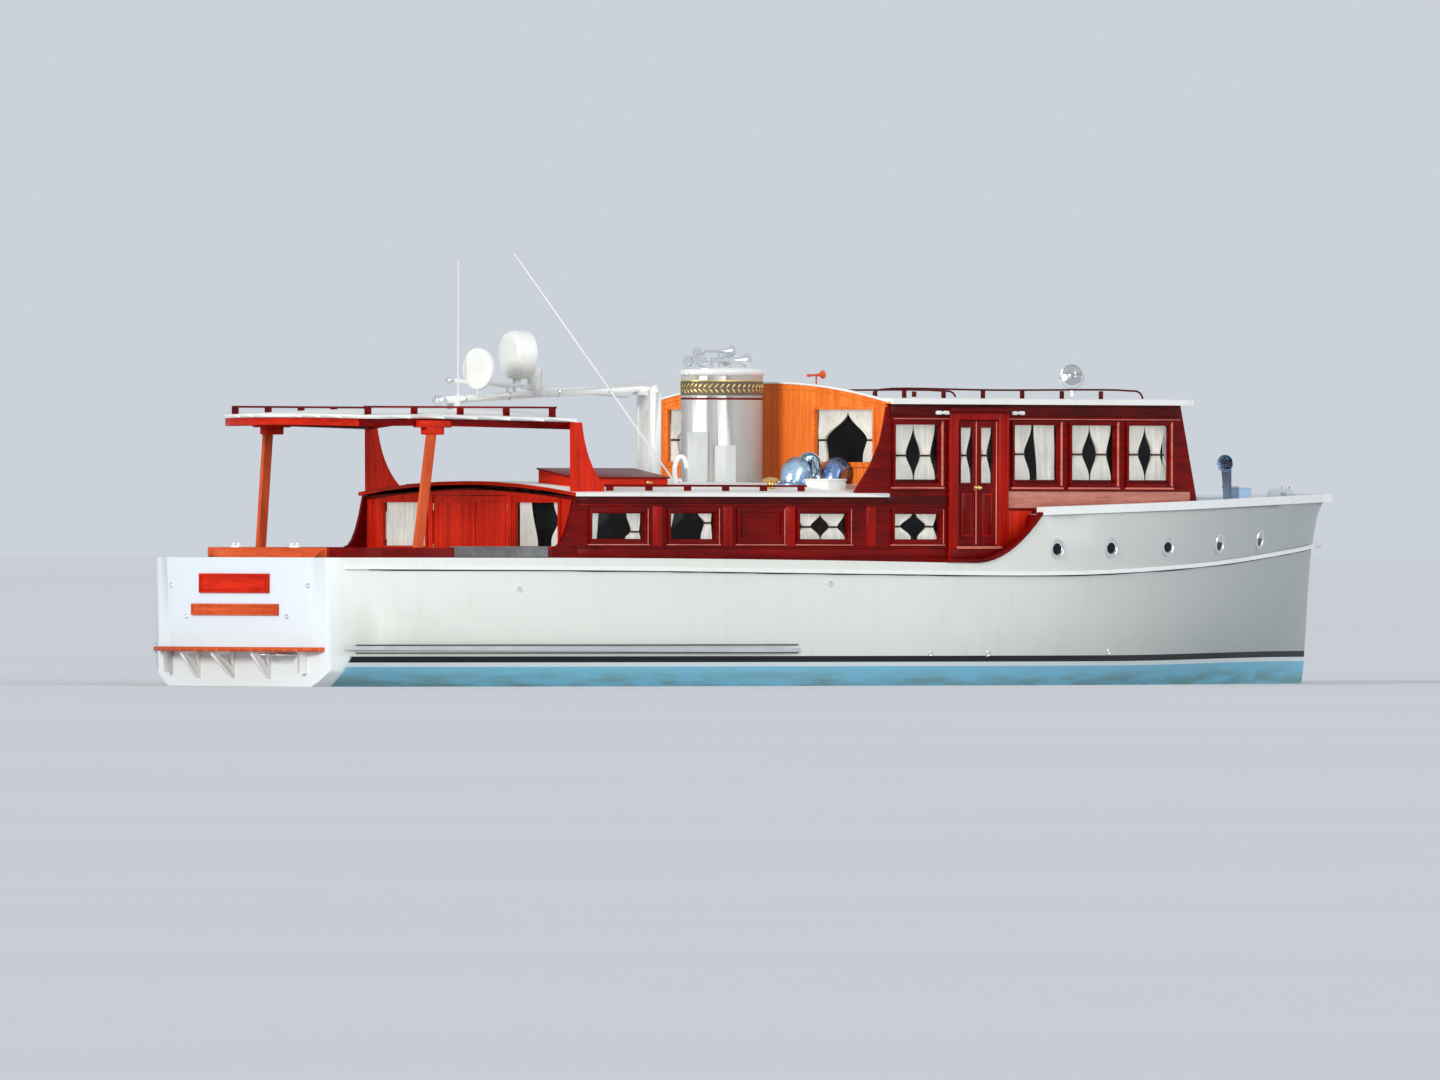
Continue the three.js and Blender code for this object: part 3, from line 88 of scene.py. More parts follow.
class Signal:
    """A shader value that takes part in plain arithmetic."""

    def __init__(self, graph: "Graph", socket: bpy.types.NodeSocket) -> None:
        """Wrap one output socket of a graph."""
        self.graph = graph
        self.socket = socket

    def _maths(self, operation: str, *values: "Signal | float") -> "Signal":
        """Add one Math node."""
        return self.graph.node("ShaderNodeMath", {"operation": operation}, dict(enumerate(values)))

    def __add__(self, other: "Signal | float") -> "Signal":
        """Add."""
        return self._maths("ADD", self, other)

    def __radd__(self, other: float) -> "Signal":
        """Add, reflected."""
        return self._maths("ADD", other, self)

    def __sub__(self, other: "Signal | float") -> "Signal":
        """Subtract."""
        return self._maths("SUBTRACT", self, other)

    def __rsub__(self, other: float) -> "Signal":
        """Subtract, reflected."""
        return self._maths("SUBTRACT", other, self)

    def __mul__(self, other: "Signal | float") -> "Signal":
        """Multiply."""
        return self._maths("MULTIPLY", self, other)

    def above(self, edge: float) -> "Signal":
        """Give 1 where the value is above an edge, else 0."""
        return self._maths("GREATER_THAN", self, edge)

    def fraction(self) -> "Signal":
        """Give the part after the decimal point."""
        return self._maths("FRACT", self)

    def whole(self) -> "Signal":
        """Give the whole number below the value."""
        return self._maths("FLOOR", self)

    def size(self) -> "Signal":
        """Give the value without its sign."""
        return self._maths("ABSOLUTE", self)

    def spread(self, low: float, high: float, to_low: float = 0.0, to_high: float = 1.0) -> "Signal":
        """Map one range smoothly onto another, held at its ends.

        Args:
            low: Value that becomes to_low.
            high: Value that becomes to_high.
            to_low: Result at and past low.
            to_high: Result at and past high.

        Returns:
            The mapped value.
        """
        settings = {"interpolation_type": "SMOOTHSTEP"}
        values = {0: self, 1: low, 2: high, 3: to_low, 4: to_high}
        return self.graph.node("ShaderNodeMapRange", settings, values)


class Graph:
    """A node material in the making."""

    def __init__(self, name: str) -> None:
        """Start an empty material.

        Args:
            name: The material's name.
        """
        self.material = bpy.data.materials.new(name)
        self.material.use_nodes = True
        self.tree = self.material.node_tree
        self.tree.nodes.clear()

    def node(self, kind: str, settings: dict, values: dict, output: int | str = 0) -> Signal:
        """Add a node of any type.

        Args:
            kind: The node's type name.
            settings: Its properties, set first.
            values: Values or links of its sockets, by number or name.
            output: Which output to hand on.

        Returns:
            The chosen output.
        """
        made = self.tree.nodes.new(kind)
        for key, value in settings.items():
            setattr(made, key, value)
        for key, value in values.items():
            socket = made.inputs[key]
            if isinstance(value, Signal):
                self.tree.links.new(value.socket, socket)
            elif isinstance(value, tuple) and len(value) == 3 and socket.type == "RGBA":
                socket.default_value = (*value, 1.0)
            else:
                socket.default_value = value
        return Signal(self, made.outputs[output])

    def place(self) -> Signal:
        """Give the point on the piece, in the frame's own metres."""
        return self.node("ShaderNodeTexCoord", {}, {}, "Object")

    def axis(self, name: str) -> Signal:
        """Give one coordinate of the point on the piece."""
        return self.node("ShaderNodeSeparateXYZ", {}, {0: self.place()}, name)

    def scaled(self, scale: Point) -> Signal:
        """Give the point on the piece, stretched along each axis."""
        return self.node("ShaderNodeMapping", {}, {"Vector": self.place(), "Scale": scale})

    def noise(self, scale: Point, detail: float = 4.0, rough: float = 0.55, bend: float = 0.0) -> Signal:
        """Give a noise between 0 and 1.

        Args:
            scale: Cycles a metre along each axis.
            detail: Octaves.
            rough: How strong the finer octaves are.
            bend: Distortion.

        Returns:
            The noise.
        """
        values = {"Vector": self.scaled(scale), "Scale": 1.0, "Detail": detail, "Roughness": rough,
                  "Distortion": bend}
        return self.node("ShaderNodeTexNoise", {}, values)

    def speckle(self, value: Signal) -> Signal:
        """Give a random number between 0 and 1 for each whole value."""
        return self.node("ShaderNodeTexWhiteNoise", {"noise_dimensions": "1D"}, {"W": value})

    def mix(self, share: Signal | float, first: Signal | Colour, second: Signal | Colour) -> Signal:
        """Mix two colours, where a share of 0 gives the first and 1 the second."""
        return self.node("ShaderNodeMix", {"data_type": "RGBA"}, {0: share, 6: first, 7: second}, 2)

    def bump(self, height: Signal, depth: float, strength: float) -> Signal:
        """Turn a height into a bumped normal."""
        return self.node("ShaderNodeBump", {}, {"Height": height, "Distance": depth, "Strength": strength})

    def close(self, **sockets: object) -> bpy.types.Material:
        """End the material in one principled shader.

        Args:
            sockets: Values or links of the shader, with _ for each space in a socket's name.

        Returns:
            The finished material.
        """
        values = {key.replace("_", " "): value for key, value in sockets.items()}
        shader = self.node("ShaderNodeBsdfPrincipled", {}, values)
        end = self.tree.nodes.new("ShaderNodeOutputMaterial")
        self.tree.links.new(shader.socket, end.inputs["Surface"])
        return self.material


class Finish:
    """A finish that makes its material once and hands it out after that."""

    name: str

    def material(self) -> bpy.types.Material:
        """Give the finish's material."""
        return bpy.data.materials.get(self.name) or self.build(Graph(self.name))

    def build(self, graph: Graph) -> bpy.types.Material:
        """Build the material's nodes in a fresh graph."""
        raise NotImplementedError


@dataclass(frozen=True)
class Paint(Finish):
    """Brushed gloss paint with a little dirt and run-off."""

    name: str
    colour: Colour
    grime: Colour = (0.34, 0.31, 0.24)
    dirt: float = 0.22
    rough: float = 0.34
    coat: float = 0.25

    def build(self, graph: Graph) -> bpy.types.Material:
        """Mix broad patches and upright streaks of dirt into the paint.

        Args:
            graph: A fresh graph.

        Returns:
            The finished material.
        """
        streak = graph.noise((7.0, 7.0, 0.55), 3.0).spread(0.5, 0.8)
        patch = graph.noise((0.9, 0.9, 0.9), 4.0).spread(0.42, 0.75)
        speck = graph.noise((60.0, 60.0, 60.0), 2.0)
        soil = (streak * 0.6 + patch * 0.4) * self.dirt
        colour = graph.mix(soil, self.colour, self.grime)
        brush = graph.noise((18.0, 160.0, 160.0), 2.0)
        return graph.close(
            Base_Color=colour,
            Roughness=self.rough + patch * 0.12 + speck * 0.05,
            Coat_Weight=self.coat,
            Coat_Roughness=0.12,
            Normal=graph.bump(brush * 0.6 + speck * 0.4, 0.0009, 0.35),
        )


@dataclass(frozen=True)
class Topsides(Finish):
    """The hull's paint: off-white sides, a black boot top on a white line, and a blue bottom."""

    name: str = "topside_enamel"
    white: Colour = (0.705, 0.705, 0.645)
    boot: Colour = (0.005, 0.0055, 0.006)
    line: Colour = (0.62, 0.66, 0.66)
    bottom: Colour = (0.18, 0.46, 0.60)
    stripes_start: float = -10.62
    boot_low: float = 0.335
    boot_high: float = 0.42
    blue_top: float = 0.275

    def build(self, graph: Graph) -> bpy.types.Material:
        """Stack the colours by height, weather them, and paint shade on the transom and towards the bow.

        Args:
            graph: A fresh graph.

        Returns:
            The finished material.
        """
        height = graph.axis("Z")
        along = graph.axis("X")
        lift = along.spread(4.0, 10.0) * 0.045
        level = height - lift
        ripple = graph.noise((1.3, 1.3, 9.0), 5.0)
        scum = level.spread(0.05, 0.3, 1.0, 0.0) * ripple.spread(0.35, 0.7)
        streak = graph.noise((5.0, 5.0, 0.4), 4.0).spread(0.52, 0.78)
        patch = graph.noise((0.45, 0.45, 0.8), 4.0).spread(0.4, 0.72)
        faded = level.spread(1.1, 0.4) * 0.12
        soil = streak * 0.13 + patch * 0.09 + faded
        side = graph.mix(soil, self.white, (0.42, 0.44, 0.38))
        lower = graph.mix(level.above(self.blue_top), graph.mix(
            scum * 0.6, self.bottom, (0.16, 0.20, 0.13)), self.line)
        banded = graph.mix(level.above(self.boot_low), lower, self.boot)
        ahead = along.spread(self.stripes_start, self.stripes_start + 0.06)
        bare = ahead * -1.0 + 1.0
        # Painted shade: the transom is tinted blue-grey, and the sides darken to grey-blue from amidships to
        # the bow.
        transom_painted_shade = graph.mix(along.spread(-10.6, -11.0) * 0.8, side, (0.66, 0.74, 0.82))
        bow_painted_shade = graph.mix(along.spread(0.0, 10.4) * 0.8, transom_painted_shade, (0.26, 0.285, 0.29))
        colour = graph.mix(level.above(self.boot_high), graph.mix(bare, banded, (0.66, 0.70, 0.70)), bow_painted_shade)
        seam = ((level * 7.4 + ripple * 0.02).fraction() - 0.5).size().spread(0.47, 0.5)
        fair = graph.noise((0.55, 0.55, 1.7), 3.0)
        return graph.close(
            Base_Color=colour,
            Roughness=0.3 + patch * 0.14 + scum * 0.25,
            Specular_IOR_Level=0.3,
            Coat_Weight=level.above(self.boot_high) * 0.15,
            Coat_Roughness=0.1,
            Normal=graph.bump(fair * 0.9 - seam * 0.05, 0.012, 0.35),
        )


@dataclass(frozen=True)
class Varnish(Finish):
    """Varnished hardwood under a wet-looking coat, with grain, boards and darker edges."""

    name: str
    dark: Colour
    light: Colour
    grain: Grain = Grain.ALONG
    board: float = 0.0
    board_axis: str = "Z"
    tone: float = 0.5

    def build(self, graph: Graph) -> bpy.types.Material:
        """Lay fine fibre over broad figure, tint each board, and coat it all.

        Args:
            graph: A fresh graph.

        Returns:
            The finished material.
        """
        gx, gy, gz = self.grain.value
        figure = graph.noise((gx, gy, gz), 5.0, 0.6, 0.8).spread(0.3, 0.72)
        fibre = graph.noise((gx * 6.0, gy * 6.0, gz * 6.0), 3.0, 0.6).spread(0.35, 0.7)
        blush = graph.noise((0.8, 0.8, 0.8), 3.0).spread(0.35, 0.7)
        share = figure * 0.5 + fibre * 0.22 + blush * 0.28
        relief = fibre
        if self.board:
            place = graph.axis(self.board_axis) * (1.0 / self.board)
            share = share * (1.0 - self.tone) + graph.speckle(place.whole()) * self.tone
            seam = ((place.fraction() - 0.5).size()).spread(0.465, 0.495)
            share = share * (1.0 - seam * 0.9)
            relief = fibre * 0.1 - seam
        depth = 0.0015 if self.board else 0.0004
        return graph.close(
            Base_Color=graph.mix(share, self.dark, self.light),
            Roughness=0.3 + fibre * 0.12,
            Specular_IOR_Level=0.06,
            Coat_Weight=0.07,
            Coat_Roughness=0.08,
            Normal=graph.bump(relief, depth, 0.6),
        )


@dataclass(frozen=True)
class Planking(Finish):
    """Laid deck planks with dark caulking, each plank its own tone."""

    name: str
    dark: Colour = (0.20, 0.095, 0.04)
    light: Colour = (0.46, 0.26, 0.13)
    width: float = 0.06
    axis: str = "Y"
    grain: Grain = Grain.ALONG
    caulk: Colour = (0.015, 0.014, 0.013)

    def build(self, graph: Graph) -> bpy.types.Material:
        """Split the surface into planks and weather each.

        Args:
            graph: A fresh graph.

        Returns:
            The finished material.
        """
        gx, gy, gz = self.grain.value
        fibre = graph.noise((gx * 3.0, gy * 3.0, gz * 3.0), 5.0, 0.65)
        place = graph.axis(self.axis) * (1.0 / self.width)
        seam = ((place.fraction() - 0.5).size()).spread(0.45, 0.475)
        tone = graph.speckle(place.whole())
        wood = graph.mix(fibre * 0.6 + tone * 0.4, self.dark, self.light)
        return graph.close(
            Base_Color=graph.mix(seam, wood, self.caulk),
            Roughness=0.58 + fibre * 0.2,
            Normal=graph.bump(fibre * 0.3 - seam, 0.002, 0.7),
        )


@dataclass(frozen=True)
class Metal(Finish):
    """Polished or weathered metal."""

    name: str
    colour: Colour
    rough: float = 0.1
    stain: Colour = (0.25, 0.25, 0.24)
    tarnish: float = 0.15

    def build(self, graph: Graph) -> bpy.types.Material:
        """Spot the metal with tarnish and fine scratches.

        Args:
            graph: A fresh graph.

        Returns:
            The finished material.
        """
        spots = graph.noise((24.0, 24.0, 24.0), 5.0).spread(0.5, 0.75)
        scratch = graph.noise((9.0, 240.0, 240.0), 2.0)
        return graph.close(
            Base_Color=graph.mix(spots * self.tarnish, self.colour, self.stain),
            Metallic=1.0 - spots * 0.2,
            Roughness=self.rough + spots * 0.18 + scratch * 0.05,
            Normal=graph.bump(scratch, 0.0003, 0.3),
        )


@dataclass(frozen=True)
class Cast(Finish):
    """Matt or satin material with a fine cast or moulded surface, such as rubber and plastic."""

    name: str
    colour: Colour
    second: Colour
    rough: float = 0.55
    grit: float = 240.0
    depth: float = 0.0006

    def build(self, graph: Graph) -> bpy.types.Material:
        """Mottle two tones and roughen the surface.

        Args:
            graph: A fresh graph.

        Returns:
            The finished material.
        """
        cloud = graph.noise((3.0, 3.0, 3.0), 5.0).spread(0.35, 0.7)
        grit = graph.noise((self.grit, self.grit, self.grit), 3.0)
        return graph.close(
            Base_Color=graph.mix(cloud * 0.7 + grit * 0.3, self.colour, self.second),
            Roughness=self.rough + grit * 0.15,
            Normal=graph.bump(grit, self.depth, 0.6),
        )


@dataclass(frozen=True)
class Pane(Finish):
    """Clear window glass, faintly smeared."""

    name: str
    tint: Colour = (0.003, 0.004, 0.005)
    cover: float = 0.16

    def build(self, graph: Graph) -> bpy.types.Material:
        """Let most light through and keep the gloss.

        Args:
            graph: A fresh graph.

        Returns:
            The finished material.
        """
        smear = graph.noise((2.2, 2.2, 3.5), 4.0).spread(0.4, 0.8)
        return graph.close(
            Base_Color=graph.mix(smear * 0.03, self.tint, (0.25, 0.27, 0.28)),
            Roughness=0.03 + smear * 0.08,
            Alpha=self.cover + smear * 0.04,
            Specular_IOR_Level=0.4,
            Coat_Weight=0.1,
            Coat_Roughness=0.02,
        )


@dataclass(frozen=True)
class Cloth(Finish):
    """Thin woven cloth, which gives off a little painted light of its own, evenly all over."""

    name: str
    colour: Colour
    shade: Colour
    painted_glow: float = 0.0

    def build(self, graph: Graph) -> bpy.types.Material:
        """Weave fine threads over soft, uneven whiteness.

        Args:
            graph: A fresh graph.

        Returns:
            The finished material.
        """
        warp = ((graph.axis("Z") * 900.0).fraction() - 0.5).size()
        weft = (((graph.axis("X") + graph.axis("Y")) * 900.0).fraction() - 0.5).size()
        cloud = graph.noise((4.0, 4.0, 2.0), 4.0).spread(0.35, 0.75)
        # Painted light: the cloth gives off light of its own, though it is no lamp.
        return graph.close(
            Base_Color=graph.mix(cloud, self.colour, self.shade),
            Roughness=0.85 + cloud * 0.1,
            Sheen_Weight=0.3,
            Emission_Color=self.colour,
            Emission_Strength=self.painted_glow,
            Normal=graph.bump(warp + weft, 0.0003, 0.5),
        )


RED_DARK = (0.072, 0.0010, 0.0008)
RED_LIGHT = (0.25, 0.0030, 0.0016)
# Lighter copies of the mahogany above, painting in sunlight on proud parts and on faces that the sun strikes
# from aft.
SUNLIT_WARM_DARK = (0.17, 0.0030, 0.0015)
SUNLIT_WARM_LIGHT = (0.50, 0.010, 0.004)
SUNLIT_COPPER_DARK = (0.44, 0.045, 0.012)
SUNLIT_COPPER_LIGHT = (0.76, 0.14, 0.04)
SUNLIT_RED_DARK = (0.36, 0.009, 0.003)
SUNLIT_RED_LIGHT = (0.78, 0.030, 0.007)
SUNLIT_ORANGE_DARK = (0.64, 0.090, 0.013)
SUNLIT_ORANGE_LIGHT = (0.95, 0.30, 0.045)


class Finishes:
    """Every finish on the boat, by its use."""

    topsides = Topsides()
    white = Paint("white_gloss", (0.82, 0.82, 0.79))
    roof = Paint("roof_canvas_paint", (0.80, 0.79, 0.75), dirt=0.32, rough=0.5, coat=0.05)
    deck = Paint("deck_paint", (0.50, 0.58, 0.62), dirt=0.3, rough=0.55, coat=0.0)
    cream = Paint("cabin_lining_paint", (0.50, 0.44, 0.33), dirt=0.15, rough=0.5, coat=0.0)
    mahogany = Varnish("mahogany_along", RED_DARK, RED_LIGHT)
    upright = Varnish("mahogany_upright", RED_DARK, RED_LIGHT, Grain.UPRIGHT)
    # Painted shade: a darker copy of the mahogany for the friezes under the eaves and for the roof
    # handrails.
    shadow = Varnish("shade_darkened_mahogany_along", (0.035, 0.0012, 0.0008), (0.13, 0.0040, 0.0020))
    # Painted shade: near-black for the insides of the cabins, the trunk's deckhead and the partitions behind
    # the windows.
    lining = Paint("saloon_painted_shade", (0.008, 0.006, 0.005), dirt=0.0, rough=0.7, coat=0.0)
    # Painted highlight: a pale pinkish copy of the mahogany for thin beads, sills and thresholds that catch
    # the gloss.
    highlight_bead = Varnish("rosy_bead", (0.46, 0.085, 0.06), (0.80, 0.27, 0.20))
    highlight_bead_upright = Varnish("rosy_bead_upright", (0.46, 0.085, 0.06), (0.80, 0.27, 0.20), Grain.UPRIGHT)
    # A paler, pinkish mahogany for the band below the wheelhouse's side windows.
    faded = Varnish("pale_pink_mahogany", (0.36, 0.10, 0.07), (0.70, 0.30, 0.22))
    # Painted light: a coppery and a lighter reddish copy of the mahogany.
    sunlit_copper = Varnish("sunlit_coppery_upright", SUNLIT_COPPER_DARK, SUNLIT_COPPER_LIGHT, Grain.UPRIGHT)
    sunlit_warm = Varnish("sunlit_warm_mahogany_upright", SUNLIT_WARM_DARK, SUNLIT_WARM_LIGHT, Grain.UPRIGHT)
    light_grey = Paint("light_grey_funnel_patch", (0.66, 0.67, 0.655), dirt=0.1)
    pale_blue = Paint("pale_blue_paint", (0.44, 0.60, 0.82), dirt=0.1)
    # Painted light: reddish and orange copies of the mahogany, lighter where the sun falls.
    boards = Varnish("sunlit_mahogany_door_boards", SUNLIT_RED_DARK, SUNLIT_RED_LIGHT, Grain.UPRIGHT, 0.095, "Y", 0.3)
    sunlit_flame = Varnish("sunlit_mahogany_upright", SUNLIT_RED_DARK, SUNLIT_RED_LIGHT, Grain.UPRIGHT)
    sunlit_flame_across = Varnish("sunlit_mahogany_across", SUNLIT_RED_DARK, SUNLIT_RED_LIGHT, Grain.ACROSS)
    bright = Varnish("sunlit_orange_along", SUNLIT_ORANGE_DARK, SUNLIT_ORANGE_LIGHT)
    sunlit_orange_boards = Varnish("sunlit_orange_boards", SUNLIT_ORANGE_DARK, SUNLIT_ORANGE_LIGHT, Grain.UPRIGHT, 0.115, "Y", 0.3)
    across = Varnish("mahogany_across", RED_DARK, RED_LIGHT, Grain.ACROSS)
    # Painted light: a coppery across-grain copy of the mahogany.
    sunlit_copper_across = Varnish("sunlit_coppery_across", SUNLIT_COPPER_DARK, SUNLIT_COPPER_LIGHT, Grain.ACROSS)
    teak = Planking("teak_sole")
    platform = Planking("teak_platform", (0.22, 0.07, 0.025), (0.52, 0.22, 0.09), 0.085, "X", Grain.ACROSS)
    saloon = Planking("saloon_sole", (0.10, 0.04, 0.018), (0.24, 0.11, 0.05), 0.09)
    glass = Pane("clear_window_glass", cover=0.2)
    lens = Pane("lamp_glass", cover=0.08)
    dark_glass = Metal("dark_port_glass", (0.02, 0.026, 0.03), 0.06, (0.05, 0.05, 0.05), 0.1)
    gilt = Metal("gilding", (0.83, 0.60, 0.22), 0.28, (0.30, 0.18, 0.06), 0.35)
    gilt_ground = Cast("brown_ground", (0.10, 0.075, 0.05), (0.15, 0.115, 0.075), 0.5)
    chrome = Metal("polished_chrome", (0.82, 0.84, 0.86), 0.07)
    # Painted reflection: chrome tinted light blue and deep blue, standing for the sky and the darker
    # surroundings that it mirrors.
    sky_reflection_chrome = Metal("painted_sky_reflection_chrome", (0.55, 0.76, 0.98), 0.32)
    deep_reflection_chrome = Metal("painted_deep_blue_reflection_chrome", (0.26, 0.38, 0.66), 0.25)
    bronze = Metal("propeller_bronze", (0.50, 0.27, 0.09), 0.3, (0.10, 0.16, 0.11), 0.6)
    brass = Metal("brass", (0.78, 0.52, 0.16), 0.16)
    iron = Cast("keel_composition", (0.03, 0.15, 0.19), (0.08, 0.13, 0.11), 0.7, 60.0, 0.002)
    antifouled = Cast("antifouled_bronze", (0.045, 0.22, 0.27), (0.10, 0.16, 0.12), 0.65, 80.0, 0.001)
    engine = Cast("engine_enamel", (0.09, 0.16, 0.13), (0.13, 0.20, 0.17), 0.45, 120.0, 0.0012)
    # Black for the beads along the guard rail and rub strakes; the one under the guard paints its shadow.
    rubber = Cast("black_shadow_and_edge_lines", (0.012, 0.012, 0.013), (0.03, 0.03, 0.03), 0.6)
    grey = Cast("grey_plastic", (0.40, 0.42, 0.43), (0.50, 0.52, 0.53), 0.5)
    mat = Cast("boarding_mat_rubber", (0.10, 0.10, 0.10), (0.24, 0.24, 0.235), 0.75, 160.0, 0.0015)
    plastic = Cast("white_plastic", (0.78, 0.78, 0.74), (0.70, 0.70, 0.66), 0.32, 300.0, 0.0002)
    # Painted light: the curtains give off light of their own, so they read bright behind the glass.
    curtain = Cloth("white_curtain_cloth", (0.86, 0.84, 0.78), (0.60, 0.60, 0.58), 0.52)
    tie = Cloth("dark_tie_cloth", (0.10, 0.02, 0.02), (0.05, 0.012, 0.012))


class Bench:
    """Makes meshes by Blender's own modelling operators, each left at the origin."""

    SHARP: float = 35.0
    WELD: float = 2e-5

    @staticmethod
    def pick(*pieces: Piece) -> None:
        """Select some pieces and nothing else.

        Args:
            pieces: What to select. The first becomes active.
        """
        bpy.ops.object.select_all(action="DESELECT")
        for piece in pieces:
            piece.select_set(True)
        bpy.context.view_layer.objects.active = pieces[0]

    @staticmethod
    def settled() -> Piece:
        """Put the active object's place into its mesh."""
        bpy.ops.object.transform_apply(location=True, rotation=True, scale=True)
        return bpy.context.object

    @classmethod
    def edit(cls, piece: Piece, mode: str = "FACE") -> None:
        """Open a piece in edit mode with all of it selected.

        Args:
            piece: The piece.
            mode: VERT, EDGE or FACE.
        """
        cls.pick(piece)
        bpy.ops.object.mode_set(mode="EDIT")
        bpy.ops.mesh.select_mode(type=mode)
        bpy.ops.mesh.select_all(action="SELECT")

    @staticmethod
    def done() -> Piece:
        """Leave edit mode, and give the piece that was edited."""
        bpy.ops.object.mode_set(mode="OBJECT")
        return bpy.context.object

    @classmethod
    def outward(cls, piece: Piece) -> Piece:
        """Turn a piece's faces outward.

        Args:
            piece: The piece.

        Returns:
            The piece.
        """
        cls.edit(piece)
        bpy.ops.mesh.normals_make_consistent(inside=False)
        return cls.done()

    @classmethod
    def block(cls, low: Sequence[float], high: Sequence[float], cuts: int = 0) -> Piece:
        """Make a block between two corners.

        Args:
            low: Lowest corner.
            high: Highest corner.
            cuts: How many rings of edges cut it along X.

        Returns:
            The block.
        """
        bpy.ops.object.select_all(action="DESELECT")
        bpy.ops.mesh.primitive_cube_add(size=1.0, location=[(a + b) / 2 for a, b in zip(low, high)])
        bpy.context.object.scale = [abs(b - a) for a, b in zip(low, high)]
        piece = cls.settled()
        if cuts:
            for edge in piece.data.edges:
                a, b = (piece.data.vertices[i].co for i in edge.vertices)
                edge.select = abs(a.x - b.x) > 1e-5
            for vertex in piece.data.vertices:
                vertex.select = False
            for face in piece.data.polygons:
                face.select = False
            bpy.ops.object.mode_set(mode="EDIT")
            bpy.ops.mesh.select_mode(type="EDGE")
            bpy.ops.mesh.subdivide(number_cuts=cuts)
            cls.done()
        return piece

    @classmethod
    def frame(cls, low: Sequence[float], high: Sequence[float], width: float, out: Pair,
              cuts: int = 0) -> Piece:
        """Make a mitred frame round an opening in a wall's own space.

        Args:
            low: The opening's lowest along and up.
            high: The opening's highest along and up.
            width: How wide the frame is, outside the opening.
            out: Its inner and outer faces.
            cuts: How many rings of edges cut its long members.

        Returns:
            The frame.
        """
        bpy.ops.object.select_all(action="DESELECT")
        centre = ((low[0] + high[0]) / 2, out[0], (low[1] + high[1]) / 2)
        bpy.ops.mesh.primitive_plane_add(size=1.0, location=centre, rotation=(-math.pi / 2, 0, 0))
        bpy.context.object.scale = (high[0] - low[0] + 2 * width, high[1] - low[1] + 2 * width, 1)
        piece = cls.settled()
        cls.edit(piece)
        bpy.ops.mesh.inset(thickness=width)
        bpy.ops.mesh.delete(type="FACE")
        cls.done()
        if cuts:
            cls.edit(piece, "EDGE")
            for i in range(1, cuts + 1):
                bpy.ops.mesh.select_all(action="SELECT")
                at = low[0] + (high[0] - low[0]) * i / (cuts + 1)
                bpy.ops.mesh.bisect(plane_co=(at, 0, 0), plane_no=(1, 0, 0))
            cls.done()
        return cls.modified(piece, "SOLIDIFY", thickness=out[1] - out[0], offset=1.0)

    @classmethod
    def modified(cls, piece: Piece, kind: str, **settings: object) -> Piece:
        """Add a modifier and apply it.

        Args:
            piece: The piece.
            kind: The modifier's type.
            settings: Its settings.

        Returns:
            The piece.
        """
        cls.pick(piece)
        bpy.ops.object.modifier_add(type=kind)
        modifier = piece.modifiers[-1]
        for key, value in settings.items():
            setattr(modifier, key, value)
        bpy.ops.object.modifier_apply(modifier=modifier.name)
        return piece

    @classmethod
    def bevelled(cls, piece: Piece, width: float, segments: int = 2) -> Piece:
        """Round a piece's sharp edges."""
        return cls.modified(piece, "BEVEL", width=width, segments=segments, limit_method="ANGLE",
                            angle_limit=math.radians(cls.SHARP), use_clamp_overlap=True)

    @classmethod
    def turned(cls, profile: Pairs, centre: Sequence[float],
               axis: Sequence[float] = (0, 0, 1), sides: int = 32) -> Piece:
        """Turn a profile about an axis.

        Args:
            profile: Rows of radius and distance along the axis.
            centre: Where the axis starts.
            axis: The axis' direction.
            sides: How many steps make the turn.

        Returns:
            The turned piece.
        """
        bpy.ops.object.select_all(action="DESELECT")
        bpy.ops.mesh.primitive_plane_add(size=1.0)
        piece = bpy.context.object
        cls.edit(piece, "VERT")
        bpy.ops.mesh.merge(type="CENTER")
        radius, lift = profile[0]
        bpy.ops.transform.translate(value=(radius, 0, lift))
        for (r0, z0), (r1, z1) in zip(profile, profile[1:]):
            bpy.ops.mesh.extrude_region_move(TRANSFORM_OT_translate={"value": (r1 - r0, 0, z1 - z0)})
        bpy.ops.mesh.select_all(action="SELECT")
        bpy.ops.mesh.spin(steps=sides, angle=2 * math.pi, center=(0, 0, 0), axis=(0, 0, 1))
        bpy.ops.mesh.select_all(action="SELECT")
        bpy.ops.mesh.remove_doubles(threshold=1e-5)
        bpy.ops.mesh.normals_make_consistent(inside=False)
        cls.done()
        turn = Vector(axis).normalized().to_track_quat("Z", "Y").to_matrix()
        piece.matrix_world = Matrix.Translation(Vector(centre)) @ turn.to_4x4()
        return cls.settled()

    @classmethod
    def rod(cls, start: Sequence[float], end: Sequence[float], radius: float, sides: int = 16,
            end_radius: float | None = None) -> Piece:
        """Make a round rod with eased ends.

        Args:
            start: One end of its centreline.
            end: The other end.
            radius: Its radius.
            sides: How many sides it has.
            end_radius: Its radius at the end, if another.

        Returns:
            The rod.
        """
        way = Vector(end) - Vector(start)
        tip = radius if end_radius is None else end_radius
        ease = min(radius, tip, way.length) * 0.25
        profile = [(0.0, 0.0), (radius - ease, 0.0), (radius, ease), (tip, way.length - ease),
                   (tip - ease, way.length), (0.0, way.length)]
        return cls.turned(profile, start, way, sides)

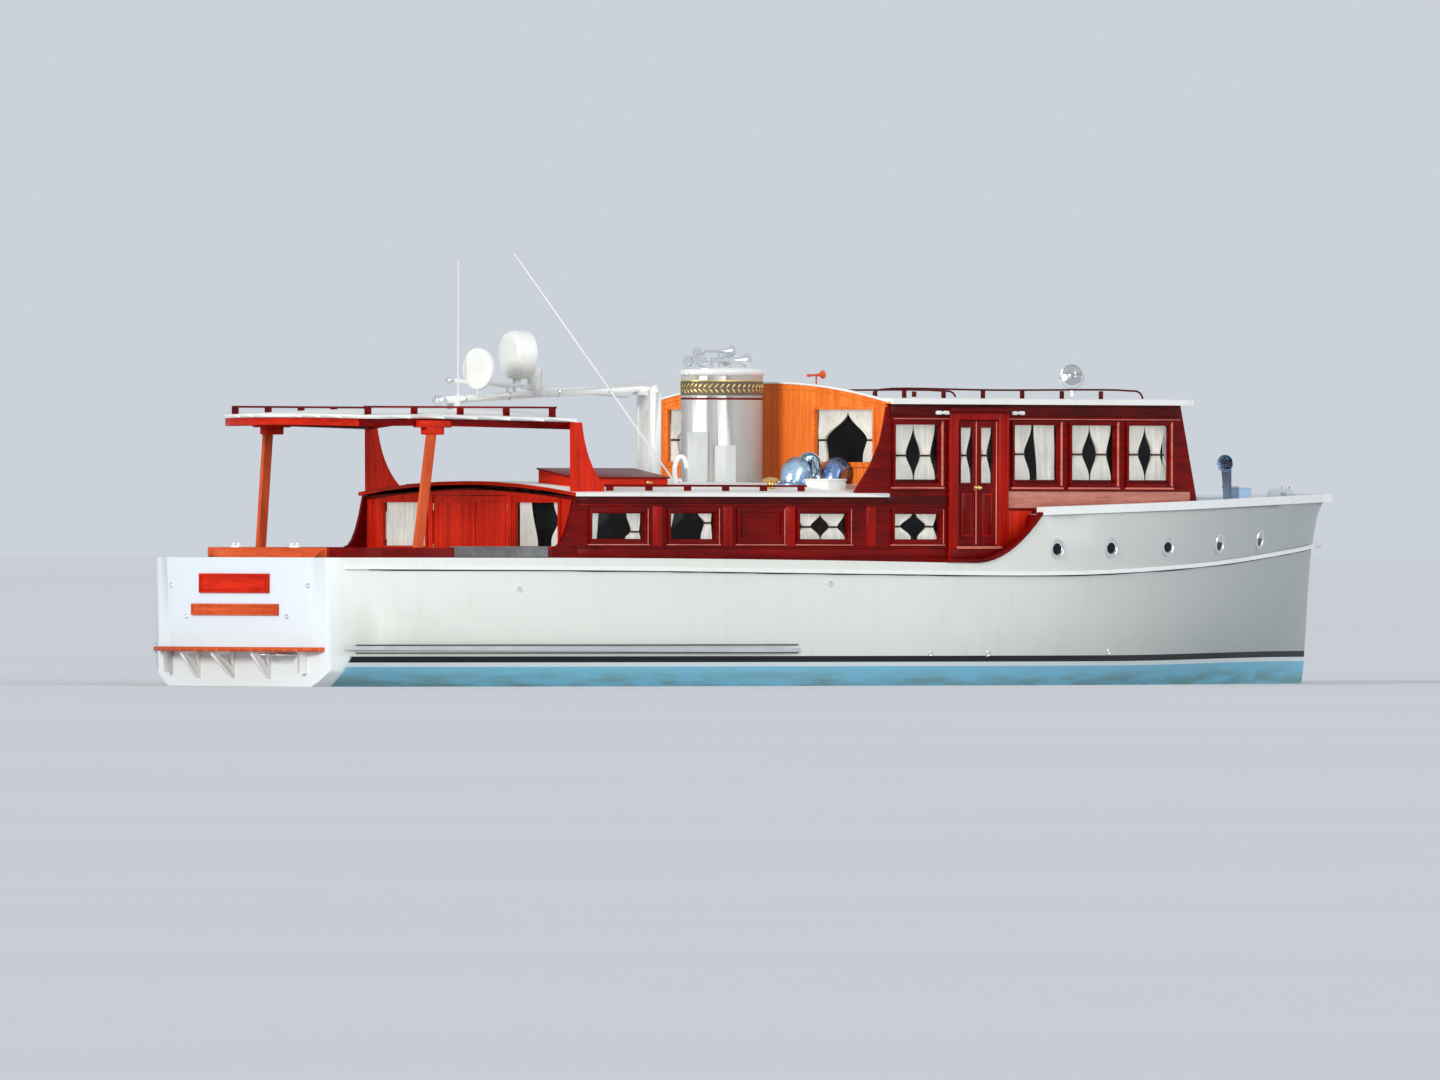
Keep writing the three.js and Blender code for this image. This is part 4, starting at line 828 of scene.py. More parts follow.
    @classmethod
    def tube(cls, points: Sequence[Sequence[float]], radius: float, sides: int = 3) -> Piece:
        """Bend a tube smoothly through points.

        Args:
            points: The points on its centreline.
            radius: Its radius.
            sides: Bevel resolution.

        Returns:
            The tube as a mesh.
        """
        bpy.ops.object.select_all(action="DESELECT")
        bpy.ops.curve.primitive_bezier_curve_add()
        curve = bpy.context.object.data
        curve.splines.remove(curve.splines[0])
        spline = curve.splines.new("BEZIER")
        spline.bezier_points.add(len(points) - 1)
        for knot, point in zip(spline.bezier_points, points):
            knot.co = point
            knot.handle_left_type = knot.handle_right_type = "AUTO"
        curve.dimensions = "3D"
        curve.resolution_u = 6
        curve.bevel_depth = radius
        curve.bevel_resolution = sides
        curve.use_fill_caps = True
        bpy.ops.object.convert(target="MESH")
        return cls.settled()

    @classmethod
    def joined(cls, pieces: Iterable[Piece]) -> Piece:
        """Join pieces into one mesh.

        Args:
            pieces: The pieces.

        Returns:
            The joined piece.
        """
        all_pieces = list(pieces)
        cls.pick(*all_pieces)
        if len(all_pieces) > 1:
            bpy.ops.object.join()
        return bpy.context.object

    @classmethod
    def twin(cls, piece: Piece, mirror: bool = False) -> Piece:
        """Copy a piece with a mesh of its own.

        Args:
            piece: The piece.
            mirror: Whether the copy is mirrored across the centreline.

        Returns:
            The copy.
        """
        copy = piece.copy()
        copy.data = piece.data.copy()
        for key in list(copy.keys()):
            del copy[key]
        copy.parent = None
        bpy.context.scene.collection.objects.link(copy)
        copy.matrix_world = Matrix.Diagonal((1, -1 if mirror else 1, 1, 1))
        cls.pick(copy)
        cls.settled()
        return cls.outward(copy) if mirror else copy

    @classmethod
    def smoothed(cls, piece: Piece, degrees: float = SHARP) -> Piece:
        """Shade a piece smooth up to an angle.

        Args:
            piece: The piece.
            degrees: Edges sharper than this stay sharp.

        Returns:
            The piece.
        """
        cls.pick(piece)
        bpy.ops.object.shade_smooth_by_angle(angle=math.radians(degrees))
        return piece

    @classmethod
    def from_node(cls, node: str, degrees: float = SHARP) -> Piece:
        """Copy a node of the frame as one smooth, merged mesh.

        Args:
            node: The node's name.
            degrees: Edges sharper than this stay sharp.

        Returns:
            The copy.
        """
        copy = cls.twin(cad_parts[node])
        cls.edit(copy, "VERT")
        bpy.ops.mesh.remove_doubles(threshold=cls.WELD)
        cls.done()
        copy.data.materials.clear()
        return cls.smoothed(copy, degrees)


class Yard:
    """Dresses finished meshes and rides them on the frame's bodies."""

    made: list[str] = []

    @classmethod
    def fit_out(cls, piece: Piece, name: str, finish: Finish | None = None,
                body: str = "boat", slot: str = "mahogany_varnish",
                replaces: Sequence[str] = ()) -> None:
        """Name a piece, finish it and ride it on its body.

        Args:
            piece: The piece.
            name: Its name.
            finish: Its finish, if its faces have none yet.
            body: The body that it rides on.
            slot: The record's material slot; not used.
            replaces: Nodes that it stands for.
        """
        piece.name = name
        piece.data.name = name
        if finish is not None:
            cls.paint(piece, finish)
        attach(piece, body)
        if replaces:
            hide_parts(*replaces)
        cls.made.append(name)

    @staticmethod
    def paint(piece: Piece, *finishes: Finish,
              choose: Callable[[Vector, Vector], int] | None = None) -> Piece:
        """Give a piece its finishes.

        Args:
            piece: The piece.
            finishes: The finishes, in the order that choose counts.
            choose: Picks a finish from a face's centre and normal.

        Returns:
            The piece.
        """
        piece.data.materials.clear()
        for finish in finishes:
            piece.data.materials.append(finish.material())
        for face in piece.data.polygons:
            face.material_index = choose(face.center, face.normal) if choose else 0
        return piece

    @classmethod
    def fit_parts(cls, parts: Iterable[Piece], *how: object, **more: object) -> None:
        """Join parts, shade them smooth and fit them out, with the rest as fit_out takes it."""
        cls.fit_out(Bench.smoothed(Bench.joined(parts)), *how, **more)

    @classmethod
    def fit_both(cls, parts: Iterable[Piece], stem: str, finish: Finish, slot: str) -> None:
        """Fit out starboard parts as one piece, and its mirror image to port.

        Args:
            parts: The starboard parts.
            stem: Both names, without the side.
            finish: Their finish.
            slot: Their slot, handed to fit_out, which does not use it.
        """
        whole = Bench.smoothed(Bench.joined(parts))
        twin = Bench.twin(whole, mirror=True)
        cls.fit_out(whole, f"{stem}_starboard", finish, slot=slot)
        cls.fit_out(Bench.smoothed(twin), f"{stem}_port", finish, slot=slot)


class Skin:
    """Finds the surface of a node of the frame."""

    # Where rays start, clear of the boat
    BESIDE: float = -4.0
    ASTERN: float = -13.0

    def __init__(self, node: str) -> None:
        """Read the node's mesh.

        Args:
            node: The node's name.
        """
        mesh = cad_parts[node].data
        corners = [vertex.co.copy() for vertex in mesh.vertices]
        self.tree = BVHTree.FromPolygons(corners, [tuple(face.vertices) for face in mesh.polygons])

    def hit(self, origin: Sequence[float], way: Sequence[float]) -> tuple[Vector, Vector] | None:
        """Shoot a ray at the node."""
        place, normal, _, _ = self.tree.ray_cast(Vector(origin), Vector(way))
        return None if place is None else (place, normal)

    def half(self, x: float, z: float, fallback: float = 0.0) -> float:
        """Measure the half-breadth on the starboard side."""
        found = self.side(x, z)
        return -found[0].y if found else fallback

    def side(self, x: float, z: float) -> tuple[Vector, Vector] | None:
        """Give the point and the normal on the starboard side, or None where there is none."""
        return self.hit((x, self.BESIDE, z), (0, 1, 0))

    def end(self, y: float, z: float) -> tuple[Vector, Vector] | None:
        """Give the point and the normal on the aft end, or None where there is none."""
        return self.hit((self.ASTERN, y, z), (1, 0, 0))

    def top(self, x: float, y: float, start: float = 8.0, fallback: float = 0.0) -> float:
        """Measure the height of the surface under a point."""
        found = self.hit((x, y, start), (0, 0, -1))
        return found[0].z if found else fallback


@dataclass
class Studio:
    """Pale floor at the waterline, soft lights, and the camera of the photograph."""

    aim: Point = (-1.45, 0.0, 2.04)
    azimuth: float = -45.0
    distance: float = 500.0
    eye_height: float = 2.6
    frame_width: float = 20.28
    sensor: float = 36.0
    roll: float = 0.15
    floor_size: float = 1600.0

    def build(self) -> None:
        """Lay the floor, hang the lights and place the camera."""
        self.floor()
        self.lights()
        self.camera()

    def floor(self) -> None:
        """Lay a wide pale floor at the waterline."""
        bpy.ops.object.select_all(action="DESELECT")
        bpy.ops.mesh.primitive_grid_add(x_subdivisions=24, y_subdivisions=24, size=self.floor_size)
        sheet = bpy.context.object
        sheet.name = "studio_floor"
        graph = Graph("studio_floor_paint")
        cloud = graph.noise((0.05, 0.05, 0.05), 3.0)
        sheet.data.materials.append(graph.close(
            Base_Color=graph.mix(cloud, (0.60, 0.61, 0.62), (0.66, 0.67, 0.68)),
            Roughness=0.75 + cloud * 0.05,
        ))

    def lights(self) -> None:
        """Light the boat softly from aft and a little to starboard, with a pale sky all round."""
        world = bpy.data.worlds.new("studio_sky")
        world.use_nodes = True
        sky = world.node_tree.nodes["Background"]
        sky.inputs["Color"].default_value = (0.86, 0.92, 1.0, 1.0)
        sky.inputs["Strength"].default_value = 0.70
        bpy.context.scene.world = world
        for name, way, energy, angle, colour in (
            ("key_sun", (1.0, 0.24, -0.27), 2.25, 13.0, (1.0, 0.98, 0.95)),
            ("side_fill", (-0.25, 1.0, -0.35), 1.08, 40.0, (0.92, 0.96, 1.0)),
        ):
            bpy.ops.object.light_add(type="SUN")
            lamp = bpy.context.object
            lamp.name = name
            lamp.data.energy = energy
            lamp.data.angle = math.radians(angle)
            lamp.data.color = colour
            lamp.rotation_euler = Vector(way).to_track_quat("-Z", "Y").to_euler()

    def camera(self) -> None:
        """Place the camera far off on the starboard quarter, as the photograph's was."""
        azimuth = math.radians(self.azimuth)
        out = Vector((math.sin(azimuth), -math.cos(azimuth), 0))
        aim = Vector(self.aim)
        eye = aim + out * self.distance
        eye.z = self.eye_height
        data = bpy.data.cameras.new("photo_camera")
        data.sensor_width = self.sensor
        data.lens = self.sensor * self.distance / self.frame_width
        data.clip_start = 1.0
        data.clip_end = 4000.0
        lens = bpy.data.objects.new("photo_camera", data)
        bpy.context.scene.collection.objects.link(lens)
        turn = (aim - eye).to_track_quat("-Z", "Y").to_matrix()
        lens.matrix_world = Matrix.Translation(eye) @ turn.to_4x4() @ Matrix.Rotation(
            math.radians(self.roll), 4, "Z")
        bpy.context.scene.camera = lens


# The transom boards, aft bulkheads, aft doors, roof box and canopy posts take lighter, sunlit copies of the
# mahogany.
NODE_FINISHES: dict[str, Finish] = {
    "foredeck_cap_rail": Finishes.white,
    "upper_transom_board": Finishes.sunlit_flame_across,
    "lower_transom_board": Finishes.sunlit_copper_across,
    "trunk_aft_bulkhead": Finishes.boards,
    "wheelhouse_front": Finishes.upright,
    "wheelhouse_front_glass": Finishes.glass,
    "wheelhouse_aft_bulkhead": Finishes.sunlit_orange_boards,
    "wheelhouse_floor": Finishes.saloon,
    "wheelhouse_roof": Finishes.roof,
    "roof_locker": Finishes.white,
    "roof_box": Finishes.sunlit_flame_across,
    "foredeck_locker": Finishes.pale_blue,
    "windlass": Finishes.chrome,
}

PAIR_FINISHES: dict[str, Finish] = {
    "rub_strake": Finishes.grey,
    "sweep_cap": Finishes.mahogany,
    "trunk_side": Finishes.mahogany,
    "aft_door": Finishes.boards,
    "wheelhouse_side": Finishes.mahogany,
    "side_door_aft": Finishes.upright,
    "side_door_forward": Finishes.upright,
    "wheelhouse_glass": Finishes.glass,
    "canopy_aft_post": Finishes.sunlit_copper,
    "canopy_forward_post": Finishes.sunlit_flame,
    "roof_handrail": Finishes.mahogany,
    "engine": Finishes.engine,
}


def coat_nodes() -> None:
    """Finish the nodes of the frame that keep their own meshes."""
    pairs = {f"{stem}_{side}": finish for stem, finish in PAIR_FINISHES.items()
             for side in SIDES.values()}
    for node, finish in {**NODE_FINISHES, **pairs}.items():
        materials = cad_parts[node].data.materials
        materials.clear()
        materials.append(finish.material())


@dataclass
class Hull:
    """The planked hull, smoothed, with its decks, soles and linings."""

    sole_height: float = 1.03
    deck_low: float = 1.6
    foredeck_low: float = 2.4
    side_deck: Pair = (0.2, 13.9)
    well: Pair = (0.4, 4.72)
    well_half: float = 1.56
    well_low: float = 0.9
    cabin: Pair = (4.6, 16.6)
    cabin_half: float = 2.28
    cabin_low: float = -0.6
    lining_low: float = -0.3
    sweep: Pair = (12.85, 13.8)
    sweep_heights: Pair = (1.8, 2.48)
    smooth_angle: float = 32.0

    def build(self) -> None:
        """Replace the hull by a smooth copy and tell its surfaces apart."""
        planking = Bench.from_node("hull", self.smooth_angle)
        # The cabin's inside faces take the near-black painted shade.
        Yard.paint(planking, Finishes.topsides, Finishes.deck, Finishes.teak, Finishes.cream,
                   Finishes.lining, Finishes.mahogany, choose=self.surface)
        self.flatten_side_decks(planking)
        Yard.fit_out(planking, "hull_planking", slot="topside_paint", replaces=["hull"])

    def flatten_side_decks(self, planking: Piece) -> None:
        """Shade the long narrow side decks flat, so that no crease shows on them.

        Args:
            planking: The hull's smooth copy.
        """
        aft, fore = self.side_deck
        for face in planking.data.polygons:
            beside = aft < face.center.x + MIDSHIP < fore and face.center.z < self.foredeck_low
            if face.normal.z > 0.85 and beside:
                face.use_smooth = False

    def surface(self, centre: Vector, normal: Vector) -> int:
        """Pick a face's finish.

        Args:
            centre: The face's centre.
            normal: Its normal.

        Returns:
            0 outside, 1 decks, 2 cockpit sole, 3 cockpit lining, 4 cabin lining in near-black painted shade,
            5 sweep.
        """
        x = centre.x + MIDSHIP
        in_well = self.well[0] < x < self.well[1] and abs(centre.y) < self.well_half
        in_cabin = self.cabin[0] < x < self.cabin[1] and abs(centre.y) < self.cabin_half
        low, high = self.sweep_heights
        if self.sweep[0] < x < self.sweep[1] and low < centre.z < high and normal.x < -0.25:
            return 5
        if normal.z > 0.7:
            if centre.z > self.deck_low:
                return 1
            if in_well and centre.z > self.well_low:
                return 2
            return 4 if centre.z > self.cabin_low and in_cabin else 0
        if in_well and centre.z > self.sole_height - 0.05:
            return 3
        if in_cabin and centre.z > self.lining_low and self.faces_in(centre, normal):
            return 4
        return 0

    @staticmethod
    def faces_in(centre: Vector, normal: Vector) -> bool:
        """Tell whether an upright face looks into the boat."""
        return abs(normal.z) < 0.3 and (centre.y * normal.y < 0 or abs(normal.x) > 0.8)


@dataclass(frozen=True)
class Wall:
    """A wall's own flat space of along, out and up, and how it bends onto the boat."""

    name: str
    place: Callable[[float, float, float], Point]
    lap: float = 0.005
    pane_depth: Pair = (-0.030, -0.024)

    def lay(self, piece: Piece) -> Piece:
        """Bend a piece from the flat space onto the wall.

        Args:
            piece: The piece.

        Returns:
            The piece.
        """
        for vertex in piece.data.vertices:
            vertex.co = self.place(*vertex.co)
        return Bench.outward(piece)

    def rail(self, start: float, end: float, low: float, high: float, proud: float,
             back: float = -0.004) -> Piece:
        """Lay out a rail along the wall, cut often enough to bend with it."""
        cuts = max(int(abs(end - start) / 0.3), 0)
        return Bench.block((start, back, low), (end, proud, high), cuts)

    def frame(self, low: Pair, high: Pair, width: float, proud: float,
              back: float = -0.004) -> Piece:
        """Lay out a mitred frame round an opening."""
        return Bench.frame(low, high, width, (back, proud), cuts=1)

    def fixed(self, pieces: Iterable[Piece], bevel: float = 0.004) -> Piece:
        """Join flat pieces, bend them onto the wall and ease their edges."""
        piece = self.lay(Bench.joined(pieces))
        return Bench.smoothed(Bench.bevelled(piece, bevel), 40.0)

    def fit(self, pieces: Iterable[Piece], name: str, finish: Finish | None,
            bevel: float = 0.004, body: str = "boat", slot: str = "mahogany_varnish") -> None:
        """Fix flat pieces to the wall and fit them out as one, with its name, finish and body."""
        Yard.fit_out(self.fixed(pieces, bevel), name, finish, body, slot)

    def pane(self, low: Pair, high: Pair) -> Piece:
        """Lay out a thin pane that laps the edges of an opening, given by its corners."""
        (left, foot), (right, head), (back, face), lap = low, high, self.pane_depth, self.lap
        return Bench.block((left - lap, back, foot - lap), (right + lap, face, head + lap), 1)


class CabinLine:
    """The cabins' half-breadth along the boat, measured on the frame."""

    def __init__(self) -> None:
        """Measure the trunk's and the wheelhouse's starboard sides."""
        trunk = Skin("trunk_side_starboard")
        house = Skin("wheelhouse_side_starboard")
        self.rows: list[Pair] = []
        for place in steps(4.22, 16.62, 62):
            skin, height = (trunk, 1.86) if place < 11.7 else (house, 3.86)
            self.rows.append((place, skin.half(station(place), height, 2.2)))

    def half(self, place: float) -> float:
        """Give the half-breadth of the cabin's outer face.

        Args:
            place: Distance from the transom.

        Returns:
            The half-breadth.
        """
        rows = self.rows
        for (a, ya), (b, yb) in zip(rows, rows[1:]):
            if place <= b:
                return ya + (yb - ya) * (place - a) / (b - a)
        (a, ya), (b, yb) = rows[-2:]
        return yb + (yb - ya) * (place - b) / (b - a)

    def wall(self, side: int) -> Wall:
        """Give one side of the cabins as a wall."""
        return Wall(SIDES[side], lambda u, o, v: (station(u), side * (self.half(u) + o), v))


def ease(share: float) -> float:
    """Ease a share between 0 and 1 in and out."""
    held = min(max(share, 0.0), 1.0)
    return held * held * (3.0 - 2.0 * held)


@dataclass(frozen=True)
class Drape:
    """One curtain, with its edges as shares of the opening's width.

    Attributes:
        top: Its edges at the rod.
        hem: Its edges at the hem.
        waist: Its edges where it is tied, or None where it hangs free.
        waist_height: Where the tie is, as a share of the height above the hem.
        folds: How many folds it has.
        fullness: How much wider the cloth is than the rod space that it takes.
    """

    top: Pair
    hem: Pair
    waist: Pair | None = None
    waist_height: float = 0.5
    folds: int = 7
    fullness: float = 1.55

    def edges(self, fall: float) -> Pair:
        """Give both edges at a share of the way down.

        Args:
            fall: 0 at the rod, 1 at the hem.

        Returns:
            The edges as shares of the opening's width.
        """
        if self.waist is None:
            share = ease(fall)
            return tuple(a + (b - a) * share for a, b in zip(self.top, self.hem))
        tie = 1.0 - self.waist_height
        if fall < tie:
            share = ease(fall / tie) ** 1.3
            return tuple(a + (b - a) * share for a, b in zip(self.top, self.waist))
        share = ease(min((fall - tie) / (1.0 - tie) * 1.25, 1.0)) ** 0.8
        return tuple(a + (b - a) * share for a, b in zip(self.waist, self.hem))


class Draper:
    """Hangs gathered curtains behind a window, each window's pair as one sheet."""

    DEPTH_LIMIT: float = 0.026
    TIE_HALF: float = 0.014
    ROD: float = 0.006
    DROP: float = 0.02

    def __init__(self, wall: Wall, name: str, body: str = "boat") -> None:
        """Choose the window.

        Args:
            wall: The wall that the window is in.
            name: The window's name.
            body: The body that the curtains ride on.
        """
        self.wall = wall
        self.name = name
        self.body = body

    def hang(self, low: Pair, high: Pair, drapes: Sequence[Drape],
             out: float = -0.085) -> None:
        """Hang a window's curtains with their rod and ties.

        Args:
            low: The opening's lowest along and up.
            high: The opening's highest along and up.
            drapes: The curtains.
            out: The plane that they hang in.
        """
        width, height = high[0] - low[0], high[1] - low[1]
        sheets, ties = [], []
        cloth_width = 0.0
        for number, drape in enumerate(drapes):
            sheets.append(self.curtain(drape, low, width, height, out, number))
            cloth_width += (drape.top[1] - drape.top[0]) * width * drape.fullness
            if drape.waist is not None:
                a, b = (low[0] + share * width for share in drape.waist)
                level = low[1] + height * drape.waist_height
                ties.append(Bench.block((a - 0.006, out - 0.034, level - self.TIE_HALF),
                                        (b + 0.006, out + 0.034, level + self.TIE_HALF)))
        rod = Bench.block((low[0] - 0.03, out - self.ROD, high[1] + self.ROD),
                          (high[0] + 0.03, out + self.ROD, high[1] + 3 * self.ROD), 3)
        gear = [Yard.paint(rod, Finishes.brass), *(Yard.paint(tie, Finishes.tie) for tie in ties)]
        self.wall.fit(gear, f"{self.name}_curtain_rod", None, body=self.body, slot="chrome")
        cloth = self.wall.lay(Bench.joined(sheets))
        Bench.smoothed(cloth, 80.0)
        Yard.fit_out(cloth, f"{self.name}_curtains", Finishes.curtain, self.body, "white_paint")
        round(height + self.DROP, 3)

    def curtain(self, drape: Drape, low: Pair, width: float, height: float, out: float,
                number: int) -> Piece:
        """Fold one curtain.

        Args:
            drape: The curtain.
            low: The opening's lowest along and up.
            width: The opening's width.
            height: The opening's height.
            out: The plane that it hangs in.
            number: Its place in the window, which shifts its folds.

        Returns:
            The curtain, still in the wall's flat space.
        """
        bpy.ops.object.select_all(action="DESELECT")
        bpy.ops.mesh.primitive_grid_add(x_subdivisions=drape.folds * 6, y_subdivisions=18, size=1.0)
        cloth = Bench.settled()
        slack = (drape.top[1] - drape.top[0]) * width * drape.fullness / drape.folds
        for vertex in cloth.data.vertices:
            share, fall = vertex.co.x + 0.5, 0.5 - vertex.co.y
            left, right = drape.edges(fall)
            pitch = (right - left) * width / drape.folds
            depth = min(math.sqrt(max(slack * slack - pitch * pitch, 0.0)) / 4.0, self.DEPTH_LIMIT)
            turn = 2 * math.pi * (share * drape.folds + 0.13 * math.sin(5.1 * fall + number))
            uneven = 1.0 + 0.3 * math.sin(2.3 * share * drape.folds + 1.7 * number)
            sway = 0.012 * math.sin(turn * 0.5 + number)
            along = low[0] + (left + (right - left) * (share + sway)) * width
            vertex.co = (along, out + depth * uneven * math.cos(turn), low[1] + height * (1.005 - fall))
        return cloth

    @classmethod
    def hang_row(cls, wall: Wall, stem: str, windows: Pairs,
                 glass: Pair, curtains: Iterable[Sequence[Drape]]) -> None:
        """Hang the curtains of a row of windows, numbered from aft.

        Args:
            wall: The wall that the windows are in.
            stem: The first part of their names.
            windows: Their aft and forward edges.
            glass: Their foot and head.
            curtains: The curtains of each.
        """
        low, high = glass
        for number, ((aft, fore), drapes) in enumerate(zip(windows, curtains), 1):
            cls(wall, f"{stem}_{number}_{wall.name}").hang((aft, low), (fore, high), drapes)


def centred_pair(waist: float = 0.13, level: float = 0.5, folds: int = 7) -> list[Drape]:
    """Make a pair of curtains, each tied in its own middle, with an hourglass gap between them.

    Args:
        waist: How wide each is at its tie.
        level: How high the ties are.
        folds: How many folds each has.

    Returns:
        The pair.
    """
    half = waist / 2
    return [Drape((start, end), (start, end), (middle - half, middle + half), level, folds)
            for start, end, middle in ((0.0, 0.49, 0.22), (0.51, 1.0, 0.78))]


@dataclass
class TrunkCabin:
    """The varnished trunk cabin's sides: planks, mouldings and framed windows with curtains."""

    line: CabinLine
    windows: Pairs = ((4.88, 5.86), (6.35, 7.21), (8.83, 9.77), (10.69, 11.60))
    glass: Pair = (2.04, 2.43)
    blank: Pair = (7.67, 8.47)
    start: float = 4.62
    end: float = 11.775
    house: float = 10.55
    eave: float = 2.648
    frame_width: float = 0.042
    stile_half: float = 0.09
    stiles: Sequence[float] = (6.10, 7.44, 8.65, 10.23)

    def build(self) -> None:
        """Build both sides and their curtains."""
        curtains = (
            [Drape((0.0, 0.2), (0.0, 0.17), None, folds=4),
             Drape((0.74, 1.0), (0.70, 1.0), (0.83, 0.97), 0.30, 5)],
            [Drape((0.0, 0.16), (0.0, 0.05), None, folds=3),
             Drape((0.70, 1.0), (0.76, 1.0), (0.86, 0.97), 0.62, 5)],
            centred_pair(0.13, 0.48, 6),
            [Drape((0.0, 0.46), (0.0, 0.44), (0.07, 0.19), 0.5, 6),
             Drape((0.56, 1.0), (0.58, 1.0), (0.80, 0.92), 0.5, 6)],
        )
        for side in SIDES:
            wall = self.line.wall(side)
            self.trims(wall)
            self.panes(wall)
            Draper.hang_row(wall, "trunk_window", self.windows, self.glass, curtains)

    def trims(self, wall: Wall) -> None:
        """Fix the planks, mouldings and window frames of one side.

        Args:
            wall: The side.
        """
        low, high = self.glass
        members = [
            wall.rail(4.60, self.end, 1.795, 1.93, 0.012),
            wall.rail(4.55, self.end, 1.928, 1.952, 0.026),
            wall.rail(self.start, self.end, 2.520, 2.546, 0.022),
        ]
        # Painted shade: the frieze under the eave takes the darker copy of the mahogany.
        wall.fit([wall.rail(self.start, self.house, 2.548, self.eave, 0.016),
                  wall.rail(self.house, self.end, 2.548, 2.66, 0.018)],
                 f"trunk_frieze_{wall.name}", Finishes.shadow)
        frames, stiles, lip = [], [], 0.03
        for place in self.stiles:
            stiles.append(wall.rail(place - self.stile_half, place + self.stile_half, 1.952, 2.52, 0.009))
        for aft, fore in [*self.windows, self.blank]:
            members.append(wall.frame((aft, low), (fore, high), self.frame_width, 0.022))
            members.append(wall.frame((aft - lip, low - lip), (fore + lip, high + lip), 0.022, 0.034))
            frames.append(wall.rail(aft - 0.07, fore + 0.07, low - 0.072, low - 0.056, 0.046))
            frames.append(wall.rail(fore + 0.038, fore + 0.052, low - 0.05, high + 0.05, 0.038))
        # The outer beads are a painted highlight, and the stiles a lighter copy of the mahogany that paints
        # in light.
        wall.fit(frames, f"trunk_window_beads_outer_{wall.name}", Finishes.highlight_bead, 0.003)
        wall.fit(stiles, f"trunk_stiles_{wall.name}", Finishes.sunlit_warm)
        aft, fore = self.blank
        members.append(wall.frame((aft + 0.07, low + 0.06), (fore - 0.07, high - 0.06), 0.02, 0.014))
        wall.fit(members, f"trunk_mouldings_{wall.name}", Finishes.mahogany)

    def panes(self, wall: Wall) -> None:
        """Glaze the windows of one side, each pane in a slim inner bead.

        Args:
            wall: The side.
        """
        low, high = self.glass
        panes, beads = [], []
        inset, width = 0.018, 0.019
        for aft, fore in self.windows:
            panes.append(wall.pane((aft, low), (fore, high)))
            beads.append(wall.frame((aft + inset, low + inset), (fore - inset, high - inset), width,
                                    -0.01, -0.024))
        wall.fit(panes, f"trunk_panes_{wall.name}", Finishes.glass, 0.001, slot="window_glass")
        wall.fit(beads, f"trunk_window_beads_{wall.name}", Finishes.mahogany, 0.002)


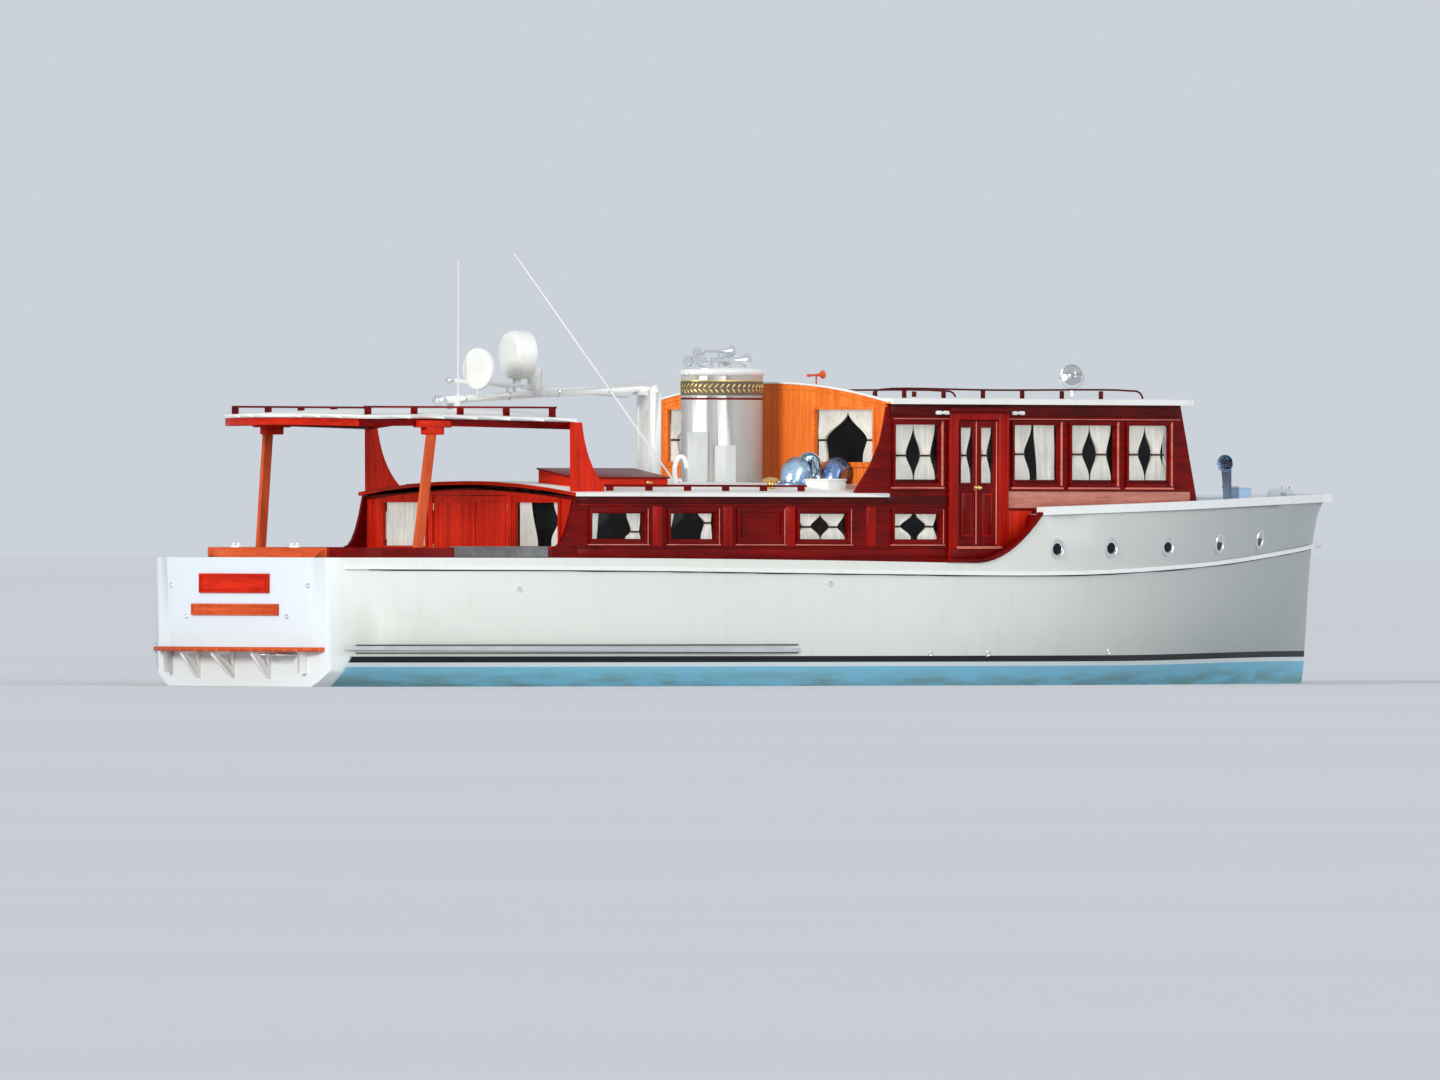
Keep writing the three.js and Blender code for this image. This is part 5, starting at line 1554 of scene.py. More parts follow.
@dataclass
class Wheelhouse:
    """The varnished wheelhouse's sides: framed windows, pilasters, eaves and curtains."""

    line: CabinLine
    windows: Pairs = ((10.70, 11.58), (13.11, 14.03), (14.31, 15.23), (15.52, 16.39))
    glass: Pair = (2.85, 3.67)
    doorway: Pair = (11.95, 12.77)
    pilaster: float = 0.17
    eave: Pair = (3.785, 3.955)
    frame_width: float = 0.045
    start: float = 10.60
    end: float = 16.62
    lamps: Sequence[float] = (11.62, 13.16)

    def build(self) -> None:
        """Build both sides and their curtains."""
        curtains = (
            centred_pair(0.2, 0.47, 7),
            [Drape((0.0, 0.47), (0.0, 0.44), (0.12, 0.3), 0.5, 7),
             Drape((0.53, 1.0), (0.60, 1.0), None, 0.5, 7)],
            centred_pair(0.2, 0.5, 7),
            centred_pair(0.2, 0.5, 7),
        )
        for side in SIDES:
            wall = self.line.wall(side)
            self.trims(wall)
            self.door_case(wall)
            Draper.hang_row(wall, "wheelhouse_window", self.windows, self.glass, curtains)

    def trims(self, wall: Wall) -> None:
        """Fix the eave, mouldings and window frames of one side.

        Args:
            wall: The side.
        """
        low, high = self.glass
        door_aft, door_fore = self.doorway[0] - self.pilaster, self.doorway[1] + self.pilaster
        members = [
            wall.rail(self.start, self.end, 3.762, 3.784, 0.030),
            wall.rail(10.66, door_aft, 2.742, 2.768, 0.028),
            wall.rail(door_fore, 16.9, 2.742, 2.768, 0.028),
        ]
        frieze = [wall.rail(self.start, self.end, *self.eave, 0.016),
                  wall.rail(self.start, self.end, 3.93, 3.956, 0.034)]
        frames, lip = [], 0.032
        for aft, fore in self.windows:
            members.append(wall.frame((aft, low), (fore, high), self.frame_width, 0.022))
            members.append(wall.frame((aft - lip, low - lip), (fore + lip, high + lip), 0.022, 0.036))
            frames.append(wall.rail(fore + 0.03, fore + 0.056, low - 0.04, high + 0.05, 0.040))
            frames.append(wall.rail(aft - 0.07, fore + 0.07, low - 0.082, low - 0.056, 0.048))
            frieze.append(wall.rail(aft, fore, low, low + 0.05, -0.006, -0.03))
        # Painted shade on the frieze under the eave, and a painted highlight on the window beads.
        wall.fit(frieze, f"wheelhouse_frieze_{wall.name}", Finishes.shadow)
        frames.append(wall.rail(10.66, self.end, 3.748, 3.760, 0.032))
        wall.fit(frames, f"wheelhouse_window_beads_{wall.name}", Finishes.highlight_bead, 0.003)
        # A paler, pinkish band below the windows, and a sunlit reddish copy of the mahogany on the sweep
        # panel.
        wall.fit([wall.rail(door_fore + 0.02, 16.85, 2.50, 2.738, 0.012)],
                 f"wheelhouse_lower_band_{wall.name}", Finishes.faded)
        wall.fit([wall.rail(door_fore + 0.02, 13.48, 1.74, 2.46, 0.010)],
                 f"sweep_panel_{wall.name}", Finishes.sunlit_flame)
        wall.fit(members, f"wheelhouse_mouldings_{wall.name}", Finishes.mahogany)
        aft, fore = self.windows[0]
        wall.fit([wall.pane((aft, low), (fore, high))], f"wheelhouse_aft_pane_{wall.name}",
                 Finishes.glass, 0.001, slot="window_glass")

    def door_case(self, wall: Wall) -> None:
        """Fix the doorway's pilasters, hood and threshold, and the small lamps beside it.

        Args:
            wall: The side.
        """
        aft, fore = self.doorway
        foot, head, gap, bevel = 1.76, 3.86, 0.004, 0.006
        aft_edge, fore_edge = aft - self.pilaster, fore + self.pilaster
        # The pilasters and door case take a lighter copy of the mahogany that paints in light, the threshold
        # a painted highlight.
        wall.fit([
            wall.rail(aft_edge, aft - gap, foot, head, 0.038),
            wall.rail(fore + gap, fore_edge, foot, head, 0.038),
            wall.rail(aft_edge - 0.02, aft_edge + 0.012, foot, head, 0.05),
            wall.rail(fore_edge - 0.012, fore_edge + 0.02, foot, head, 0.05),
            wall.rail(aft - gap, fore + gap, 3.745, head, 0.038),
        ], f"door_case_{wall.name}", Finishes.sunlit_warm, bevel)
        wall.fit([wall.rail(aft - 0.22, fore + 0.22, 3.862, 3.9, 0.11),
                  wall.rail(aft - 0.19, fore + 0.19, 3.84, 3.864, 0.075)],
                 f"door_hood_{wall.name}", Finishes.mahogany, bevel)
        wall.fit([wall.rail(aft - 0.04, fore + 0.04, 1.922, 1.962, 0.075, -0.04)],
                 f"door_threshold_{wall.name}", Finishes.highlight_bead, bevel)
        wall.fit([wall.rail(aft - 0.16, fore + 0.16, 1.765, 1.922, 0.06, -0.04)],
                 f"door_step_{wall.name}", Finishes.mahogany, bevel)
        lamps = []
        for place in self.lamps:
            for lens in (place - 0.075, place + 0.075):
                lamps.append(Bench.block((lens - 0.05, 0.01, 3.812), (lens + 0.05, 0.06, 3.868)))
            lamps.append(Bench.block((place - 0.03, 0.0, 3.822), (place + 0.03, 0.075, 3.858)))
        wall.fit(lamps, f"eave_lamps_{wall.name}", Finishes.plastic, 0.014, slot="white_paint")


class Portholes:
    """Five round ports a side in the raised bow, each a chrome rim round dark glass."""

    places: Pairs = (
        (13.73, 1.93), (14.89, 1.95), (16.19, 1.97), (17.56, 2.0), (18.87, 2.06))
    rim: Pairs = (
        (0.100, -0.02), (0.100, 0.004), (0.106, 0.014), (0.118, 0.020), (0.134, 0.017), (0.143, 0.007),
        (0.145, -0.02), (0.100, -0.02))
    glass: Pairs = (
        (0.0, 0.002), (0.06, 0.0015), (0.089, 0.0), (0.089, -0.012), (0.0, -0.012))
    sides: int = 36

    def build(self) -> None:
        """Set the ports of both sides square to the planking."""
        skin = Skin("hull")
        rims, panes = [], []
        for place, height in self.places:
            point, normal = skin.side(station(place), height)
            way = Vector((normal.x, normal.y, normal.z * 0.6)).normalized()
            rims.append(Bench.turned(self.rim, point, way, self.sides))
            panes.append(Bench.turned(self.glass, point, way, self.sides))
        Yard.fit_both(rims, "porthole_rims", Finishes.chrome, "chrome")
        Yard.fit_both(panes, "porthole_glass", Finishes.dark_glass, "window_glass")


class SmoothCopies:
    """Copies of plain nodes, merged and shaded smooth so that round forms read as round."""

    rows: Sequence[tuple[str, str, Finish, str, str, float]] = (
        # node, piece, finish, body, slot, sharpest smooth angle
        ("guard_rail", "guard_rail_moulding", Finishes.white, "boat", "white_paint", 40.0),
        ("keel", "keel_timber", Finishes.iron, "boat", "keel_timber", 30.0),
        ("tabernacle", "tabernacle_frame", Finishes.white, "boat", "white_paint", 40.0),
        ("mast", "mast_spars", Finishes.white, "mast", "white_paint", 40.0),
        ("swim_ladder", "swim_ladder_tubes", Finishes.chrome, "swim_ladder", "chrome", 40.0),
    )

    def build(self) -> None:
        """Copy the nodes."""
        for node, name, finish, body, slot, angle in self.rows:
            Yard.fit_out(Bench.from_node(node, angle), name, finish, body, slot, replaces=[node])
        for side in SIDES.values():
            for stem, name, finish in (("shaft_strut", "strut_casting", Finishes.antifouled),
                                       ("rudder", "rudder_blade", Finishes.antifouled),
                                       ("propeller", "propeller_and_shaft", Finishes.bronze)):
                node = f"{stem}_{side}"
                body = "boat" if stem == "shaft_strut" else node
                Yard.fit_out(Bench.from_node(node, 40.0), f"{name}_{side}", finish, body, "bronze",
                             replaces=[node])


@dataclass
class Funnel:
    """The dummy funnel: smooth oval shell, hoops and a gilt leaf band."""

    centre: Pair = (9.58, 0.0)
    radii: Pair = (0.70, 0.42)
    band: Pair = (4.075, 4.275)
    red_line: Pair = (4.015, 4.04)
    leaves: int = 44
    casing_top: float = 3.6
    casing_fore: float = -0.1
    casing_inner: float = -0.3
    casing_proud: float = 0.012
    leaf_proud: float = 0.006

    def build(self) -> None:
        """Build the shell and what is on it."""
        shell = Bench.from_node("funnel", 25.0)
        # The faces that stand out low on the shell's starboard quarter are light grey.
        Yard.paint(shell, Finishes.white, Finishes.light_grey, choose=self.surface)
        Yard.fit_out(shell, "funnel_shell", slot="white_paint", replaces=["funnel"])
        self.hoop("funnel_gilt_ground", self.band, 0.004, Finishes.gilt_ground)
        self.hoop("funnel_red_line", self.red_line, 0.005, Finishes.mahogany)
        self.hoop("funnel_gilt_edges", (self.band[1] - 0.002, self.band[1] + 0.012), 0.008, Finishes.gilt)
        self.leaf_band()

    def surface(self, centre: Vector, normal: Vector) -> int:
        """Pick a face's finish.

        Args:
            centre: The face's centre.
            normal: Its normal; not used.

        Returns:
            1 for the casing on the shell's starboard quarter, 0 for the rest.
        """
        x = (centre.x - station(self.centre[0])) / (self.radii[0] + self.casing_proud)
        y = centre.y / (self.radii[1] + self.casing_proud)
        outside = x * x + y * y > 1.0 and centre.z < self.casing_top
        return int(outside and y < self.casing_inner and x < self.casing_fore)

    def around(self, turn: float, out: float, height: float) -> Vector:
        """Give a point on the funnel's oval."""
        rx, ry = (radius + out for radius in self.radii)
        return Vector((station(self.centre[0]) + rx * math.cos(turn), ry * math.sin(turn), height))

    def hoop(self, name: str, span: Pair, proud: float, finish: Finish) -> None:
        """Lay a flat hoop round the shell.

        Args:
            name: The piece's name.
            span: Its lower and upper edges.
            proud: How far it stands out.
            finish: Its finish.
        """
        low, high = span
        hoop = Bench.turned(((0.97, low), (1.0, low), (1.0, high), (0.97, high), (0.97, low)),
                            (0, 0, 0), (0, 0, 1), 96)
        for vertex in hoop.data.vertices:
            turn = math.atan2(vertex.co.y, vertex.co.x)
            out = proud if math.hypot(vertex.co.x, vertex.co.y) > 0.985 else -0.006
            vertex.co = self.around(turn, out, vertex.co.z)
        Yard.fit_out(Bench.smoothed(hoop, 30.0), name, finish, slot="white_paint")

    def leaf_band(self) -> None:
        """Set a running band of plain pointed leaves, two rows that lean together."""
        low, high = self.band
        middle = (low + high) / 2
        bpy.ops.object.select_all(action="DESELECT")
        bpy.ops.mesh.primitive_uv_sphere_add(segments=8, ring_count=6, radius=1.0)
        pattern = Bench.settled()
        leaves = []
        for number in range(self.leaves):
            turn = 2 * math.pi * number / self.leaves
            centre = self.around(turn, self.leaf_proud, middle)
            ahead = (self.around(turn + 0.02, self.leaf_proud, middle) - centre).normalized()
            outward = ahead.cross(Vector((0, 0, 1))).normalized()
            for row in (-1, 1):
                leaf = Bench.twin(pattern)
                lean = (ahead * 0.72 + Vector((0, 0, row * 0.7))).normalized()
                across = lean.cross(outward).normalized()
                place = centre + lean * 0.035 + Vector((0, 0, row * 0.012))
                for vertex in leaf.data.vertices:
                    x, y, z = vertex.co
                    taper = 1.0 - 0.55 * abs(x) ** 1.5
                    vertex.co = (place + lean * (x * 0.044) + across * (y * 0.016 * taper)
                                 + outward * (z * 0.006))
                leaves.append(leaf)
        bpy.data.objects.remove(pattern)
        band = Bench.outward(Bench.smoothed(Bench.joined(leaves), 60.0))
        Yard.fit_out(band, "funnel_gilt_leaves", Finishes.gilt, slot="bronze")


@dataclass
class Domes:
    """The radar scanner's drum and the flat aerial dome on the lowered mast."""

    rows: Sequence[tuple[str, str, float, float]] = (
        # node, piece, depth, turn about the upright
        ("radar_dome", "radar_scanner_drum", 0.36, -19.0),
        ("aerial_dome", "aerial_dome_shell", 0.095, 0.0),
    )
    profile: Pairs = (
        # shares of the radius and of the depth
        (0.0, 0.0), (0.5, 0.0), (0.84, 0.02), (0.96, 0.08), (1.0, 0.2), (1.0, 0.62), (0.985, 0.64),
        (0.985, 0.67), (1.0, 0.69), (0.985, 0.82), (0.9, 0.93), (0.7, 0.985), (0.0, 1.0))

    def build(self) -> None:
        """Turn each dome to the node's own size."""
        for node, name, depth, turn in self.rows:
            low, high = (Vector(corner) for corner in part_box(node))
            radius = (high.z - low.z) / 2
            way = Vector((math.cos(math.radians(turn)), math.sin(math.radians(turn)), 0))
            profile = [(radius * out, depth * down) for out, down in self.profile]
            drum = Bench.smoothed(Bench.turned(profile, (low + high) / 2 + way * depth / 2, -way, 48), 30.0)
            Yard.fit_out(drum, name, Finishes.plastic, "mast", "white_paint", replaces=[node])


@dataclass
class Cowls:
    """Polished cowl vents, each a pipe that bends into a flared, rolled mouth."""

    # The cowls' blue finishes are painted reflections of sky and surroundings.
    roof: Sequence[tuple[float, float, float, float, float, float, Finish]] = (
        # from transom, across, top, mouth radius, pipe radius, heading, finish
        (9.82, -1.15, 3.215, 0.225, 0.155, 20.0, Finishes.sky_reflection_chrome),
        (10.13, -1.27, 3.285, 0.185, 0.11, 200.0, Finishes.chrome),
        (10.25, -1.54, 3.21, 0.215, 0.145, 25.0, Finishes.deep_reflection_chrome),
    )
    foredeck: tuple[float, float, float, float, float, float, Finish] = (
        18.98, -0.80, 3.27, 0.125, 0.045, 200.0, Finishes.sky_reflection_chrome)
    eye: float = 2.95
    sides: int = 28

    def build(self) -> None:
        """Replace the vents on the trunk roof and the foredeck."""
        pad = Skin("trunk_roof")
        cowls = [self.cowl(*row[:6], foot=pad.top(station(row[0]), row[1], self.eye), finish=row[6])
                 for row in self.roof]
        whole = Bench.joined([self.pad(pad), *cowls])
        Yard.fit_out(whole, "roof_cowl_vents", None, slot="chrome", replaces=["roof_vents"])
        row = self.foredeck
        foot = Skin("hull").top(station(row[0]), row[1], 3.0)
        bow = self.cowl(*row[:6], foot=foot, finish=row[6])
        Yard.fit_out(bow, "foredeck_cowl_vent", None, slot="chrome", replaces=["foredeck_vent"])

    def pad(self, roof: Skin) -> Piece:
        """Make the low white pad under the roof cowls.

        Args:
            roof: The trunk roof.

        Returns:
            The pad.
        """
        parts = []
        for aft, fore, near, far in ((9.72, 10.10, -1.30, -0.98), (10.03, 10.37, -1.47, -1.13),
                                     (10.19, 10.48, -1.81, -1.50)):
            middle = ((aft + fore) / 2, (near + far) / 2)
            top = roof.top(station(middle[0]), middle[1], self.eye)
            parts.append(Bench.block((station(aft), near, top - 0.05), (station(fore), far, top + 0.05)))
        return Yard.paint(Bench.bevelled(Bench.joined(parts), 0.012, 3), Finishes.white)

    def cowl(self, place: float, across: float, top: float, mouth: float, pipe: float, heading: float,
             foot: float, finish: Finish) -> Piece:
        """Make one cowl by sweeping a ring round its bend.

        Args:
            place: Distance from the transom.
            across: Distance to port.
            top: Height of its highest point.
            mouth: Radius of its mouth.
            pipe: Radius of its pipe.
            heading: Where the mouth looks, in degrees from the bow.
            foot: Height of the deck under it.
            finish: Its finish.

        Returns:
            The cowl, not yet ridden.
        """
        rings = self.rings(top - mouth, mouth, pipe, foot)
        loop = Bench.turned(((1.0, 0.0), (1.0, 1.0)), (0, 0, 0), (0, 0, 1), self.sides)
        Bench.edit(loop, "VERT")
        for level in range(2, len(rings)):
            bpy.ops.object.mode_set(mode="OBJECT")
            for vertex in loop.data.vertices:
                vertex.select = abs(vertex.co.z - (level - 1)) < 0.01
            bpy.ops.object.mode_set(mode="EDIT")
            bpy.ops.mesh.extrude_region_move(TRANSFORM_OT_translate={"value": (0, 0, 1)})
        bpy.ops.object.mode_set(mode="OBJECT")
        for vertex in loop.data.vertices:
            vertex.select = vertex.co.z > len(rings) - 1.5 or vertex.co.z < 0.5
        bpy.ops.object.mode_set(mode="EDIT")
        bpy.ops.mesh.edge_face_add()
        bpy.ops.object.mode_set(mode="OBJECT")
        aim = math.radians(heading)
        for vertex in loop.data.vertices:
            turn = math.atan2(vertex.co.y, vertex.co.x)
            (x, z), radius, tilt = rings[int(round(vertex.co.z))]
            lean = math.radians(tilt)
            side, up = radius * math.cos(turn), radius * math.sin(turn)
            ahead = x - up * math.sin(lean)
            vertex.co = (station(place) + ahead * math.cos(aim) - side * math.sin(aim),
                         across + ahead * math.sin(aim) + side * math.cos(aim), z + up * math.cos(lean))
        return Bench.smoothed(Yard.paint(Bench.outward(loop), finish), 50.0)

    @staticmethod
    def rings(middle: float, mouth: float, pipe: float, foot: float) -> list[tuple[tuple, float, float]]:
        """List the rings that a cowl is swept through, from its foot to the inside of its mouth.

        Args:
            middle: Height of the mouth's middle.
            mouth: Radius of its mouth.
            pipe: Radius of its pipe.
            foot: Height of the deck under it.

        Returns:
            For each ring its place ahead and up, its radius, and its tilt in degrees.
        """
        bend = mouth * 0.95
        low = middle - bend
        rings = [((0.0, foot - 0.01), pipe * 1.35, 90.0), ((0.0, foot + 0.015), pipe * 1.35, 90.0),
                 ((0.0, foot + 0.03), pipe * 1.08, 90.0), ((0.0, max(low, foot + 0.05)), pipe, 90.0)]
        for share in steps(0.1, 1.0, 9):
            turn = math.radians(90.0 * share)
            radius = pipe + (mouth * 0.88 - pipe) * ease(share) ** 0.8
            x = bend * 0.55 * (1.0 - math.cos(turn))
            rings.append(((x, low + bend * math.sin(turn)), radius, 90.0 * (1.0 - share)))
        for forward, radius in ((0.06, 0.92), (0.16, 0.985), (0.22, 1.0), (0.235, 0.985), (0.22, 0.95),
                                (0.05, 0.84), (-0.12, 0.66), (-0.2, 0.4)):
            rings.append(((bend * 0.55 + mouth * forward, middle), mouth * radius, 0.0))
        return rings


def blocks(rows: Iterable[tuple[Sequence[float], Sequence[float]]], bevel: float = 0.008) -> Piece:
    """Join eased blocks, each given by two corners with X from the transom."""
    made = [Bench.block((station(a[0]), *a[1:]), (station(b[0]), *b[1:])) for a, b in rows]
    return Bench.smoothed(Bench.bevelled(Bench.joined(made), bevel, 2), 40.0)


def knob(place: Sequence[float], way: Sequence[float], size: float = 0.024) -> Piece:
    """Turn a door knob on its rose.

    Args:
        place: Where its axis leaves the door.
        way: The way that it stands out.
        size: Its radius.

    Returns:
        The knob.
    """
    profile = ((0.0, 0.0), (1.2, 0.0), (1.2, 0.15), (0.45, 0.3), (0.4, 0.9), (0.95, 1.3), (1.05, 1.7),
               (0.8, 2.1), (0.0, 2.25))
    return Bench.turned([(r * size, d * size) for r, d in profile], place, way, 20)


def span(side: int, near: float, far: float) -> Pair:
    """Give two distances from the centreline in rising order on one side."""
    return (near, far) if side > 0 else (-far, -near)


@dataclass
class AftEnd:
    """The trunk cabin's aft bulkhead, its curtained windows, its double doors and its roof."""

    face: float = 4.62
    crown: Pair = (0.16, 2.15)
    window: Box = (0.90, 1.74, 1.95, 2.56)
    leaf: Box = (0.004, 0.732, 1.118, 2.652)
    leaf_face: float = 4.624
    hinge: Pair = (4.616, 0.738)
    hinge_heights: Sequence[float] = (1.30, 1.88, 2.45)

    def build(self) -> None:
        """Trim the bulkhead, hang its curtains and dress both doors."""
        flat = Wall("aft", lambda u, o, v: (station(self.face) - o, u, v))
        rise, half = self.crown
        arched = Wall("aft", lambda u, o, v: (station(self.face) - o, u, v + rise * (1 - (u / half) ** 2)))
        near, far, low, high = self.window
        members, panes = [], []
        for side, name in SIDES.items():
            a, b = span(side, near, far)
            members += [
                flat.frame((a, low), (b, high), 0.045, 0.02),
                flat.frame((a - 0.03, low - 0.03), (b + 0.03, high + 0.03), 0.02, 0.032),
                flat.rail(a - 0.07, b + 0.07, low - 0.078, low - 0.05, 0.045),
                flat.rail(*span(side, 0.748, 0.83), 1.04, 2.66, 0.024),
                flat.rail(*span(side, 1.96, 2.045), 1.80, 2.60, 0.02),
            ]
            panes.append(flat.pane((a, low), (b, high)))
            pair = [Drape((0.0, 0.51), (0.0, 0.51), folds=8), Drape((0.5, 1.0), (0.5, 1.0), folds=8)]
            swept = [Drape((0.72, 1.0), (0.58, 1.0)), Drape((0.0, 0.2), (0.0, 0.26), (0.0, 0.08), 0.56, 5)]
            Draper(flat, f"aft_window_{name}").hang((a, low), (b, high), pair if side > 0 else swept)
            self.door(side, name)
        # The bulkhead's mouldings take the lighter, sunlit copy of the mahogany.
        flat.fit(members, "aft_bulkhead_mouldings", Finishes.sunlit_flame)
        arched.fit([arched.rail(-2.05, 2.05, 2.575, 2.645, 0.016)], "aft_bulkhead_frieze", Finishes.across)
        flat.fit(panes, "aft_bulkhead_panes", Finishes.glass, 0.001, slot="window_glass")
        roof = Bench.from_node("trunk_roof", 30.0)
        # Painted light and shade: the aft-facing edge takes the sunlit reddish copy of the mahogany, the
        # underside the near-black shade.
        Yard.paint(roof, Finishes.roof, Finishes.sunlit_flame_across, Finishes.lining, choose=lambda c, n: (
            1 if n.x < -0.5 and c.x + MIDSHIP < 5.0 else 2 if n.z < -0.5 else 0))
        Yard.fit_out(roof, "trunk_deckhead", slot="white_paint", replaces=["trunk_roof"])

    def door(self, side: int, name: str) -> None:
        """Dress one leaf with its framing, knob and hinges.

        Args:
            side: PORT or STARBOARD.
            name: The side's name.
        """
        near, far, low, high = self.leaf
        wall = Wall(name, lambda u, o, v: (station(self.leaf_face) - o, u, v))
        a, b = span(side, near, far)
        body = f"aft_door_{name}"
        stile, proud = 0.085, 0.012
        # The door's framing takes the lighter, sunlit copy of the mahogany.
        wall.fit([wall.frame((a + stile, low + 0.10), (b - stile, high - stile), 0.052, proud),
                  wall.rail(a + stile, b - stile, 1.84, 1.91, proud)],
                 f"{body}_framing", Finishes.sunlit_flame, body=body)
        brass = [knob((station(self.leaf_face) - 0.012, side * 0.066, 1.875), (-1, 0, 0))]
        x, y = station(self.hinge[0]), side * self.hinge[1]
        for height in self.hinge_heights:
            brass.append(Bench.rod((x, y, height), (x, y, height + 0.1), 0.011))
        Yard.fit_parts(brass, f"{body}_brass", Finishes.brass, body, "bronze")


@dataclass
class SideDoors:
    """Four door leaves, each with a curtained light over a raised panel."""

    face: float = 2.306
    leaves: Sequence[tuple[str, float, float, int]] = (
        # leaf, aft edge, forward edge, which edge the knob is on
        ("aft", 11.958, 12.356, 1), ("forward", 12.364, 12.762, -1))
    light: Pair = (2.85, 3.63)
    panel: Pair = (2.09, 2.72)
    stile: float = 0.075
    knob_inset: float = 0.036
    knob_height: float = 2.785

    def build(self) -> None:
        """Dress every leaf on both sides."""
        for side, name in SIDES.items():
            wall = Wall(name, lambda u, o, v, side=side: (station(u), side * (self.face + o), v))
            for leaf, aft, fore, way in self.leaves:
                body = f"side_door_{leaf}_{name}"
                a, b = aft + self.stile, fore - self.stile
                low, high = self.light
                foot, head = self.panel
                lap = wall.lap
                wall.fit([wall.frame((a, low), (b, high), 0.028, 0.012),
                          wall.frame((a + 0.012, foot), (b - 0.012, head), 0.02, 0.010),
                          wall.rail(a + 0.045, b - 0.045, foot + 0.035, head - 0.035, 0.008)],
                         f"{body}_mouldings", Finishes.upright, body=body)
                wall.fit([wall.rail(a - lap, b + lap, low - lap, high + lap, -0.014, -0.020)],
                         f"{body}_pane", Finishes.glass, 0.001, body, "window_glass")
                # A painted highlight on the bead, and a lighter copy of the mahogany that paints in light on
                # the raised panel.
                wall.fit([wall.rail(fore - 0.024, fore - 0.005, 1.985, 3.725, 0.010)],
                         f"{body}_bead", Finishes.highlight_bead_upright, 0.003, body)
                wall.fit([wall.rail(a + 0.02, b - 0.02, foot + 0.01, head - 0.01, 0.0045, 0.0005)],
                         f"{body}_panel", Finishes.sunlit_warm, 0.001, body)
                edge = fore - self.knob_inset if way > 0 else aft + self.knob_inset
                brass = knob((station(edge), side * self.face, self.knob_height), (0, side, 0))
                Yard.fit_out(Bench.smoothed(brass), f"{body}_brass", Finishes.brass, body, "bronze")
                drapes = [Drape((0.0, 1.0), (0.0, 1.0), (0.36, 0.64), 0.5, 6)]
                Draper(wall, body, body).hang((a, low), (b, high), drapes, out=-0.064)


@dataclass
class HouseEnd:
    """The wheelhouse's aft bulkhead: framed windows, curtains and the arched capping."""

    face: float = 10.55
    window: Box = (0.905, 2.04, 3.14, 3.88)
    half: float = 2.335
    thick: float = 0.045

    def build(self) -> None:
        """Trim the windows and lay the capping along the arch."""
        flat = Wall("house_aft", lambda u, o, v: (station(self.face) - o, u, v))
        near, far, low, high = self.window
        members, panes = [], []
        for side, name in SIDES.items():
            a, b = span(side, near, far)
            members += [
                flat.frame((a, low), (b, high), 0.045, 0.02),
                flat.rail(a - 0.05, b + 0.05, low - 0.07, low - 0.045, 0.035),
            ]
            panes.append(flat.pane((a, low), (b, high)))
            Draper(flat, f"house_aft_window_{name}").hang((a, low), (b, high), [
                Drape((0.0, 0.5), (0.0, 0.24), (0.0, 0.16), 0.42, 8),
                Drape((0.5, 1.0), (0.86, 1.0), (0.90, 1.0), 0.42, 8)])
        # The mouldings take the orange, sunlit copy of the mahogany.
        flat.fit(members, "house_aft_mouldings", Finishes.bright)
        flat.fit(panes, "house_aft_panes", Finishes.glass, 0.001, slot="window_glass")
        skin = Skin("wheelhouse_aft_bulkhead")
        arch = Wall("arch", lambda u, o, v: (
            station(self.face) - o, u, v + skin.top(station(self.face) + 0.02, u, fallback=4.0)))
        half = self.half
        arch.fit([arch.rail(-half, half, -0.004, 0.022, 0.02, -self.thick - 0.012)],
                 "parapet_capping", Finishes.white, slot="white_paint")
        # The moulding below the capping takes the orange, sunlit copy too.
        arch.fit([arch.rail(-half + 0.02, half - 0.02, -0.075, -0.052, 0.012)],
                 "parapet_moulding", Finishes.bright, 0.003)


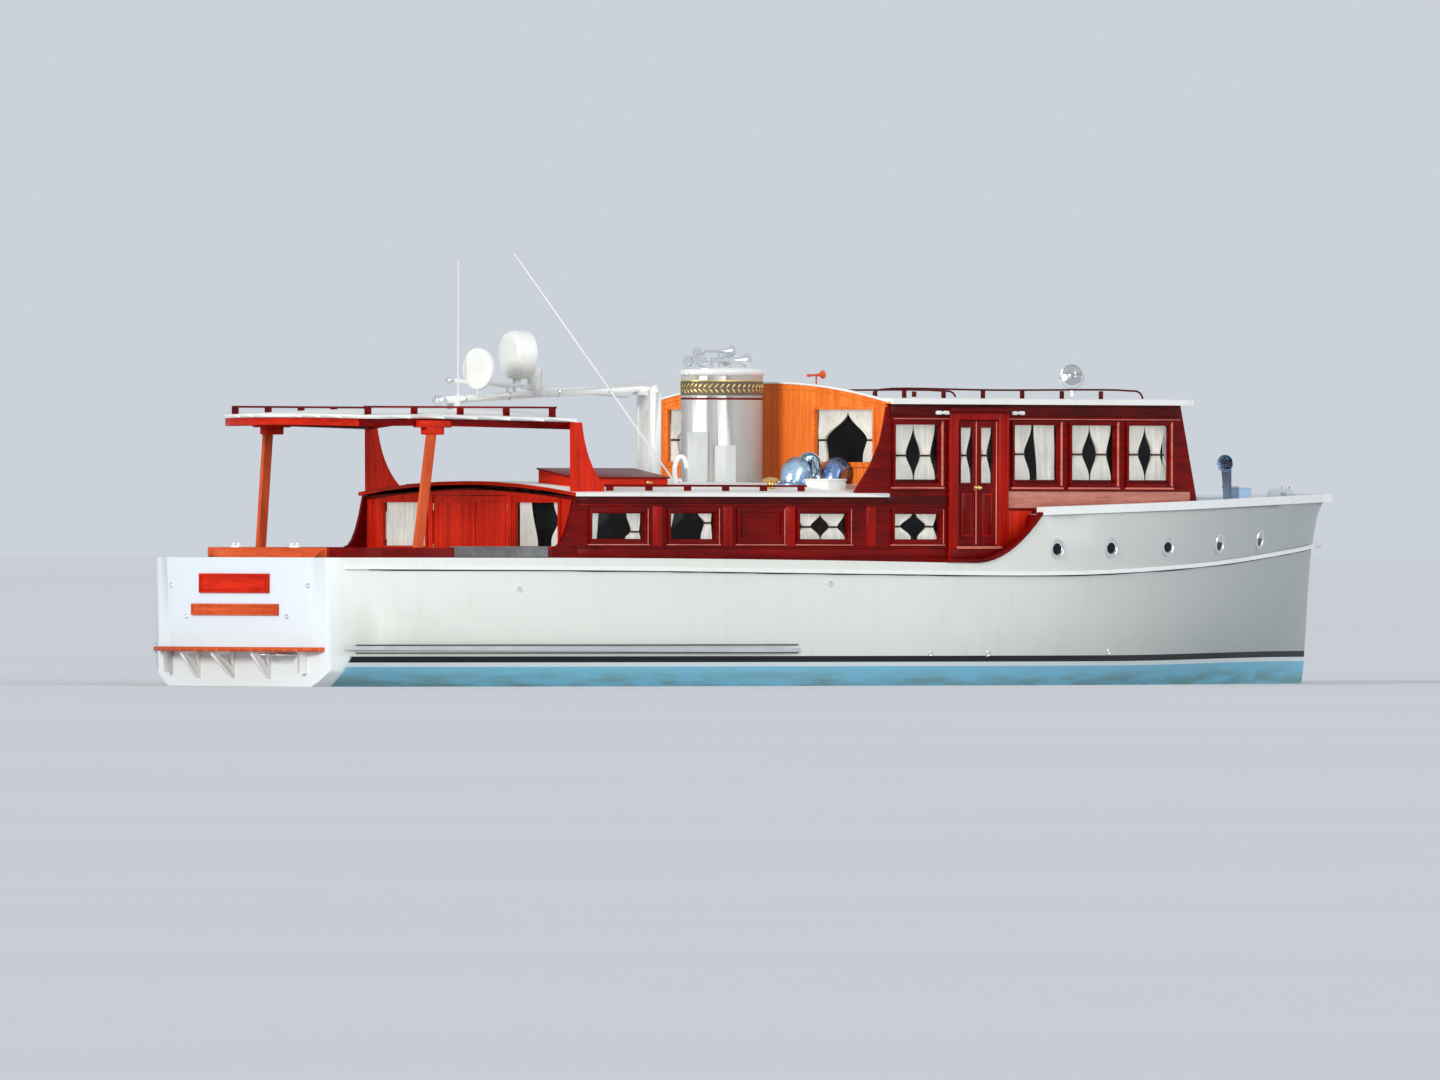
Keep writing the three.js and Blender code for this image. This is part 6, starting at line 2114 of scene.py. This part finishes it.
@dataclass
class Canopy:
    """The cockpit's canopy: pale top, red fascia and handrails, beams below and post heads."""

    under: float = 3.68
    thick: float = 0.05
    rise: float = 0.13
    aft: float = 0.80
    flat: float = 0.45
    run: float = 1.4
    half: float = 2.06
    beams: Sequence[float] = (1.45, 2.0, 2.55, 3.1, 3.65, 4.2)
    beam_depth: float = 0.055
    beam_half: float = 0.022
    beam_ends: tuple[Pair, Pair] = ((1.31, 1.44), (4.66, 1.99))
    fascia_drop: float = 0.05
    rail_lift: float = 0.012
    rail_top: float = 4.0
    rail_inner: float = 0.3

    def build(self) -> None:
        """Finish the canopy's surfaces and set its beams."""
        top = Bench.from_node("canopy")
        Yard.paint(top, Finishes.roof, Finishes.mahogany, Finishes.cream, Finishes.sunlit_flame_across,
                   choose=self.surface)
        Yard.fit_out(top, "cockpit_canopy", slot="white_paint", replaces=["canopy"])
        made = []
        (aft, near), (fore, far) = self.beam_ends
        for place in self.beams:
            reach = near + (place - aft) * (far - near) / (fore - aft)
            wall = Wall("beam", lambda u, o, v, place=place: (
                station(place) + o, u, v + self.crown(place, u)))
            beam = wall.rail(-reach, reach, self.under - self.beam_depth, self.under - 0.001,
                             self.beam_half, -self.beam_half)
            made.append(wall.lay(beam))
        beams = Bench.smoothed(Bench.bevelled(Bench.joined(made), 0.006), 40.0)
        Yard.fit_out(beams, "canopy_beams", Finishes.across)
        rows = []
        for side in SIDES:
            near, far = span(side, 1.515, 1.685)
            rows += [((1.98, near, 3.60), (2.60, far, 3.70)),
                     ((2.12, near + 0.012, 3.50), (2.46, far - 0.012, 3.61))]
        # The post heads take the lighter, sunlit copy of the mahogany.
        Yard.fit_out(blocks(rows, 0.02), "canopy_post_heads", Finishes.sunlit_flame_across)

    def crown(self, place: float, across: float) -> float:
        """Give how far the canopy rises above its edge."""
        share = self.flat + (1 - self.flat) * min(max((place - self.aft) / self.run, 0.0), 1.0)
        return self.rise * share * (1 - (across / self.half) ** 2)

    def surface(self, centre: Vector, normal: Vector) -> int:
        """Pick a face's finish.

        Args:
            centre: The face's centre.
            normal: Its normal.

        Returns:
            0 top, 1 fascia side and handrails, 2 underside, 3 fascia end in the sunlit copy of the mahogany.
        """
        place = centre.x + MIDSHIP
        over = centre.z - self.under - self.crown(place, centre.y)
        if over < -self.fascia_drop or (over < 0.0 and abs(normal.z) < 0.5):
            return 3 if abs(normal.x) > 0.8 else 1
        on_rail = over > self.thick + self.rail_lift and centre.z < self.rail_top
        if on_rail and abs(centre.y) > self.rail_inner:
            return 1
        return 2 if normal.z < -0.5 else 0


@dataclass
class Cockpit:
    """The varnished coaming, its chocks, the ribbed boarding mat and the foredeck's cleats."""

    mat: Pair = (2.6, 4.08)
    ribs: Sequence[float] = (1.815, 1.845, 1.875, 1.905, 1.93)
    chocks: Sequence[float] = (0.50, -0.66)
    cleat: Pair = (20.3, 0.42)

    def build(self) -> None:
        """Dress the coaming and set the cleats."""
        coaming = Bench.from_node("cockpit_coaming")
        # Painted light: the coaming's aft-facing faces take a lighter, sunlit coppery copy of the mahogany.
        Yard.paint(coaming, Finishes.mahogany, Finishes.sunlit_copper_across,
                   choose=lambda c, n: int(n.x < -0.55 and c.x + MIDSHIP < 1.3))
        Yard.fit_out(coaming, "coaming_timber", replaces=["cockpit_coaming"])
        skin = Skin("cockpit_coaming")
        wall = Wall("mat", lambda u, o, v: (station(u), -(skin.half(station(u), 1.87, 1.6) + o), v))
        aft, fore = self.mat
        rows = [wall.rail(aft, fore, 1.80, 1.946, 0.016, 0.001),
                wall.rail(aft, fore, 1.932, 1.95, 0.016, -0.09)]
        rows += [wall.rail(aft, fore, z, z + 0.012, 0.023, 0.01) for z in self.ribs]
        wall.fit(rows, "boarding_mat", Finishes.mat, 0.003, slot="white_paint")
        made = []
        for y in self.chocks:
            made.append(((0.50, y - 0.075, 1.925), (0.60, y + 0.075, 1.955)))
            for end in (-0.065, 0.035):
                made.append(((0.515, y + end, 1.95), (0.585, y + end + 0.03, 1.995)))
        Yard.fit_out(blocks(made, 0.007), "aft_chocks", Finishes.white, slot="white_paint")
        cleats = []
        for side in SIDES:
            x, y = station(self.cleat[0]), side * self.cleat[1]
            z = Skin("hull").top(x, y, 3.0)
            for foot in (x - 0.05, x + 0.05):
                cleats.append(Bench.rod((foot, y, z - 0.02), (foot, y, z + 0.05), 0.013, 12))
            cleats.append(Bench.rod((x - 0.13, y, z + 0.055), (x + 0.13, y, z + 0.055), 0.014, 12))
        Yard.fit_parts(cleats, "deck_cleats", Finishes.chrome, slot="chrome")


@dataclass
class Transom:
    """Moulded edges of the two blank boards, and the small rims on the hull's skin."""

    # Both mouldings take lighter, sunlit copies of the mahogany.
    boards: Sequence[tuple[str, float, float, float, Finish]] = (
        # node, half width, foot, head, finish
        ("upper_transom_board", 0.69, 1.295, 1.565, Finishes.sunlit_flame),
        ("lower_transom_board", 0.86, 0.985, 1.145, Finishes.sunlit_copper),
    )
    rims: Sequence[tuple[float, float, bool, float]] = (
        # from transom or across, height, whether it is on the transom, radius
        (-1.36, 1.40, True, 0.035), (-1.0, 0.97, True, 0.035), (3.35, 1.35, False, 0.04),
        (9.2, 1.43, False, 0.04), (12.45, 0.45, False, 0.045), (11.25, 0.45, False, 0.035),
        (15.2, 0.47, False, 0.04))
    cuts: int = 11

    def build(self) -> None:
        """Fix the mouldings and the rims."""
        for node, half, low, high, finish in self.boards:
            skin = Skin(node)
            middle = (low + high) / 2

            def place(u: float, o: float, v: float, skin: Skin = skin, middle: float = middle,
                      half: float = half) -> Point:
                """Give a point off the board's aft face."""
                found = skin.end(max(min(u, half - 0.01), 0.01 - half), middle)
                return (found[0].x - o, u, v)

            wall = Wall(node, place)
            width = 0.03
            ring = Bench.frame((-half + width, low + width), (half - width, high - width), width,
                               (-0.002, 0.016), self.cuts)
            inner = Bench.frame((-half + 0.065, low + 0.05), (half - 0.065, high - 0.05), 0.008,
                                (-0.002, 0.009), self.cuts)
            wall.fit([ring, inner], f"{node}_moulding", finish)
        hull = Skin("hull")
        profile = ((0.55, -0.01), (0.55, 0.006), (0.8, 0.012), (1.0, 0.006), (1.05, -0.01), (0.55, -0.01))
        made = []
        for at, height, aft, radius in self.rims:
            point, normal = hull.end(at, height) if aft else hull.side(station(at), height)
            made.append(Bench.turned([(r * radius, d) for r, d in profile], point, normal, 20))
        Yard.fit_both(made, "skin_fittings", Finishes.chrome, "chrome")


@dataclass
class RoofGear:
    """Handrails, horn, lids and the rest of what stands on the roofs."""

    rail_half: float = 1.86
    rail_top: float = 4.165
    rail_blocks: Sequence[float] = (11.35, 12.14, 12.93, 13.72, 14.52, 15.31)
    box: Box = (5.10, 6.98, -1.53, -0.86)
    box_tops: Pair = (2.90, 3.02)
    horn: Pairs = (
        (0.0, 0.0), (0.022, 0.0), (0.022, 0.05), (0.014, 0.06), (0.016, 0.18), (0.03, 0.26),
        (0.058, 0.30), (0.062, 0.305), (0.05, 0.30), (0.0, 0.24))
    mushroom: Pairs = (
        (0.0, 0.0), (0.075, 0.0), (0.06, 0.02), (0.05, 0.10), (0.115, 0.105), (0.12, 0.12),
        (0.10, 0.145), (0.05, 0.165), (0.0, 0.17))

    def build(self) -> None:
        """Set the pieces on the roofs."""
        roof = Skin("wheelhouse_roof")
        for side, name in SIDES.items():
            y = side * self.rail_half
            deck, top = roof.top(station(13.0), y, fallback=4.04), self.rail_top
            points = [(station(x), y, z) for x, z in (
                (10.72, deck + 0.01), (10.76, top - 0.04), (10.9, top), (13.2, top), (15.9, top),
                (16.1, top - 0.03), (16.16, deck + 0.01))]
            rail = Bench.tube(points, 0.014)
            feet = blocks([((x - 0.035, y - 0.016, deck - 0.01), (x + 0.035, y + 0.016, top - 0.008))
                           for x in self.rail_blocks])
            # The handrails take the darker copy of the mahogany that paints in shade.
            Yard.fit_parts([rail, feet], f"wheelhouse_handrail_{name}", Finishes.shadow)
        x, y, z = station(10.72), -0.74, 4.36
        horn = Bench.turned(self.horn, (x - 0.17, y, z), (1, 0, 0.05), 24)
        stand = Bench.rod((x, y, 4.05), (x, y, z), 0.012)
        # The horn takes the sunlit coppery copy of the mahogany.
        Yard.fit_parts([horn, stand], "small_horn", Finishes.sunlit_copper, slot="bright_varnish")
        aft, fore, outer, inner = self.box
        low, high = self.box_tops
        slope = (high - low) / (inner - outer)
        lid = Wall("lid", lambda u, o, v: (station(u), o, v + low + (o - outer) * slope))
        lid.fit([Bench.block((aft - 0.025, outer - 0.02, 0.001), (fore + 0.025, inner + 0.02, 0.024))],
                "roof_box_lid", Finishes.mahogany, 0.006)
        rows = [((aft + a, outer - 0.012, 2.83), (aft + b, outer + 0.002, 2.86))
                for a, b in ((0.3, 0.42), (1.46, 1.58))]
        Yard.fit_out(blocks(rows, 0.004), "roof_box_handles", Finishes.brass, slot="bronze")
        rows = [((9.735, -1.965, 2.872), (10.115, -1.485, 2.906)),
                ((19.385, -0.635, 2.79), (19.665, -0.285, 2.82))]
        Yard.fit_out(blocks(rows, 0.01), "locker_lids", Finishes.roof, slot="white_paint")
        self.vents()

    def vents(self) -> None:
        """Stand the mushroom vents and the swan-neck pipe on the trunk roof."""
        trunk = Skin("trunk_roof")
        made = []
        for x, y in ((8.75, -1.80), (8.75, 1.80)):
            foot = trunk.top(station(x), y, 2.95)
            made.append(Bench.turned(self.mushroom, (station(x), y, foot - 0.005), sides=28))
        Yard.fit_parts(made, "mushroom_vents", Finishes.brass, slot="bronze")
        x, y = station(7.75), -0.92
        neck = Bench.tube([(x, y, 2.8), (x, y, 3.12), (x + 0.07, y - 0.03, 3.21), (x + 0.14, y - 0.06, 3.12),
                           (x + 0.15, y - 0.065, 3.05)], 0.035, 4)
        Yard.fit_out(Bench.smoothed(neck), "swan_neck_vent", Finishes.white, slot="white_paint")


@dataclass
class MastFittings:
    """Cap, boom ball and lashing hoops on the lowered mast."""

    end: Sequence[float] = (4.0, 0.0, 3.985)
    heel: Sequence[float] = (8.03, 0.0, 4.19)
    boom_end: Sequence[float] = (4.2, 0.0, 4.265)
    hoops: Sequence[float] = (0.18, 0.42, 0.66, 0.88)
    cap: Pairs = (
        (0.0, 0.0), (0.055, 0.0), (0.074, 0.015), (0.076, 0.11), (0.06, 0.135), (0.03, 0.15), (0.0, 0.155))
    ball: Pairs = (
        (0.0, 0.0), (0.03, 0.005), (0.05, 0.035), (0.052, 0.06), (0.035, 0.095), (0.0, 0.11))

    def build(self) -> None:
        """Fit the ends and the hoops."""
        end, heel, ball = (Vector((station(p[0]), p[1], p[2])) for p in (self.end, self.heel, self.boom_end))
        way = (end - heel).normalized()
        made = [Bench.turned(self.cap, end - way * 0.05, way, 28),
                Bench.turned(self.ball, ball + Vector((0.03, 0, 0)), (-1, 0, 0), 24)]
        for share in self.hoops:
            inner = 0.066 - 0.017 * share
            outer = inner + 0.006
            hoop = ((inner, 0), (outer, 0.004), (outer, 0.026), (inner, 0.03), (inner, 0))
            made.append(Bench.turned(hoop, heel.lerp(end, share), way, 28))
        Yard.fit_parts(made, "mast_metalwork", Finishes.chrome, "mast", "chrome")


@dataclass
class Helm:
    """What shows through the glass: console, joinery, near-black partitions painting shade, and the wheel.
    """

    hub: Sequence[float] = (15.9, -0.45, 2.72)
    wheel: float = 0.27
    spokes: int = 8
    joinery: Sequence[tuple[Point, Point]] = (
        ((15.98, -0.95, 1.851), (16.35, 0.95, 2.70)), ((15.94, -0.98, 2.70), (16.38, 0.98, 2.735)),
        ((13.4, 1.55, 1.851), (15.7, 1.98, 2.60)), ((13.38, 1.53, 2.60), (15.72, 1.99, 2.63)),
        ((10.75, -1.6, 1.851), (11.5, -0.9, 2.58)), ((10.72, -1.63, 2.58), (11.53, -0.87, 2.61)),
        ((5.1, 1.25, 0.802), (9.9, 1.75, 1.68)), ((5.08, 1.22, 1.68), (9.92, 1.77, 1.71)),
        ((6.2, -1.72, 0.802), (9.4, -1.25, 1.6)), ((6.18, -1.75, 1.6), (9.42, -1.22, 1.63)))
    partitions: Sequence[tuple[Point, Point]] = (
        ((4.95, 0.32, 0.802), (10.45, 0.36, 2.66)), ((4.95, -0.36, 0.802), (10.45, -0.32, 2.66)),
        ((15.27, -2.2, 1.851), (15.31, 2.2, 3.93)), ((16.40, 1.28, 1.851), (16.44, 1.98, 3.90)),
        ((16.40, -1.98, 1.851), (16.44, -1.28, 3.90)), ((11.3, 0.30, 1.851), (14.25, 0.34, 3.93)))

    def build(self) -> None:
        """Stand the joinery and the wheel."""
        Yard.fit_out(blocks(self.joinery, 0.01), "cabin_joinery", Finishes.mahogany)
        # Painted shade: near-black partitions behind the windows, where the cabins' shade falls.
        Yard.fit_out(blocks(self.partitions, 0.004), "cabin_partitions", Finishes.lining)
        hub = Vector((station(self.hub[0]), self.hub[1], self.hub[2]))
        bpy.ops.object.select_all(action="DESELECT")
        bpy.ops.mesh.primitive_torus_add(location=hub, rotation=(0, math.pi / 2, 0), major_radius=self.wheel,
                                         minor_radius=0.016, major_segments=40, minor_segments=10)
        boss = ((0.0, 0.0), (0.05, 0.0), (0.055, 0.03), (0.03, 0.05), (0.0, 0.055))
        made = [Bench.settled(), Bench.turned(boss, hub + Vector((0.02, 0, 0)), (-1, 0, 0), 24),
                Bench.rod(hub, hub + Vector((0.1, 0, 0)), 0.018)]
        for number in range(self.spokes):
            turn = 2 * math.pi * number / self.spokes
            tip = hub + Vector((0, math.cos(turn), math.sin(turn))) * (self.wheel + 0.09)
            made.append(Bench.rod(hub, tip, 0.010, 10, 0.014))
        Yard.fit_parts(made, "steering_wheel", Finishes.mahogany)


@dataclass
class DeckEdge:
    """Dark beads, both sides: a painted shadow line under the guard rail, and lines along the rub strakes.
    """

    reach: Pair = (0.75, 21.35)
    radius: float = 0.011
    clear: float = 0.006
    heights: Pair = (1.5, 2.0)
    strake: Pair = (0.42, 8.6)
    strake_height: float = 0.523
    strake_edges: Pair = (0.466, 0.577)
    strake_radius: float = 0.009

    def build(self) -> None:
        """Run the beads along the hull."""
        hull, guard, strake = Skin("hull"), Skin("guard_rail"), Skin("rub_strake_starboard")
        points = []
        for place in steps(*self.reach, 48):
            x = station(place)
            for z in steps(*self.heights, 50):
                out = hull.half(x, z, 0.05) + self.clear
                if guard.half(x, z) > out:
                    points.append((x, -out, z - self.radius))
                    break
        beads = [Bench.tube(points, self.radius, 2)]
        for height in self.strake_edges:
            line = [(x, -strake.half(x, self.strake_height, 2.0) - 0.001, height)
                    for x in map(station, steps(*self.strake, 24))]
            beads.append(Bench.tube(line, self.strake_radius, 2))
        # Painted shadow: the black bead under the guard rail stands for the shade beneath it.
        Yard.fit_both(beads, "hull_beads", Finishes.rubber, "white_paint")


@dataclass
class SwimPlatform:
    """Slatted platform with an edge in the sunlit coppery copy of the mahogany, on white knees."""

    edge_low: float = 0.484

    def build(self) -> None:
        """Tell the platform's surfaces apart."""
        piece = Bench.from_node("swim_platform", 30.0)
        Yard.paint(piece, Finishes.platform, Finishes.sunlit_copper_across, Finishes.white, choose=lambda c, n: (
            2 if c.z < self.edge_low else 0 if n.z > 0.7 else 1))
        Yard.fit_out(piece, "boarding_platform", slot="teak_plank", replaces=["swim_platform"])


@dataclass
class FunnelHorns:
    """Trumpet horns with their compressor on the funnel's cap."""

    trumpets: Sequence[tuple[float, float, float, float, float]] = (
        # start from transom, across, height, length, bell radius
        (9.12, -0.15, 4.57, 0.80, 0.10), (9.16, 0.01, 4.70, 0.62, 0.08), (9.14, 0.15, 4.58, 0.66, 0.09))
    drums: Sequence[Box] = (
        # from transom, across, height, radius
        (9.0, -0.12, 4.56, 0.085), (9.06, 0.02, 4.68, 0.075), (8.98, 0.12, 4.56, 0.08))
    drum: Pairs = (
        # share of the radius, distance ahead
        (0.0, 0.0), (0.8, 0.0), (1.0, 0.02), (1.0, 0.07), (0.7, 0.085), (0.7, 0.11), (0.3, 0.125),
        (0.0, 0.125))
    deck: float = 4.36

    def build(self) -> None:
        """Turn the trumpets and the drums."""
        made = []
        for x, y, z, length, bell in self.trumpets:
            profile = [(0.0, 0.0), (0.026, 0.0), (0.03, 0.03), (0.018, 0.05), (0.022, length * 0.5),
                       (0.034, length * 0.74), (bell * 0.62, length * 0.9), (bell, length),
                       (bell * 1.06, length + 0.004), (bell * 0.9, length), (bell * 0.5, length * 0.9),
                       (0.0, length * 0.8)]
            made.append(Bench.turned(profile, (station(x), y, z), (1, 0, 0), 28))
            for share in (0.12, 0.6):
                foot = station(x + length * share)
                made.append(Bench.rod((foot, y, self.deck), (foot, y, z), 0.012, 10))
        for x, y, z, radius in self.drums:
            profile = [(radius * out, ahead) for out, ahead in self.drum]
            made.append(Bench.turned(profile, (station(x), y, z), (1, 0, 0), 24))
        made.append(blocks([((8.98, -0.19, self.deck - 0.005), (9.80, 0.19, self.deck + 0.10))], 0.01))
        Yard.fit_parts(made, "trumpet_horns", Finishes.chrome, slot="chrome", replaces=["air_horns"])


@dataclass
class Lamp:
    """The polished searchlight on its swivel."""

    centre: Sequence[float] = (15.7, -0.9, 4.385)
    radius: float = 0.15
    foot: float = 4.05
    way: Sequence[float] = (-0.72, -0.69, 0.06)
    drum: Pairs = (
        # shares of the radius
        (0.0, -0.9), (0.3, -0.88), (0.7, -0.6), (0.92, -0.1), (0.94, 0.3), (1.06, 0.34), (1.06, 0.5),
        (0.96, 0.52), (0.9, 0.36), (0.5, 0.1), (0.16, 0.02), (0.16, 0.3), (0.0, 0.34))
    lens: Pairs = ((0.0, 0.46), (0.6, 0.44), (0.95, 0.38), (0.95, 0.35), (0.0, 0.43))
    post: Pairs = (
        (0.0, 0.0), (0.07, 0.0), (0.07, 0.015), (0.03, 0.035), (0.022, 0.14), (0.0, 0.15))

    def build(self) -> None:
        """Turn the drum, its lens and its swivel."""
        centre = Vector((station(self.centre[0]), self.centre[1], self.centre[2]))
        way, r = Vector(self.way).normalized(), self.radius
        drum = Bench.turned([(a * r, b * r) for a, b in self.drum], centre, way, 36)
        level = Vector((-way.y, way.x, 0)).normalized()
        side, drop = 1.16 * r, Vector((0, 0, 0.1))
        yoke = Bench.tube([centre + level * side, centre + level * side * 0.9 - drop,
                           centre - Vector((0, 0, 0.19)), centre - level * side * 0.9 - drop,
                           centre - level * side], 0.013)
        post = Bench.turned(self.post, (centre.x, centre.y, self.foot), sides=24)
        pins = [Bench.rod(centre + level * side * k, centre + level * r * 0.85 * k, 0.018, 12)
                for k in (-1, 1)]
        Yard.fit_parts([drum, yoke, post, *pins], "searchlight_chrome", Finishes.chrome,
                       slot="chrome", replaces=["searchlight"])
        lens = Bench.turned([(a * r, b * r) for a, b in self.lens], centre, way, 36)
        Yard.fit_out(Bench.smoothed(lens), "searchlight_lens", Finishes.lens, slot="window_glass")


@dataclass
class HouseFront:
    """Frames, sill and curtains of the wheelhouse's bowed, raked front."""

    low: Pair = (17.04, 2.5)
    high: Pair = (16.65, 3.96)
    camber: float = 0.42
    half: float = 2.045
    windows: Sequence[float] = (-1.62, -0.82, 0.0, 0.82, 1.62)
    pane: Point = (0.35, 2.85, 3.67)
    curtained: float = 1.5

    def place(self, u: float, o: float, v: float) -> Point:
        """Give a point off the front's outer face.

        Args:
            u: Place along the front, to port.
            o: Distance out of its face.
            v: Height.

        Returns:
            The point.
        """
        (x0, z0), (x1, z1) = self.low, self.high
        share = (v - z0) / (z1 - z0)
        return (station(x0 + (x1 - x0) * share + self.camber * (1 - (u / self.half) ** 2)) + o, u, v)

    def build(self) -> None:
        """Trim the front and curtain its outer windows."""
        wall = Wall("house_front", self.place)
        half, low, high = self.pane
        reach = self.half - 0.02
        frames = [wall.frame((y - half, low), (y + half, high), 0.028, 0.02) for y in self.windows]
        frames += [wall.rail(-reach, reach, 2.742, 2.775, 0.034),
                   wall.rail(-reach, reach, 3.755, 3.785, 0.03)]
        # A sunlit reddish copy of the mahogany on the frames, and painted shade on the frieze under the
        # eave.
        wall.fit(frames, "house_front_frames", Finishes.sunlit_flame_across)
        wall.fit([wall.rail(-reach, reach, 3.787, 3.95, 0.016)], "house_front_frieze", Finishes.shadow)
        for number, y in enumerate(self.windows, 1):
            if abs(y) > self.curtained:
                Draper(wall, f"front_window_{number}").hang(
                    (y - half, low), (y + half, high), centred_pair(0.2, 0.5, 5), out=-0.105)


def main() -> None:
    """Build the boat piece by piece."""
    logging.basicConfig(level=logging.INFO, format="%(message)s")
    bpy.context.scene.view_settings.view_transform = "Standard"
    Studio().build()
    coat_nodes()
    line = CabinLine()
    for part in (Hull(), DeckEdge(), Portholes(), Transom(), SwimPlatform(), Cockpit(), Canopy(),
                 TrunkCabin(line), AftEnd(), Wheelhouse(line), SideDoors(), HouseEnd(), HouseFront(),
                 RoofGear(), Lamp(), Funnel(), FunnelHorns(), MastFittings(), Domes(), Cowls(), Helm(),
                 SmoothCopies()):
        before = len(Yard.made)
        part.build()
        log.info("%s: %s", type(part).__name__, ", ".join(Yard.made[before:]))


if __name__ == "__main__":
    main()
